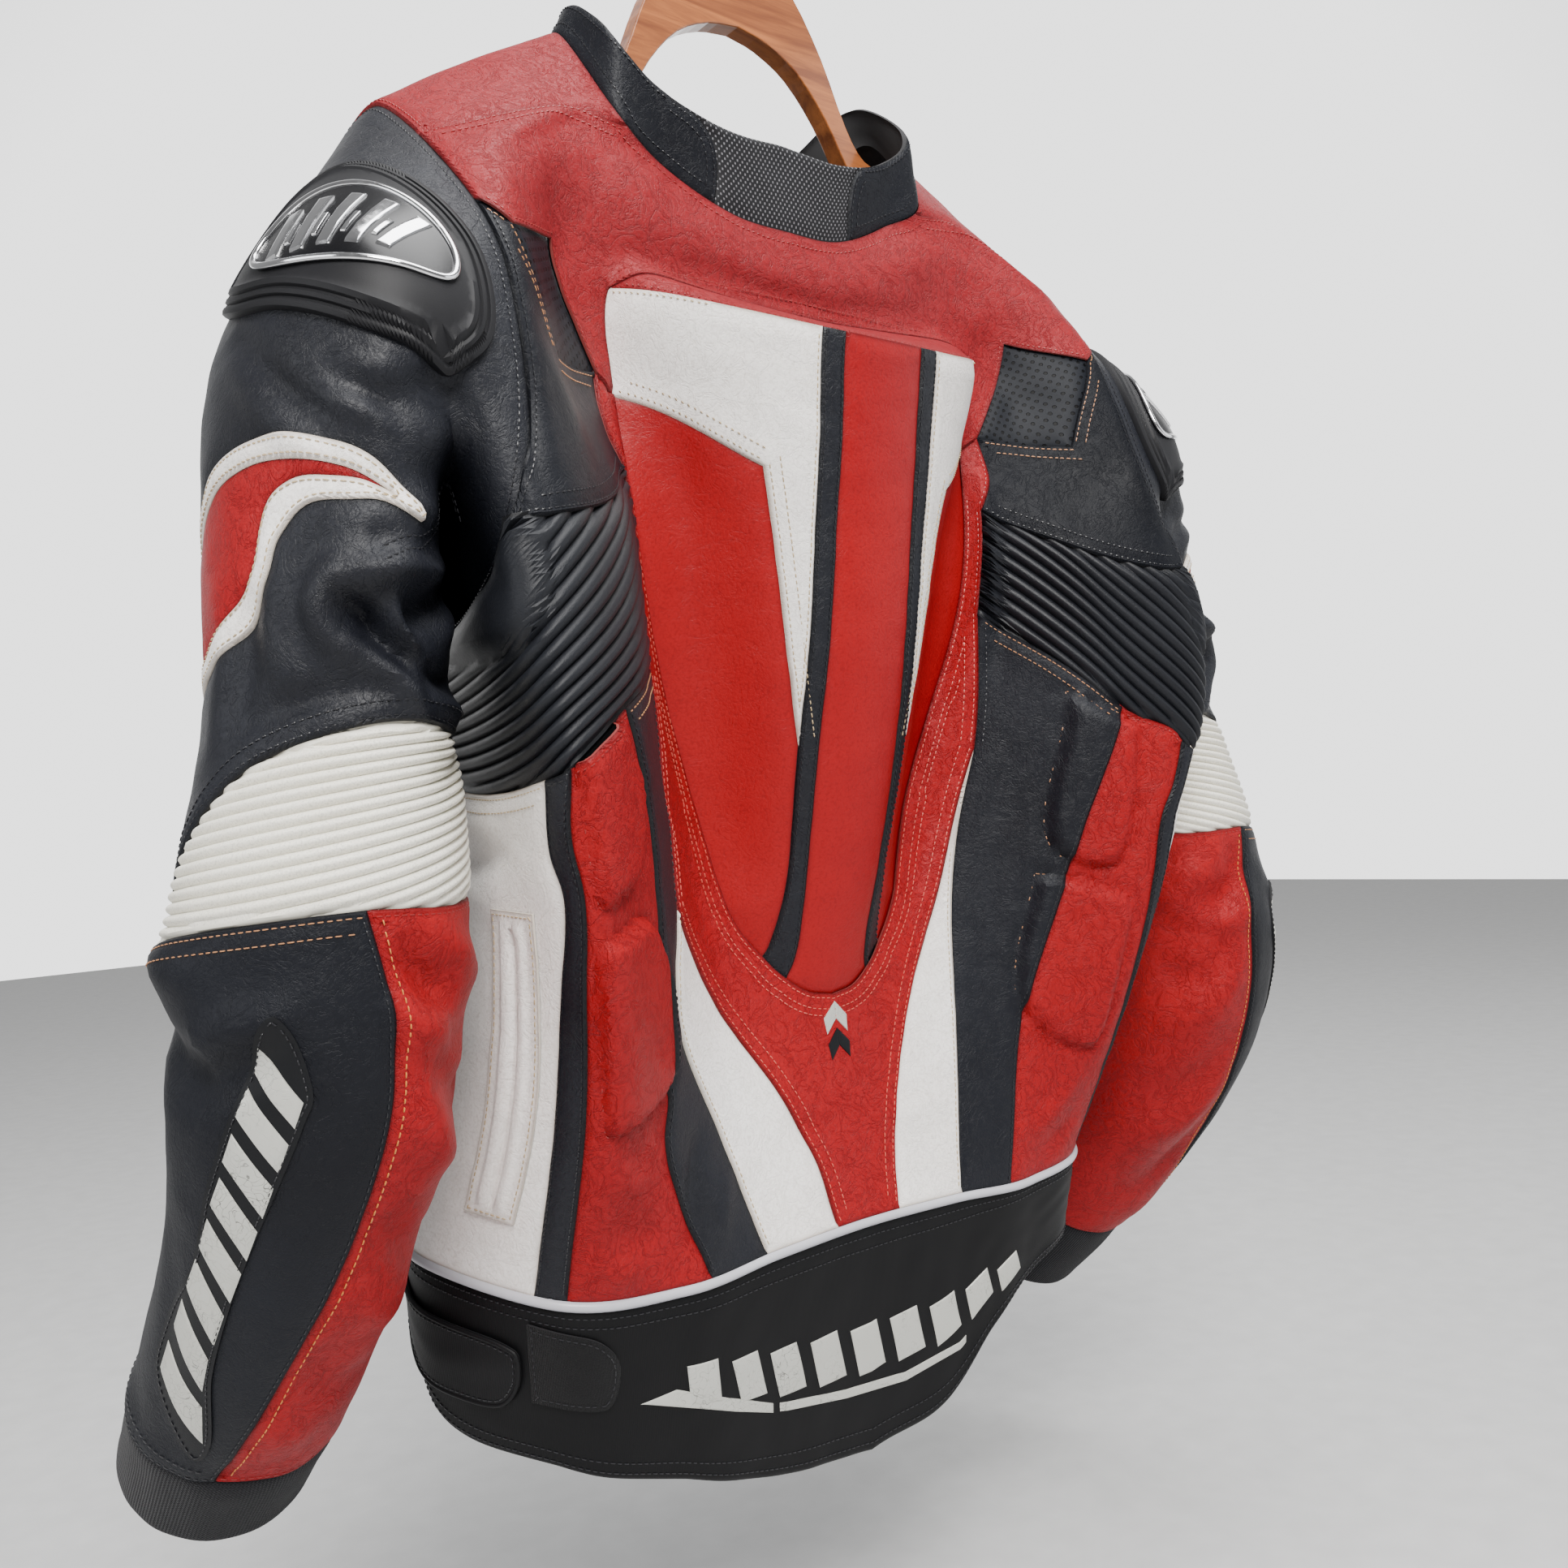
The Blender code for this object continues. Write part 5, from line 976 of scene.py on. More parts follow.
def lacquered_wood(name, light, dark):
    """Lacquered beech: growth rings and pores stretched along the arm, under a clear coat."""
    made, tree, shader = new_material(name, Roughness=.38, Coat_Weight=.6, Coat_Roughness=.12)
    where = add(tree, "TexCoord", out="Object")
    wide, fine = (add(tree, "Mapping", {"Vector": where, "Rotation": (0, .62, 0), "Scale": scale})
                  for scale in ((6., 60., 60.), (60., 900., 900.)))
    rings = add(tree, "TexNoise", {"Vector": wide, "Scale": 1.6, "Detail": 5., "Roughness": .6,
                                   "Distortion": .8})
    pores = add(tree, "TexNoise", {"Vector": fine, "Scale": 1., "Detail": 2.})
    late = add(tree, "ValToRGB", rings, stops=((.35, 0.), (.65, 1.)))
    pitted = add(tree, "ValToRGB", pores, stops=((.58, 0.), (.70, .5)))
    shade = add(tree, "MixRGB", late, srgb(light), srgb(dark))
    fill(tree, shader, dict(Base_Color=add(tree, "MixRGB", pitted, shade, srgb(dark)),
                            Normal=add(tree, "Bump", {"Height": pores, "Distance": .02 * MM})))
    return made


STRETCH = dict(pebble=.7, soft=.15)     # leather tucked into ribs is fine and smooth
MAT.update(
    ribbed=leather("ribbed black cowhide", "#111217", "#020203", "#191B20", .45, grain=.05, gloss=.24,
                   **STRETCH),
    cream_ribbed=leather("cream ribbed stretch leather", "#E8E4D6", "#4A4338", "#F1EEE3", .42, grain=.03,
                         **STRETCH),
    # the punched holes are not cut: each is painted near black for the shade inside it, and sunk by a bump
    perforated=patterned("perforated black leather", "#17191E", "#020203", 4.6, (.20, .24), .45, -.6,
                         gloss=.08),
    mesh=patterned("black spacer mesh", "#131316", "#6E6E72", 3.2, (.24, .36), .6, -.6, metric="MANHATTAN"),
    knit=woven("black ribbed knit", "#08080A", "#202024", 2.4, 1.1, .9, .5, fuzz=.5,
               Specular_IOR_Level=.1, Sheen_Weight=.1),
    textile=woven("black coated polyamide", "#070708", "#101012", .7, .7, .52, .06, Specular_IOR_Level=.16),
    strap=woven("black strap webbing", "#08080A", "#121214", .9, .9, .55, .08, Specular_IOR_Level=.2),
    loop=woven("black hook and loop pile", "#050506", "#121214", .5, .5, .95, .35, fuzz=1.2,
               Specular_IOR_Level=.1, Sheen_Weight=.1),
    tpu=plain("moulded charcoal polyurethane", "#131316", .55, size=.5, depth=.05, Specular_IOR_Level=.22),
    badge=plain("black badge enamel", "#0A0A0D", .25, size=.6, depth=.01, Specular_IOR_Level=.3),
    patch=plain("black patch leather", "#0E0F12", .5, size=.6, depth=.08, Specular_IOR_Level=.2),
    chrome=metal("polished chrome", "#E4E4E6", .10),
    film=film("cracked reflective film", "#B7B7B0", "#4A4A46"),
    piping=plain("reflective grey piping", "#BDBDC4", .34, size=.25),
    tape=woven("black zip tape", "#0B0B0D", "#1A1A1D", .8, 1.0, .7, .15, Specular_IOR_Level=.2),
    teeth=metal("dark nickel zip teeth", "#8B8B90", .26),
    nickel=metal("nickel zip metal", "#A9A9AE", .24),
    steel=metal("bright plated steel wire", "#CFCFD2", .16),
    wood=lacquered_wood("lacquered beech", "#A8622F", "#713A18"),
)
print(len(MAT), "finishes")

# %% [markdown]
# ## The trunk's panels
# The cutter's drawing of the jacket is the list of seams below: knots in the chart, left and right a little
# apart, as a worn jacket hangs. A panel is then only the order in which seams close it. Which panel lies on
# top at each seam, and whether its edge is turned or left raw, comes from one more table.

# %% Seams of the trunk
RIB_BACK = {1: 125, -1: 120}        # angle where the accordion's upper seam meets each armhole
LOOP_KNOTS = (27, 50, 75, 100, None, 145, 172, 180, 200, 223, 246, 270, 296, 320, 344, 387)
NECK = [(0, 1), (.165, 1), (.360, 1), (.500, 1), (.740, 1)]
INSERT_TOP = [.195, .120, .049, .033, .000]


def trunk_seams(side):
    """Knots of every seam of one half, u positive."""
    def pick(left, right):
        return left if side > 0 else right

    def at(angle):
        return tuple(armhole(angle))

    in_high, out_high, out_low, in_low = (.300, .845), (.375, .800), (.315, .725), (.215, .755)
    rib_high, rib_low, rib_back = (.190, .680), (.178, pick(.530, .585)), at(RIB_BACK[side])
    tip, kidney = pick((.205, .320), (.178, .455)), pick((.285, .490), (.280, .490))
    red, thin, side_top = pick((.375, .432), (.345, .445)), pick((.410, .420), (.372, .432)), (.560, .410)
    low, mid, top = zip_edge_u(0), zip_edge_u(.66), zip_edge_u(1)
    return dict(
        neck=NECK + [(top, 1)],
        shoulder=[(.36, 1), (.385, .93), at(27)],
        insert_edge=INSERT_EDGE,
        shelf_top=[(.195, .845), (.16, .866), (.08, .880), (0, SHELF_TOP)],
        yoke_frame=[(.180, .745), in_low],
        vent_inner=[in_low, (.262, .798), in_high],
        vent_top=[in_high, out_high],
        vent_outer=[out_high, (.342, .760), out_low],
        vent_low=[out_low, in_low],
        strap=[out_high, at(50)],
        frame_high=[in_low, (.212, .715), rib_high],
        rib_top=[rib_high, (.260, .645), (.335, .612), rib_back],
        rib_inner=[rib_high, (.182, .620), rib_low],
        rib_low=[rib_low, pick((.232, .515), (.225, .545)), kidney, (.330, .460), red, thin, (.470, .405),
                 side_top],
        underarm_side=[at(200), side_top],
        frame_low=[rib_low, pick((.180, .460), (.178, .520)), tip],
        stripe_inner=[tip] + pick([(.155, .225), (.095, .140), (.060, .070), (.045, 0)],
                                  [(.155, .300), (.098, .170), (.060, .075), (.045, 0)]),
        stripe_outer=[tip] + pick([(.232, .225), (.190, .120), (.150, 0)],
                                  [(.168, .300), (.162, .140), (.142, 0)]),
        kidney=[kidney] + pick([(.262, .410), (.258, .310), (.262, .170), (.275, .110), (.235, 0)],
                               [(.265, .360), (.254, .260), (.240, .160), (.236, .060), (.230, 0)]),
        red_edge=[red] + pick([(.395, .380), (.390, .330), (.402, .250), (.402, .150), (.388, 0)],
                              [(.350, .400), (.346, .350), (.370, .240), (.385, .120), (.385, 0)]),
        thin_edge=[thin] + pick([(.420, .370), (.412, .330), (.424, .250), (.426, .150), (.414, 0)],
                                [(.376, .400), (.372, .350), (.396, .240), (.410, .120), (.410, 0)]),
        side_seam=[side_top, (.560, .200), (.560, 0)],
        front_split=[at(270), (.800, .672), (mid, .660)],
        zip_edge=[(low, 0), (zip_edge_u(.36), .36), (mid, .660), (zip_edge_u(.85), .85), (top, 1)],
        hem=[(0, 0), (.045, 0), pick((.150, 0), (.142, 0)), pick((.235, 0), (.230, 0)),
             pick((.388, 0), (.385, 0)), pick((.414, 0), (.410, 0)), (.560, 0), (.780, 0), (low, 0)],
    )


def top_runs():
    """The top edge of the hump's insert, one run between two of its knots."""
    runs = curve([(u, insert_top(u)) for u in INSERT_TOP], trunk, EDGE_STEP)
    return [np.stack([run[:, 0], insert_top(run[:, 0])], -1) for run in runs]


SEAMS = {}
for name, side in SIDES.items():
    SEAMS[name] = {key: curve(knots, trunk, EDGE_STEP) for key, knots in trunk_seams(side).items()}
    knots = [RIB_BACK[side] if k is None else k for k in LOOP_KNOTS]
    SEAMS[name]["loop"] = [armhole(np.linspace(a, b, int((b - a) / 1.6) + 2))
                           for a, b in zip(knots[:-1], knots[1:])]
    SEAMS[name]["insert_top"] = top_runs()
print(len(SEAMS["left"]), "seams a side")

# %% Which edge lies on top
ON_TOP = {
    # seam: {panel on top: kind of its edge}
    "neck": {}, "shoulder": {"back_yoke": "fold"}, "shelf_top": {"back_yoke": "fold"},
    "insert_edge": {"back_frame": "raw", "back_yoke": "raw"}, "insert_top": {"hump_red_centre": "fold"},
    "yoke_frame": {"back_yoke": "fold"}, "vent_inner": {"back_yoke": "raw"}, "vent_top": {"back_yoke": "raw"},
    "vent_outer": {"shoulder_back": "fold"}, "vent_low": {"shoulder_back": "fold"},
    "strap": {"back_yoke": "raw"}, "frame_high": {"back_frame": "fold"},
    "rib_inner": {"back_frame": "fold"}, "rib_top": {"shoulder_back": "fold"},
    "rib_low": {"back_black": "fold", "side_red": "fold", "side_stripe": "fold", "side_white": "fold"},
    "frame_low": {"back_frame": "fold"}, "stripe_inner": {"back_frame": "fold"},
    "stripe_outer": {"white_stripe": "fold"}, "kidney": {"back_black": "fold"},
    "red_edge": {"side_stripe": "fold"}, "thin_edge": {"side_stripe": "fold"},
    "side_seam": {"front": "fold"}, "front_split": {"front_yoke": "fold"},
    "zip_edge": {"front": "fold", "front_yoke": "fold"},
    "loop": {k: "fold" for k in ("back_yoke", "shoulder_back", "front", "front_yoke")}, "hem": {},
}


def runs_of(piece, side, *steps):
    """The stretches of seam that close a panel, (points, kind, seam), from (seam, first, last knot)."""
    out = []
    for key, first, last in steps:
        points = stretch(SEAMS[side][key], first, len(SEAMS[side][key]) if last is None else last)
        below = "under" if ON_TOP.get(key) else "plain"
        out.append((points, "rib" if piece == "accordion" else ON_TOP.get(key, {}).get(piece, below), key))
    return out


END = None
HALF_PANELS = {
    # panel: (leather, the stretches of seam round it)
    "vent": ("perforated", ("vent_inner", 0, END), ("vent_top", 0, END), ("vent_outer", 0, END),
             ("vent_low", 0, END)),
    "shoulder_back": ("black", ("strap", 0, END), ("loop", 1, 4), ("rib_top", 3, 0), ("frame_high", 2, 0),
                      ("vent_low", 1, 0), ("vent_outer", 2, 0)),
    "white_stripe": ("white", ("stripe_inner", 0, END), ("hem", 1, 2), ("stripe_outer", 3, 0)),
    "back_black": ("black", ("rib_low", 0, 2), ("kidney", 0, END), ("hem", 3, 2), ("stripe_outer", 3, 0),
                   ("frame_low", 2, 0)),
    "side_red": ("red", ("rib_low", 2, 4), ("red_edge", 0, END), ("hem", 4, 3), ("kidney", 5, 0)),
    "side_stripe": ("black", ("rib_low", 4, 5), ("thin_edge", 0, END), ("hem", 5, 4), ("red_edge", 5, 0)),
    "side_white": ("white", ("rib_low", 5, 7), ("side_seam", 0, END), ("hem", 6, 5), ("thin_edge", 5, 0)),
    "front": ("black", ("loop", 8, 11), ("front_split", 0, END), ("zip_edge", 2, 0), ("hem", 8, 6),
              ("side_seam", 2, 0), ("underarm_side", 1, 0)),
    "front_yoke": ("red", ("shoulder", 0, END), ("loop", 15, 11), ("front_split", 0, END), ("zip_edge", 2, 4),
                   ("neck", 5, 2)),
    "accordion": ("ribbed", ("rib_top", 0, END), ("loop", 4, 8), ("underarm_side", 0, END), ("rib_low", 7, 0),
                  ("rib_inner", 2, 0)),
}
CENTRE_PANELS = {
    "back_yoke": (("neck", 0, 2), ("shoulder", 0, END), ("loop", 0, 1), ("strap", 1, 0), ("vent_top", 1, 0),
                  ("vent_inner", 2, 0), ("yoke_frame", 1, 0), ("insert_edge", 8, 9), ("shelf_top", 0, END)),
    "back_frame": (("insert_edge", 0, 8), ("yoke_frame", 0, END), ("frame_high", 0, END),
                   ("rib_inner", 0, END), ("frame_low", 0, END), ("stripe_inner", 0, END), ("hem", 1, 0)),
    "hump_shelf": (("insert_top", 4, 0), ("shelf_top", 0, END)),
}


print(len(HALF_PANELS), "panels a side and", len(CENTRE_PANELS), "across the back")

# %% Build the trunk's plain panels
for side, sign in SIDES.items():
    for piece, (hide, *steps) in HALF_PANELS.items():
        if piece != "accordion":
            panel(f"{piece}_{side}", hide, "trunk", runs_of(piece, side, *steps), sign,
                  step=.0052 if piece.startswith("front") else STEP)
for piece, steps in CENTRE_PANELS.items():
    panel(piece, "red", "trunk", runs_of(piece, "left", *steps) + mirrored(runs_of(piece, "right", *steps)))
print(len(PIECES), "panels,", sum(len(p.data.polygons) for p in PIECES.values()), "triangles")

# %% [markdown]
# ## The stretch panels
# Ribs let a tight jacket bend. A maker sews thin cord-like tucks, about 7 mm apart on the back and 5 mm at
# the elbow, into the hide. Each rib is a half wave here. The back's ribs are drawn as lines that follow the
# lower seam and drift towards the arm, so the net is laid out along them, and the elbow's ribs run round the
# arm.

# %% Lines of the accordion's ribs
RIB_PITCH, RIB_ROWS, RIB_STRETCH = .0068, 8, 5.0    # the net's plane is stretched across the ribs
RIB_POWERS = [(i, j) for i in range(5) for j in range(5 - i) if i + j]
RIB_PHASE = {
    # metres across the ribs, as a polynomial of x = 4 (u - .35) and y = 4 (v - .55)
    "left": (.1144, -.0646, .0756, .1881, .0971, -.0067, -.0022, -.0136, -.0009, .0053, -.0889, -.0385, .0442,
             .0113),
    "right": (.1055, -.0218, .0153, -.0137, .1151, .0056, -.0163, .0345, -.0499, .0367, .0253, -.0303, -.0157,
              .0222),
}
RIB_REACH = np.array([(.12, .515, .725), (.178, .505, .710), (.232, .490, .680), (.285, .465, .655),
                      (.335, .435, .635), (.375, .405, .620), (.410, .395, .605), (.470, .380, .585),
                      (.600, .375, .560)])      # u, and the v between which the panel lies


def rib_distance(u, v, side):
    """Distance across the ribs in metres, of points with u counted away from the spine."""
    x, y = 4 * (u - .35), 4 * (v - .55)
    return sum(c * x ** i * y ** j for c, (i, j) in zip(RIB_PHASE[side], RIB_POWERS))


def rib_wave(distance, pitch, height):
    """Half waves with sharp valleys: |sin| to a low power."""
    return height * (np.abs(np.sin(np.pi * distance / pitch)) ** .75 - .35)


# %% Accordion panels
ARM_FOLD = [(.430, .740), (.394, .631), (.376, .588), (.368, .571), (.366, .556), (.373, .539), (.390, .519),
            (.425, .505), (.454, .498), (.492, .494), (.580, .489)]


def rib_net(side):
    """(to the plane, to the chart): plane x is u, plane y the distance across the ribs."""
    sign, wide = SIDES[side], FORMS["trunk"][2][0]

    def plane(c):
        u, v = c[:, 0] * sign, c[:, 1]
        return np.stack([u * wide, rib_distance(u, v, side) * RIB_STRETCH], -1)

    def chart(p):
        u, aim = p[:, 0] / wide, p[:, 1] / RIB_STRETCH
        low, high = (np.interp(u, RIB_REACH[:, 0], RIB_REACH[:, n]) for n in (1, 2))
        for _ in range(30):
            v = (low + high) / 2
            over = rib_distance(u, v, side) > aim
            low, high = np.where(over, low, v), np.where(over, v, high)
        return np.stack([u * sign, v], -1)

    return plane, chart


def rib_relief(c, side):
    """Ribs that die away where the sleeve's fold lies over them, and the folds of the trunk."""
    u, scale = np.abs(c[:, 0]), np.array(FORMS["trunk"][2])
    line, at = stretch(curve(ARM_FOLD, trunk, .006)), np.stack([u, c[:, 1]], -1)
    gap, _ = nearest(at * scale, line * scale)
    gap = np.where(inside(at, np.concatenate([line, [(.9, .489), (.9, .8), (.5, .8)]])), -gap, gap)
    shown, over = np.clip(gap / .004, 0, 1), np.sin(np.pi / 2 * np.clip(-gap / .009, 0, 1)) * .0065
    return fold_height(c, "trunk") + rib_wave(rib_distance(u, c[:, 1], side), RIB_PITCH, .0032) * shown + over


row = RIB_PITCH / RIB_ROWS * RIB_STRETCH
for side, sign in SIDES.items():
    parts = runs_of("accordion", side, *HALF_PANELS["accordion"][1:])
    panel(f"accordion_{side}", "ribbed", "trunk", parts, sign, warp=rib_net(side),
          relief=lambda c, s=side: rib_relief(c, s), ribs=(row * .95, row), rows=ROWS[:2])
print("ribs in each accordion, %.0f mm apart" % (RIB_PITCH * 1000))

# %% The hump's insert: seven fields of flat leather under the frame's raw edge
# share of the insert's half width, v
BLACK_OUTER = [(.25, .840), (.27, .610), (.36, .450), (.47, .340), (.78, .275), (1.0, .258)]
BLACK_INNER = [(.17, .840), (.18, .610), (.24, .460), (.32, .350), (.56, .262), (1.0, .234)]
WHITE_INNER = [(.47, .700), (.42, .570), (.36, .450)]


def field_line(rows, start=(), end=()):
    """A seam between two fields, from shares of the insert's half width; its ends may be given."""
    knots = [(share * insert_half_width(v), v) for share, v in rows]
    return curve([*start, *knots[len(start):len(knots) - len(end)], *end], trunk, EDGE_STEP)


edge, top = curve(INSERT_EDGE, trunk, EDGE_STEP), top_runs()
outer, inner = (field_line(rows, [(u, insert_top(u))], [INSERT_EDGE[n]])
                for rows, u, n in ((BLACK_OUTER, INSERT_TOP[2], 3), (BLACK_INNER, INSERT_TOP[3], 2)))
white_in = field_line(WHITE_INNER)
white_low = curve([INSERT_EDGE[8], white_in[0][0]], trunk, EDGE_STEP)
FIELDS = {
    "white": [(stretch(top, 0, 2), "fold", "top"), (stretch(outer, 0, 2), "fold", "outer"),
              (back(white_in), "fold", "white_in"), (back(white_low), "fold", "white_low"),
              (stretch(edge, 8, 9), "under", "edge")],
    "red": [(stretch(white_low), "under", "white_low"), (stretch(white_in), "under", "white_in"),
            (stretch(outer, 2, 5), "under", "outer"), (stretch(edge, 3, 8), "under", "edge")],
    "black": [(stretch(top, 2, 3), "fold", "top"), (stretch(inner), "fold", "inner"),
              (stretch(edge, 2, 3), "under", "edge"), (back(outer), "plain", "outer")],
}
centre = [(stretch(top, 4, 3), "fold", "top"), (stretch(inner), "under", "inner"),
          (stretch(edge, 2, 0), "under", "edge")]
for side, sign in SIDES.items():
    for field, parts in FIELDS.items():
        panel(f"hump_{field}_{side}", "red_smooth" if field == "red" else field, "trunk", parts, sign)
panel("hump_red_centre", "red_smooth", "trunk", centre + mirrored(centre))
print("insert fields laid")

# %% [markdown]
# ## Sleeves
# A race sleeve is cut pre-bent for the riding crouch, so its line is a bent row of ellipses and not a tube.
# It has a black upper sleeve with a flame-shaped inlay, ribs over the elbow, a black outer forearm, a red
# inner one and a knitted cuff. The inlay is a cut-out in the upper sleeve, with a white border sewn round a
# red middle.

# %% Seams of a sleeve
UNDERARM = .4985
SWOOSH = [(-.200, .372), (-.110, .345), (-.020, .316), (.070, .301), (.150, .288), (.230, .272), (.284, .276),
          (.286, .293), (.240, .302), (.195, .319), (.140, .336), (.110, .360), (.098, .388), (.070, .416),
          (.000, .442), (-.090, .458), (-.190, .462), (-.235, .415)]
SWOOSH_RED = [(-.190, .384), (-.110, .360), (-.020, .332), (.070, .316), (.140, .306), (.205, .294),
              (.250, .289), (.215, .297), (.170, .310), (.120, .323), (.088, .343), (.076, .378),
              (.050, .402), (-.010, .426), (-.090, .444), (-.180, .448), (-.215, .415)]
RIB_TIP, RIB_HIGH, RIB_LOW = (-.100, .640), (UNDERARM, .475), (UNDERARM, .600)
SPLIT_TOP, SPLIT_END = (.230, .592), (.168, .940)
SLEEVE_SEAMS = dict(
    rib_top=[RIB_TIP, (-.050, .580), (.050, .520), (.150, .490), (.270, .470), (.390, .470), RIB_HIGH],
    rib_low=[RIB_TIP, (.0, .616), (.110, .600), SPLIT_TOP, (.360, .597), RIB_LOW],
    front_seam=[(-UNDERARM, .600), (-.300, .622), RIB_TIP],
    split=[SPLIT_TOP, (.258, .640), (.266, .690), (.258, .740), (.240, .800), (.205, .870), SPLIT_END],
    cuff=[(-UNDERARM, .940), (-.250, .940), (0, .940), SPLIT_END, (.300, .940), (UNDERARM, .940)],
    edge_high=[(UNDERARM, 0), (UNDERARM, .25), RIB_HIGH], edge_ribs=[RIB_HIGH, RIB_LOW],
    edge_low=[RIB_LOW, (UNDERARM, .80), (UNDERARM, .940)], edge_cuff=[(UNDERARM, .940), (UNDERARM, 1)],
    front_high=[(-UNDERARM, 0), (-UNDERARM, .30), (-UNDERARM, .600)],
    front_low=[(-UNDERARM, .600), (-UNDERARM, .80), (-UNDERARM, .940)],
    front_cuff=[(-UNDERARM, .940), (-UNDERARM, 1)],
    wrist=[(-UNDERARM, 1), (-.25, 1), (0, 1), (.25, 1), (UNDERARM, 1)],
    armhole=[(-UNDERARM, 0), (-.25, 0), (0, 0), (.25, 0), (UNDERARM, 0)],
)
SLEEVE_PANELS = {
    # panel: (leather, [(seam, first knot, last knot, kind of edge)])
    "upper_sleeve": ("black", [("armhole", 0, END, "under"), ("edge_high", 0, END, "plain"),
                               ("rib_top", 6, 0, "fold"), ("front_seam", 2, 0, "plain"),
                               ("front_high", 2, 0, "plain")]),
    "elbow_ribs": ("cream_ribbed", [("rib_top", 0, END, "rib"), ("edge_ribs", 0, END, "plain"),
                                    ("rib_low", 5, 0, "rib")]),
    "forearm_black": ("black", [("front_seam", 0, END, "plain"), ("rib_low", 0, 3, "fold"),
                                ("split", 0, END, "fold"), ("cuff", 3, 0, "fold"),
                                ("front_low", 2, 0, "plain")]),
    "forearm_red": ("red", [("rib_low", 3, 5, "fold"), ("edge_low", 0, END, "plain"), ("cuff", 5, 3, "fold"),
                            ("split", 6, 0, "under")]),
    "cuff": ("knit", [("cuff", 0, END, "under"), ("edge_cuff", 0, END, "plain"), ("wrist", 4, 0, "plain"),
                      ("front_cuff", 1, 0, "plain")]),
}
ELBOW_PITCH, ELBOW_LEAN = .0078, .13        # of t, 5.1 mm; how the ribs rise towards the back
ROUND, LONG = .42, .66                      # metres of cloth to one w and to one t at the elbow


def elbow_rows(c):
    """The t that a point would have if the elbow's ribs ran level."""
    return c[:, 1] + ELBOW_LEAN * c[:, 0]


def elbow_plane(c):
    """The elbow's plane, stretched across its ribs as on the back."""
    return np.stack([c[:, 0] * ROUND, elbow_rows(c) * LONG * RIB_STRETCH], -1)


def elbow_chart(p):
    """The way back from the elbow's plane to the sleeve's chart."""
    w = p[:, 0] / ROUND
    return np.stack([w, p[:, 1] / (LONG * RIB_STRETCH) - ELBOW_LEAN * w], -1)


def armpit(c):
    """Painted shade and less sheen in the armpit, where the arm lies against the back and takes no light."""
    return np.clip((c[:, 0] - .32) / .07, 0, 1) * np.clip((.36 - c[:, 1]) / .10, 0, 1)


# %% Build both sleeves
for side in SIDES:
    form = f"sleeve_{side}"
    surface = FORMS[form][0]
    runs = {key: curve(knots, surface, EDGE_STEP) for key, knots in SLEEVE_SEAMS.items()}
    border, inlay = (stretch(curve(loop + loop[:1], surface, EDGE_STEP))[:-1]
                     for loop in (SWOOSH, SWOOSH_RED))
    special = dict(
        upper_sleeve=dict(holes=[(border, "under")], step=.0036, dull=armpit), cuff=dict(thickness=.0022),
        elbow_ribs=dict(warp=(elbow_plane, elbow_chart), rows=ROWS[:2],
                        ribs=(.0040, ELBOW_PITCH / RIB_ROWS * LONG * RIB_STRETCH),
                        relief=lambda c, f=form: fold_height(c, f) + rib_wave(elbow_rows(c), ELBOW_PITCH, .0026)))
    for piece, (hide, steps) in SLEEVE_PANELS.items():
        parts = [(stretch(runs[key], first, last), kind, key) for key, first, last, kind in steps]
        panel(f"{piece}_{side}", hide, form, parts, **special.get(piece, {}))
    panel(f"swoosh_border_{side}", "white", form, [(border, "fold", "")], holes=[(inlay, "fold")])
    panel(f"swoosh_{side}", "red", form, [(inlay, "under", "")])
print(len(PIECES), "panels with both sleeves")

# %% [markdown]
# ## Collar, waist belt and straps
# The stand collar is two thick black bands with a soft mesh at the nape, so that a helmet doesn't rub. The
# waist belt is coated textile that deepens into a tail over the hips, with a hook-and-loop strap at each
# side.

# %% Collar
SPLIT = {"left": [(.165, 0), (.156, .45), (.166, .80), (.198, .965), (.250, 1)],
         "right": [(.165, 0), (.161, .50), (.170, .85), (.190, 1)]}
BAND = .0028        # a padded band is thicker than plain leather
front = zip_edge_u(1)
seam = [run - [0, 1] for run in curve(NECK + [(front, 1)], trunk, EDGE_STEP)]
halves = {}
for side, sign in SIDES.items():
    split, end = curve(SPLIT[side], collar, EDGE_STEP), SPLIT[side][-1][0]
    edge, top, nape = (stretch(curve(knots, collar, EDGE_STEP)) for knots in (
        [(front, 0), (front, 1)], [(front, 1), (.74, 1), (.5, 1), (.36, 1), (end, 1)], [(end, 1), (0, 1)]))
    panel(f"collar_{side}", "black", "collar", [
        (stretch(seam, 1, 5), "plain", "foot"), (edge, "plain", "front"), (top, "plain", "top"),
        (back(split), "fold", "split")], sign, thickness=BAND)
    halves[side] = [(stretch(seam, 0, 1), "under", "foot"), (stretch(split), "under", "split"),
                    (nape, "plain", "top")]
panel("collar_mesh", "mesh", "collar", halves["left"] + mirrored(halves["right"]), thickness=BAND)
print("collar up")

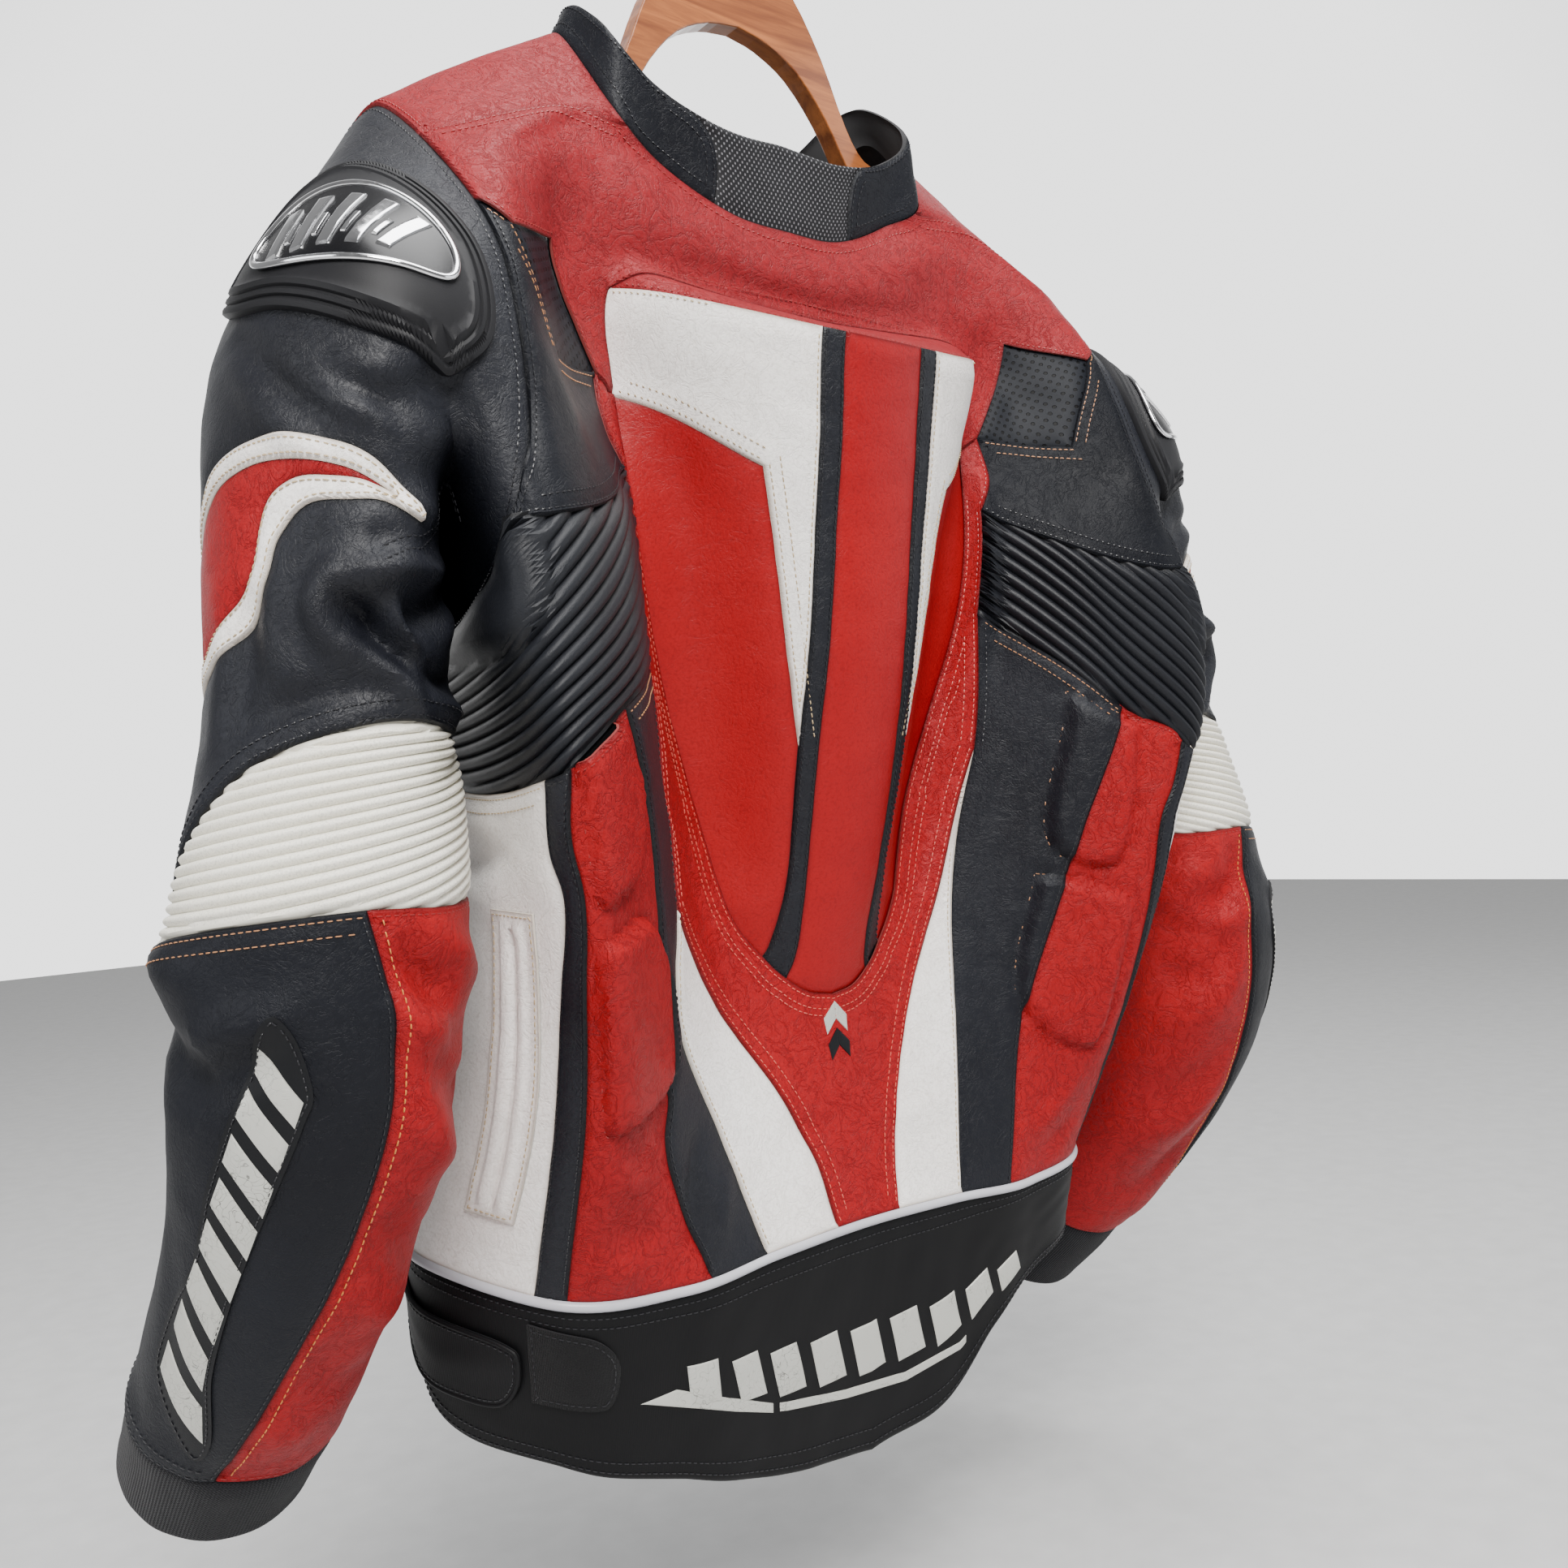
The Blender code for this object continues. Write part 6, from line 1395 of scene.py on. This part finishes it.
# %% Waist belt, straps and patch
BELT_FRONT = .955
STRAP = [(.600, .30), (.545, .32), (.490, .28), (.453, .27), (.435, .29), (.427, .34), (.428, .51),
         (.437, .65), (.450, .71), (.478, .74), (.505, .79), (.545, .90), (.600, .92)]
PATCH = [(.420, .12), (.383, .14), (.363, .17), (.349, .24), (.344, .32), (.346, .44), (.354, .55),
         (.368, .59), (.420, .61)]
around = (0, .13, .27, .40, .50, .56, .62, .80, BELT_FRONT)
high, low = (stretch(curve([(u, q) for u in around], belt, EDGE_STEP)) for q in (0, 1))
half = [(high, "under", "high"), (low[::-1], "plain", "low")]
panel("tail", "textile", "belt", half + mirrored(half), thickness=.0018, step=.0048)


def closed(knots, surface, step):
    """Smooth curve through knots, closed by a straight end."""
    return [(stretch(curve(line, surface, step)), "cut", "edge") for line in (knots, [knots[-1], knots[0]])]


for side, sign in SIDES.items():
    panel(f"strap_{side}", "strap", "belt", closed(STRAP, belt, EDGE_STEP * .6), sign, thickness=.0016,
          lift=.0028, step=.003)
panel("tail_patch", "loop", "belt", closed(PATCH, belt, EDGE_STEP * .6), thickness=.0012, lift=.0018,
      step=.003)
print("belt on;", len(PIECES), "panels")

# %% [markdown]
# ## Stitches
# Topstitching in bonded nylon shows on every seam of a race jacket, often in two rows: one close to the edge
# to hold it flat, one further in to hold the layers. A dashed texture would do from afar. Real stitches are
# short, round and sunk at both ends, so each one is a small capsule here, laid along the seam and joined into
# one mesh per region.

# %% Lay capsules along a path
STITCH, PITCH, THREAD = .0026, .0036, .00036     # length, spacing and radius
THREADS, EXTRAS = {}, {}                         # (thread, region): capsule points; name: object


def capsules(where, out, along, size, radius, sides=4):
    """Points of round-ended bars sunk at both ends: (bar, one of four stations, side, xyz)."""
    along = unit(along - out * np.sum(along * out, -1, keepdims=True))
    across = np.cross(out, along)
    station, width, dip = np.array([(-.5, .35, -.45), (-.32, 1, .45), (.32, 1, .45), (.5, .35, -.45)]).T
    angle = (np.arange(sides) + .5) * 2 * np.pi / sides
    centre = (where[:, None] + along[:, None] * (station * np.reshape(size, (-1, 1)))[..., None]
              + out[:, None] * (dip * radius)[:, None])
    ring = across[:, None] * np.cos(angle)[:, None] + out[:, None] * np.sin(angle)[:, None]
    return centre[:, :, None] + ring[:, None] * (width * radius)[:, None, None]


def skin(points, closed=False):
    """Triangles over rings of points (ring, side, xyz), facing out; fans close the ends of an open row."""
    rings, sides, _ = points.shape
    i, j = np.divmod(np.arange((rings if closed else rings - 1) * sides), sides)
    k, after = (j + 1) % sides, (i + 1) % rings * sides
    faces = [np.stack([i * sides + j, i * sides + k, after + k], -1),
             np.stack([i * sides + j, after + k, after + j], -1)]
    if not closed:
        j = np.arange(1, sides - 1)
        faces += [np.stack([0 * j, j + 1, j], -1), np.stack([0 * j, j, j + 1], -1) + (rings - 1) * sides]
    faces, flat = np.concatenate(faces), points.reshape(-1, 3)
    return facing(flat, faces, flat[faces].mean(1) - points.mean(1)[faces[:, 0] // sides])


def bars_mesh(name, points, finish, sharp=60):
    """Joined mesh of equal bars, (bar, station, side, xyz)."""
    count = points[0].size // 3
    faces = (skin(points[0])[None] + (np.arange(len(points)) * count)[:, None, None]).reshape(-1, 3)
    EXTRAS[name] = mesh_object(name, points.reshape(-1, 3), faces, [finish], sharp=sharp)


def stitch_line(thread, region, position, direction):
    """Stitches at equal steps along a surface line."""
    at = spaced(position, PITCH)
    if len(at) < 3:
        return
    at = (at[:-1] + at[1:]) / 2
    index = np.arange(len(position))

    def along_line(values, where):
        return np.stack([np.interp(where, index, column) for column in values.T], -1)

    ahead = along_line(position, at + .4) - along_line(position, at - .4)
    size = STITCH * (1 + .12 * np.sin(at * 12.9898))
    THREADS.setdefault((thread, region), []).append(
        capsules(along_line(position, at), unit(along_line(direction, at)), ahead, size, THREAD))


def stitch_seam(piece, seam, rows, thread, region):
    """Rows of stitches on a panel, at these distances (mm) inside one of its seams."""
    p = PANELS[piece]
    pick = p["names"] == seam
    if not pick.any():
        return
    start = int(np.flatnonzero(pick & ~np.roll(pick, 1))[0]) if not pick.all() else 0
    order = (start + np.arange(len(pick))) % len(pick)
    for row in rows:
        line = pull_in(p["outline"], p["surface"], row * MM)[order][pick[order]]
        step = np.linalg.norm(np.diff(p["surface"](*line.T), axis=0), axis=1)
        for run in np.split(line, np.flatnonzero(step > .02) + 1):
            if len(run) > 3:
                run = run[nearest(p["surface"](*run.T), p["edge"])[0] > row * MM * .9]
            if len(run) > 3:
                stitch_line(thread, region, *on_panel(piece, run))


# %% Where the rows run
NEAR, BOTH = (2.4,), (2.4, 8.6)         # rows in mm from the seam
STITCHING = {
    # panel: {seam: (rows, thread)}
    "back_yoke": dict(shoulder=(BOTH, "red"), shelf_top=(BOTH, "red"), insert_edge=(NEAR, "red"),
                      yoke_frame=(NEAR, "red"), vent_inner=(NEAR, "red"), vent_top=(NEAR, "red"),
                      strap=(NEAR, "red"), neck=((4.0,), "red")),
    "back_frame": dict(insert_edge=((*BOTH, 12.4), "coral"), frame_high=(NEAR, "red"),
                       rib_inner=(NEAR, "red"), frame_low=(BOTH, "coral"), stripe_inner=(BOTH, "coral")),
    "hump_shelf": dict(insert_top=(NEAR, "red")),
    "shoulder_back": dict(vent_outer=(BOTH, "tan"), vent_low=(BOTH, "tan"), strap=(NEAR, "tan"),
                          rib_top=(BOTH, "dark"), loop=((3.2,), "dark")),
    "back_black": dict(rib_low=(BOTH, "tan"), kidney=(NEAR, "dark"), frame_low=((5.0,), "dark")),
    "side_red": dict(rib_low=(NEAR, "red")),
    "side_stripe": dict(rib_low=(NEAR, "dark"), red_edge=((1.8,), "dark"), thin_edge=((1.8,), "dark")),
    "side_white": dict(rib_low=(BOTH, "cream"), side_seam=(NEAR, "cream")),
    "white_stripe": dict(stripe_outer=(NEAR, "cream")),
    "front": dict(side_seam=(BOTH, "dark"), zip_edge=(BOTH, "dark"), underarm_side=(NEAR, "dark"),
                  loop=((3.2,), "dark")),
    "front_yoke": dict(front_split=(BOTH, "red"), zip_edge=(BOTH, "red"), loop=((3.2,), "red")),
    "hump_white": dict(white_in=((2.4, 8.0), "cream"), white_low=((2.4, 8.0), "cream"), outer=(NEAR, "cream"),
                       top=(NEAR, "cream")),
    "hump_black": dict(inner=((1.8,), "dark"), outer=((1.8,), "dark")),
    "upper_sleeve": dict(rib_top=(BOTH, "dark"), front_seam=(NEAR, "dark"), armhole=((4.5,), "dark")),
    "forearm_black": dict(rib_low=(BOTH, "tan"), split=(NEAR, "dark"), cuff=(BOTH, "dark"),
                          front_seam=(NEAR, "dark")),
    "forearm_red": dict(rib_low=(NEAR, "red"), split=((5.0,), "orange"), cuff=(NEAR, "red")),
    "collar": dict(split=((2.4, 7.0), "dark"), top=(NEAR, "dark"), front=(NEAR, "dark"),
                   foot=((6.5,), "dark")),
}
for piece, seams in STITCHING.items():
    for name in (piece, f"{piece}_left", f"{piece}_right"):
        if name in PANELS:
            region = "back" if name == piece or piece.startswith("hump") else name.rsplit("_", 1)[-1]
            for seam, (rows, thread) in seams.items():
                stitch_seam(name, seam, rows, thread, region)


def stitch_chart(form, piece, knots, thread, region):
    """Stitches along a free curve in the chart, on top of a panel."""
    stitch_line(thread, region, *on_panel(piece, stretch(curve(knots, FORMS[form][0], .003))))


def stitch_inside(piece, inset, thread, region):
    """Stitches all round a panel, at this distance inside its outline."""
    p = PANELS[piece]
    stitch_line(thread, region, *on_panel(piece, pull_in(p["outline"], p["surface"], inset)))


for side in SIDES:
    form, border = f"sleeve_{side}", f"swoosh_border_{side}"
    surface = FORMS[form][0]
    for shift in (-.006, .006):
        fold = [(w, t + shift)
                for w, t in ((.232, .350), (.262, .328), (.300, .301), (.352, .225), (.400, .075))]
        stitch_chart(form, f"upper_sleeve_{side}", fold, "dark", side)
    for loop, row in ((SWOOSH, .0022), (SWOOSH_RED, -.0020)):
        line = pull_in(stretch(curve(loop + loop[:1], surface, .003))[:-1], surface, row)
        line = line[nearest(surface(*line.T), PANELS[border]["edge"])[0] > .0017]
        stitch_line("cream", side, *on_panel(border, line))
MAT.update(
    thread_coral=plain("coral bonded nylon thread", "#C85346", .45),
    thread_red=plain("red bonded nylon thread", "#8E1D1D", .45),
    thread_dark=plain("black bonded nylon thread", "#15151A", .4),
    thread_tan=plain("tan bonded nylon thread", "#A9764F", .5),
    thread_cream=plain("yellowed white thread", "#B9A37E", .5),
    thread_orange=plain("orange bonded nylon thread", "#C9793A", .5),
)


def sew():
    """Join the stitches laid so far, one mesh for each thread and region."""
    for (thread, region), parts in THREADS.items():
        bars_mesh(f"stitches_{thread}_{region}", np.concatenate(parts), f"thread_{thread}")
    print(sum(len(np.concatenate(p)) for p in THREADS.values()), "stitches")

# %% [markdown]
# ## Shoulder guard and badge
# The guard is injection-moulded polyurethane: one dome with ribs that follow its rim, so that the shoulder
# slides on tarmac and doesn't catch. The height is a profile of the distance from the rim, which makes the
# ribs run parallel to it by themselves. An oval badge with a polished rim sits on top and carries plain
# slanted bars.

# %% The guard
GUARD = [(-.055, .165), (-.020, .110), (.040, .068), (.110, .040), (.180, .026), (.235, .034), (.268, .070),
         (.285, .118), (.235, .158), (.170, .190), (.090, .206), (.010, .205)]
# mm inside the rim, height in mm
RIM_PROFILE = [(0, 0), (.5, 1.7), (2.2, 2.3), (3.4, 2.2), (4.0, 1.1), (5.0, 1.1), (5.6, 2.5), (7.4, 2.7),
               (8.0, 1.6), (9.2, 1.6), (9.9, 3.1), (12.2, 3.4), (13.2, 2.4), (16, 2.2), (40, 2.6)]
GUARD_ROWS = tuple(inset * MM for inset, _ in RIM_PROFILE[1:13])
BADGE_CENTRE, BADGE_TURN = (.118, .116), -30.0      # in the sleeve's chart; degrees
BADGE_LONG, BADGE_HIGH, BADGE_RAISED = .0560, .0240, .0062      # half axes, and height over the sleeve
BAR_SLANT = .30


def smooth_loop(knots, surface, step):
    """Closed cubic through knots: the cubic is run over three laps and the middle one kept."""
    lap = list(knots)
    runs = curve(lap[-3:] + lap + lap[:3], surface, step)
    return stretch(runs, 3, 3 + len(lap))[:-1]


def badge_chart(side, x, y):
    """Chart points of a flat drawing in metres, laid on the badge's centre and turned with it."""
    da, db, _ = frame_of(FORMS[f"sleeve_{side}"][0], *BADGE_CENTRE)
    turn = math.radians(BADGE_TURN)
    along = np.stack([x * math.cos(turn) - y * math.sin(turn), x * math.sin(turn) + y * math.cos(turn)], -1)
    return np.array(BADGE_CENTRE) + along / [np.linalg.norm(da), np.linalg.norm(db)]


def oval(side, share=1.0, count=96):
    """Ellipse round the badge's centre, a share of its size."""
    angle = np.linspace(0, 2 * np.pi, count, endpoint=False)
    return badge_chart(side, BADGE_LONG * share * np.cos(angle), BADGE_HIGH * share * np.sin(angle))


def bar_row(side, shares, top, foot, width):
    """Slanted bars across the badge, at shares of its long axis: the chart corners of each."""
    quads = []
    for share in shares:
        fit = .80 * math.sqrt(max(1 - share ** 2, .05))
        corners = [(share * BADGE_LONG + x - BAR_SLANT * y, y * fit)
                   for x, y in ((-width / 2, top), (width / 2, top), (width / 2, foot), (-width / 2, foot))]
        quads.append(badge_chart(side, *np.array(corners).T))
    return quads


def tube(name, line, radius, finish, direction, sides=8, closed=True, flat=1.0):
    """Tube along a 3-D line, flattened towards the direction."""
    ahead, behind = np.roll(line, -1, axis=0), np.roll(line, 1, axis=0)
    if not closed:
        ahead[-1], behind[0] = line[-1], line[0]
    along = unit(ahead - behind)
    out = unit(direction - along * np.sum(direction * along, -1, keepdims=True))
    across = np.cross(out, along)
    angle = np.arange(sides) * 2 * np.pi / sides
    points = (line[:, None] + across[:, None] * (np.cos(angle) * radius)[:, None]
              + out[:, None] * (np.sin(angle) * radius * flat)[:, None])
    EXTRAS[name] = mesh_object(name, points.reshape(-1, 3), skin(points, closed), [finish], sharp=50)


def bevelled(edge, count):
    """Places from 0 to 1 with two close steps over the bevel at each end."""
    return np.concatenate([[0, edge / 2, edge], np.linspace(edge, 1 - edge, count)[1:-1],
                           [1 - edge, 1 - edge / 2, 1]])


def quad_plates(name, base, quads, lift, thickness, finish, edge=.12):
    """Small raised plates on a panel, each the bilinear patch of four chart corners with a bevelled rim."""
    s, t = np.meshgrid(bevelled(edge, 8), bevelled(edge / 2, 4))
    rows, columns = s.shape
    rim = np.minimum(np.minimum(s, 1 - s) / edge, np.minimum(t, 1 - t) / (edge / 2))
    rise = np.sqrt(np.clip(1 - (1 - np.clip(rim, 0, 1)) ** 2, 0, 1)).ravel()
    s, t = s.ravel()[:, None], t.ravel()[:, None]
    a = (np.arange(rows - 1)[:, None] * columns + np.arange(columns - 1)).ravel()
    b, c, d = a + 1, a + columns + 1, a + columns
    top = np.concatenate([np.stack([a, b, c], -1), np.stack([a, c, d], -1)])
    points, triangles = [], []
    for corners in np.asarray(quads, float):
        share = (1 - s) * (1 - t), s * (1 - t), s * t, (1 - s) * t
        foot, out = on_panel(base, sum(part * corner for part, corner in zip(share, corners)))
        upper = foot + out * (lift + thickness * rise)[:, None]
        faces = shell(facing(upper, top, out[top[:, 0]]), len(s))
        triangles.append(faces + 2 * len(s) * len(triangles))
        points += [upper, foot - out * .0003]
    EXTRAS[name] = mesh_object(name, np.concatenate(points), np.concatenate(triangles), [finish], sharp=35)


def guard_height(loop, surface):
    """The guard's relief: the rim's profile, and a slight dome behind it."""
    edge = surface(*loop.T)

    def relief(chart):
        gap = np.where(inside(chart, loop), nearest(surface(*chart.T), edge)[0], 0)
        return profile_height(RIM_PROFILE, gap) + .0016 * np.clip(gap / .03, 0, 1)

    return relief


# %% Guards and badges
for side in SIDES:
    form, badge = f"sleeve_{side}", f"badge_{side}"
    surface, outward, _ = FORMS[form]
    loop = smooth_loop(GUARD, surface, .0018)
    panel(f"shoulder_guard_{side}", "tpu", form, [(loop, "cut", "rim")], relief=guard_height(loop, surface),
          thickness=.003, lift=.0016, step=.0022, rows=GUARD_ROWS, rim="tpu")
    panel(badge, "badge", form, [(oval(side), "cut", "rim")], relief=lambda c: np.full(len(c), BADGE_RAISED),
          thickness=.003, step=.0030, rows=(.001,), rim="badge")
    ring = oval(side, .985, 140)
    out = outward(*ring.T)
    tube(f"badge_rim_{side}", surface(*ring.T) + out * (BADGE_RAISED + .0002), .0017, "chrome", out, sides=10,
         flat=.8)
    quad_plates(f"badge_bars_{side}", badge, bar_row(side, (-.62, -.34, -.06, .22, .50), .020, -.020, .0072),
                .0, .0011, "chrome")
    quad_plates(f"badge_darts_{side}", badge, bar_row(side, (-.49, -.20, .08, .36), .012, -.004, .0026),
                .0, .0008, "chrome")
print("guards and badges on")

# %% [markdown]
# ## Patches
# The sleeve and tail carry reflective film bars heat-pressed on a black patch, cracked a little where the arm
# bends. Their layout here is plain slanted bars, so no lettering is needed.

# %% Forearm and tail bars
FORE_PATCH = [(.135, .650), (.158, .650), (.184, .682), (.178, .700), (.162, .735), (.146, .775),
              (.133, .820), (.130, .862), (.148, .905), (.132, .920), (.085, .902), (.038, .880),
              (.046, .844), (.078, .803), (.086, .751), (.106, .698)]
FORE_BARS = [
    [(.130, .662), (.176, .688), (.170, .702), (.122, .676)],
    [(.118, .684), (.166, .711), (.160, .728), (.111, .700)],
    [(.109, .710), (.157, .737), (.151, .756), (.102, .728)],
    [(.101, .738), (.148, .765), (.142, .785), (.094, .757)],
    [(.092, .767), (.139, .794), (.133, .814), (.086, .787)],
    [(.083, .797), (.129, .823), (.124, .843), (.075, .817)],
    [(.070, .828), (.121, .852), (.122, .872), (.060, .848)],
    [(.054, .860), (.126, .882), (.138, .905), (.050, .878)],
]
TAIL_BARS = [[(u, .40 + d), (u - .040, .385 + d), (u - .053 - s, .60 + d), (u - .013 - s, .615 + d)]
             for u, d, s in ((.272, -.02, -.01), (.212, .0, .0), (.152, .02, .0), (.092, .03, .0),
                             (.032, .04, .0), (-.028, .05, .0), (-.088, .07, .0), (-.148, .10, .0),
                             (-.208, .17, .0))]
TAIL_TRIM = [[(.325, .56), (.285, .50), (.150, .655), (.150, .700)],
             [(.140, .66), (.140, .70), (-.150, .80), (-.150, .76)]]
for side in SIDES:
    patch = f"forearm_patch_{side}"
    loop = smooth_loop(FORE_PATCH, FORMS[f"sleeve_{side}"][0], .0030)
    panel(patch, "patch", f"sleeve_{side}", [(loop, "cut", "rim")], thickness=.0012, lift=.0011, step=.0040,
          rows=(.001,), rim="patch")
    quad_plates(f"forearm_bars_{side}", patch, FORE_BARS, .0001, .0005, "film")
quad_plates("tail_bars", "tail", TAIL_BARS, .0002, .0006, "film", edge=.08)
quad_plates("tail_trim", "tail", TAIL_TRIM, .0002, .0005, "film", edge=.08)

for key, finish, wing in (("grey", "film", [(.016, .190), (0, .205), (0, .188), (.014, .174)]),
                          ("dark", "patch", [(.015, .164), (0, .179), (0, .162), (.013, .149)])):
    low, tip, notch, foot = np.array(wing)
    wings = [wing, [tip, low * [-1, 1], foot * [-1, 1], notch]]
    quad_plates(f"emblem_{key}", "back_frame", wings, .0001, .0005, finish)
print("patches pressed")

# %% [markdown]
# ## Piping, pockets and zip
# Reflective piping is a cord wrapped in grey film and caught in the hem seam. The pockets are welts: two
# rolled lips over a slot. The front zip has moulded teeth on a woven tape, so the teeth here repeat one small
# bar down each side.

# %% Piping
u = np.linspace(-BELT_FRONT, BELT_FRONT, 420)
hem, out = trunk_raw(u, 0 * u), trunk_out(u, 0 * u)
cord = hem - out * LEATHER * .4 - [0, 0, PIPING_RADIUS + .0006]
tube("piping", cord, .0027, "piping", out, sides=10, closed=False)


# %% Pocket welts
WELT_IN, WELT_OUT, WELT_LOW, WELT_HIGH = .438, .474, .060, .320      # u and v of a welt's sides
WELT_PROFILE = [(0, -1.6), (.8, -1.4), (1.3, .9), (2.6, 2.2), (4.2, 2.4), (5.2, 1.2), (6.0, .5), (8, .7),
                (20, .6)]


def welt_height(chart):
    """Two lips beside a slot, as a profile of the distance from the pocket's centre line."""
    wide, tall = FORMS["trunk"][2]
    past = (chart[:, 1] - np.clip(chart[:, 1], WELT_LOW + .016, WELT_HIGH - .016)) * tall
    gap = np.hypot((np.abs(chart[:, 0]) - .5 * (WELT_IN + WELT_OUT)) * wide, past)
    return soft_height(chart, "trunk") + profile_height(WELT_PROFILE, gap)


def box(left, right, low, high, surface, step):
    """The four straight stretches round a rectangle of the chart."""
    corners = [(left, low), (right, low), (right, high), (left, high)]
    return [(stretch(curve([a, b], surface, step)), "cut", "edge")
            for a, b in zip(corners, corners[1:] + corners[:1])]


for side, sign in SIDES.items():
    welt = box(WELT_IN, WELT_OUT, WELT_LOW, WELT_HIGH, trunk, EDGE_STEP)
    panel(f"pocket_welt_{side}", "white", "trunk", welt, sign, relief=welt_height, lift=.0009, rows=ROWS[:2],
          ribs=(.0011, .0050), thickness=.0012)
    stitch_seam(f"pocket_welt_{side}", "edge", (2.2,), "cream", side)

# %% Front zip
HALF, TOOTH = .0057, .0026
panel("front_zip", "tape", "zip", box(-HALF, HALF, 0, 1, zip_line, .004), relief=lambda c: 0 * c[:, 0],
      rows=(),
      ribs=(.0028, .004), thickness=.0012, rim="tape")
v = np.linspace(.004, .996, int(.57 / TOOTH))
teeth = []
for half in (-1, 1):
    shift = v + .25 * half * (v[1] - v[0])
    out = zip_out(0 * shift, shift)
    where = zip_line(half * .0011 + 0 * shift, shift) + out * .0004
    teeth.append(capsules(where, out, np.tile([1.0, 0, 0], (len(v), 1)), .0042, .00085, sides=6))
bars_mesh("zip_teeth", np.concatenate(teeth), "teeth", sharp=35)
print(2 * len(v), "teeth")

# %% Belt trim: stitched bands, bound strap edges and patches sewn round
for q in (.045, .100, .905, .965):
    stitch_chart("belt", "tail", [(a, q) for a in np.linspace(-.93, .93, 12)], "dark", "belt")
for side in SIDES:
    strap = PANELS[f"strap_{side}"]
    stitch_inside(f"strap_{side}", .0034, "dark", "belt")
    edge = pull_in(strap["outline"], belt, .0010)
    out = belt_out(*edge.T)
    tube(f"strap_binding_{side}", belt(*edge.T) + out * (strap["lift"] - .0006), .0013, "strap", out)
stitch_inside("tail_patch", .0026, "dark", "belt")

# %% Sew everything
for corners in PADS:
    side = "left" if corners[0][0] > 0 else "right"
    line = stretch(curve(corners + corners[:1], trunk, .003))
    for piece, thread in ((f"side_red_{side}", "red"), (f"back_black_{side}", "tan")):
        held = inside(line, PANELS[piece]["outline"])
        for run in np.split(np.arange(len(line)), np.flatnonzero(np.diff(held)) + 1):
            if held[run[0]] and len(run) > 3:
                stitch_line(thread, side, *on_panel(piece, line[run]))
for side in SIDES:
    stitch_inside(f"forearm_patch_{side}", .0022, "dark", side)
sew()

# %% [markdown]
# ## What stands for what
# Each cloth piece takes the place of its plain CAD solid, and the CAD parts that stay take their finishes. The
# flat width and length that the cutter would need for every sheet are worked out and kept as each panel is made.

# %% Slots and stand-ins
for name, item in (*PIECES.items(), *EXTRAS.items()):
    if name in nodes:
        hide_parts(name)
for name, key in (("hanger_wood", "wood"), ("hanger_hook", "steel"), ("zip_slider", "nickel"),
                  ("zip_pull", "nickel")):
    mesh = nodes[name].data
    mesh.materials.clear()
    mesh.materials.append(MAT[key])
print("CAD nodes still shown:", [n for n in nodes if not nodes[n].hide_render])


# %% [markdown]
# ## Floor, light and camera
# Soft studio light from above and both sides shows satin leather best: large area lamps make broad highlights
# that slide over the folds. The camera stands behind the left shoulder, a little above the middle.

# %% Floor
FLOOR_Z = -1.12
floor = bpy.data.meshes.new("floor")
floor.from_pydata([(x, y, FLOOR_Z) for x, y in ((-6, -6), (6, -6), (6, 6), (-6, 6))], [], [(0, 1, 2, 3)])
floor = bpy.data.objects.new("floor", floor)
bpy.context.scene.collection.objects.link(floor)
floor.data.materials.append(plain("pale floor paper", "#C4C4C4", .8))
floor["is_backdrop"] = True


def lamp(name, place, aim, size, power, colour=(1, 1, 1)):
    """A square area lamp at a place, turned to its aim."""
    data = bpy.data.lights.new(name, "AREA")
    data.shape, data.size, data.energy, data.color = "SQUARE", size, power, colour
    item = bpy.data.objects.new(name, data)
    item.location = place
    item.rotation_euler = (Vector(aim) - Vector(place)).to_track_quat("-Z", "Y").to_euler()
    bpy.context.scene.collection.objects.link(item)


lamp("key", (1.2, 1.9, 1.3), (0, 0, -.5), 1.3, 165, (1, .985, .96))
lamp("top", (-.1, .5, 1.5), (0, 0, -.5), 1.4, 62)
lamp("fill", (-2.2, 1.5, .1), (0, 0, -.5), 2.2, 24, (.96, .98, 1))
lamp("side", (2.3, -.3, .2), (.1, 0, -.5), 1.4, 22, (.97, .985, 1))
world = bpy.data.worlds.new("studio")
world.use_nodes = True
tree, sky = world.node_tree, world.node_tree.nodes["Background"]
behind = add(tree, "VectorMath DOT_PRODUCT", add(tree, "TexCoord", out="Generated"), (-.63, -.776, .1),
             out="Value")
glow = add(tree, "ValToRGB", add(tree, "Math MULTIPLY_ADD", behind, .5, .5),
           stops=((.0, .08), (.5, .11), (.80, .15), (.93, 1.)))
fill(tree, sky.inputs, {"Color": glow, "Strength": 2.4})
bpy.context.scene.world = world

# %% Camera
camera = bpy.data.objects.new("camera", bpy.data.cameras.new("camera"))
camera.data.lens, camera.data.sensor_width = 32.4, 36
RIGHT, UP, AHEAD = (-.7756, .6282, -.0613), (-.0361, .0528, .998), (-.6302, -.7762, .0182)
EYE = (.5294, .6579, -.6081)
camera.matrix_world = Matrix([(RIGHT[i], UP[i], -AHEAD[i], EYE[i]) for i in range(3)] + [(0, 0, 0, 1)])
bpy.context.scene.collection.objects.link(camera)
bpy.context.scene.camera = camera
low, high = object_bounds()
print("visual box", [round(v, 3) for v in (*low, *high)])
added = sum(len(p.data.loop_triangles) or len(p.data.polygons) for p in PIECES.values())
print(len(PIECES), "pieces,", added, "faces")
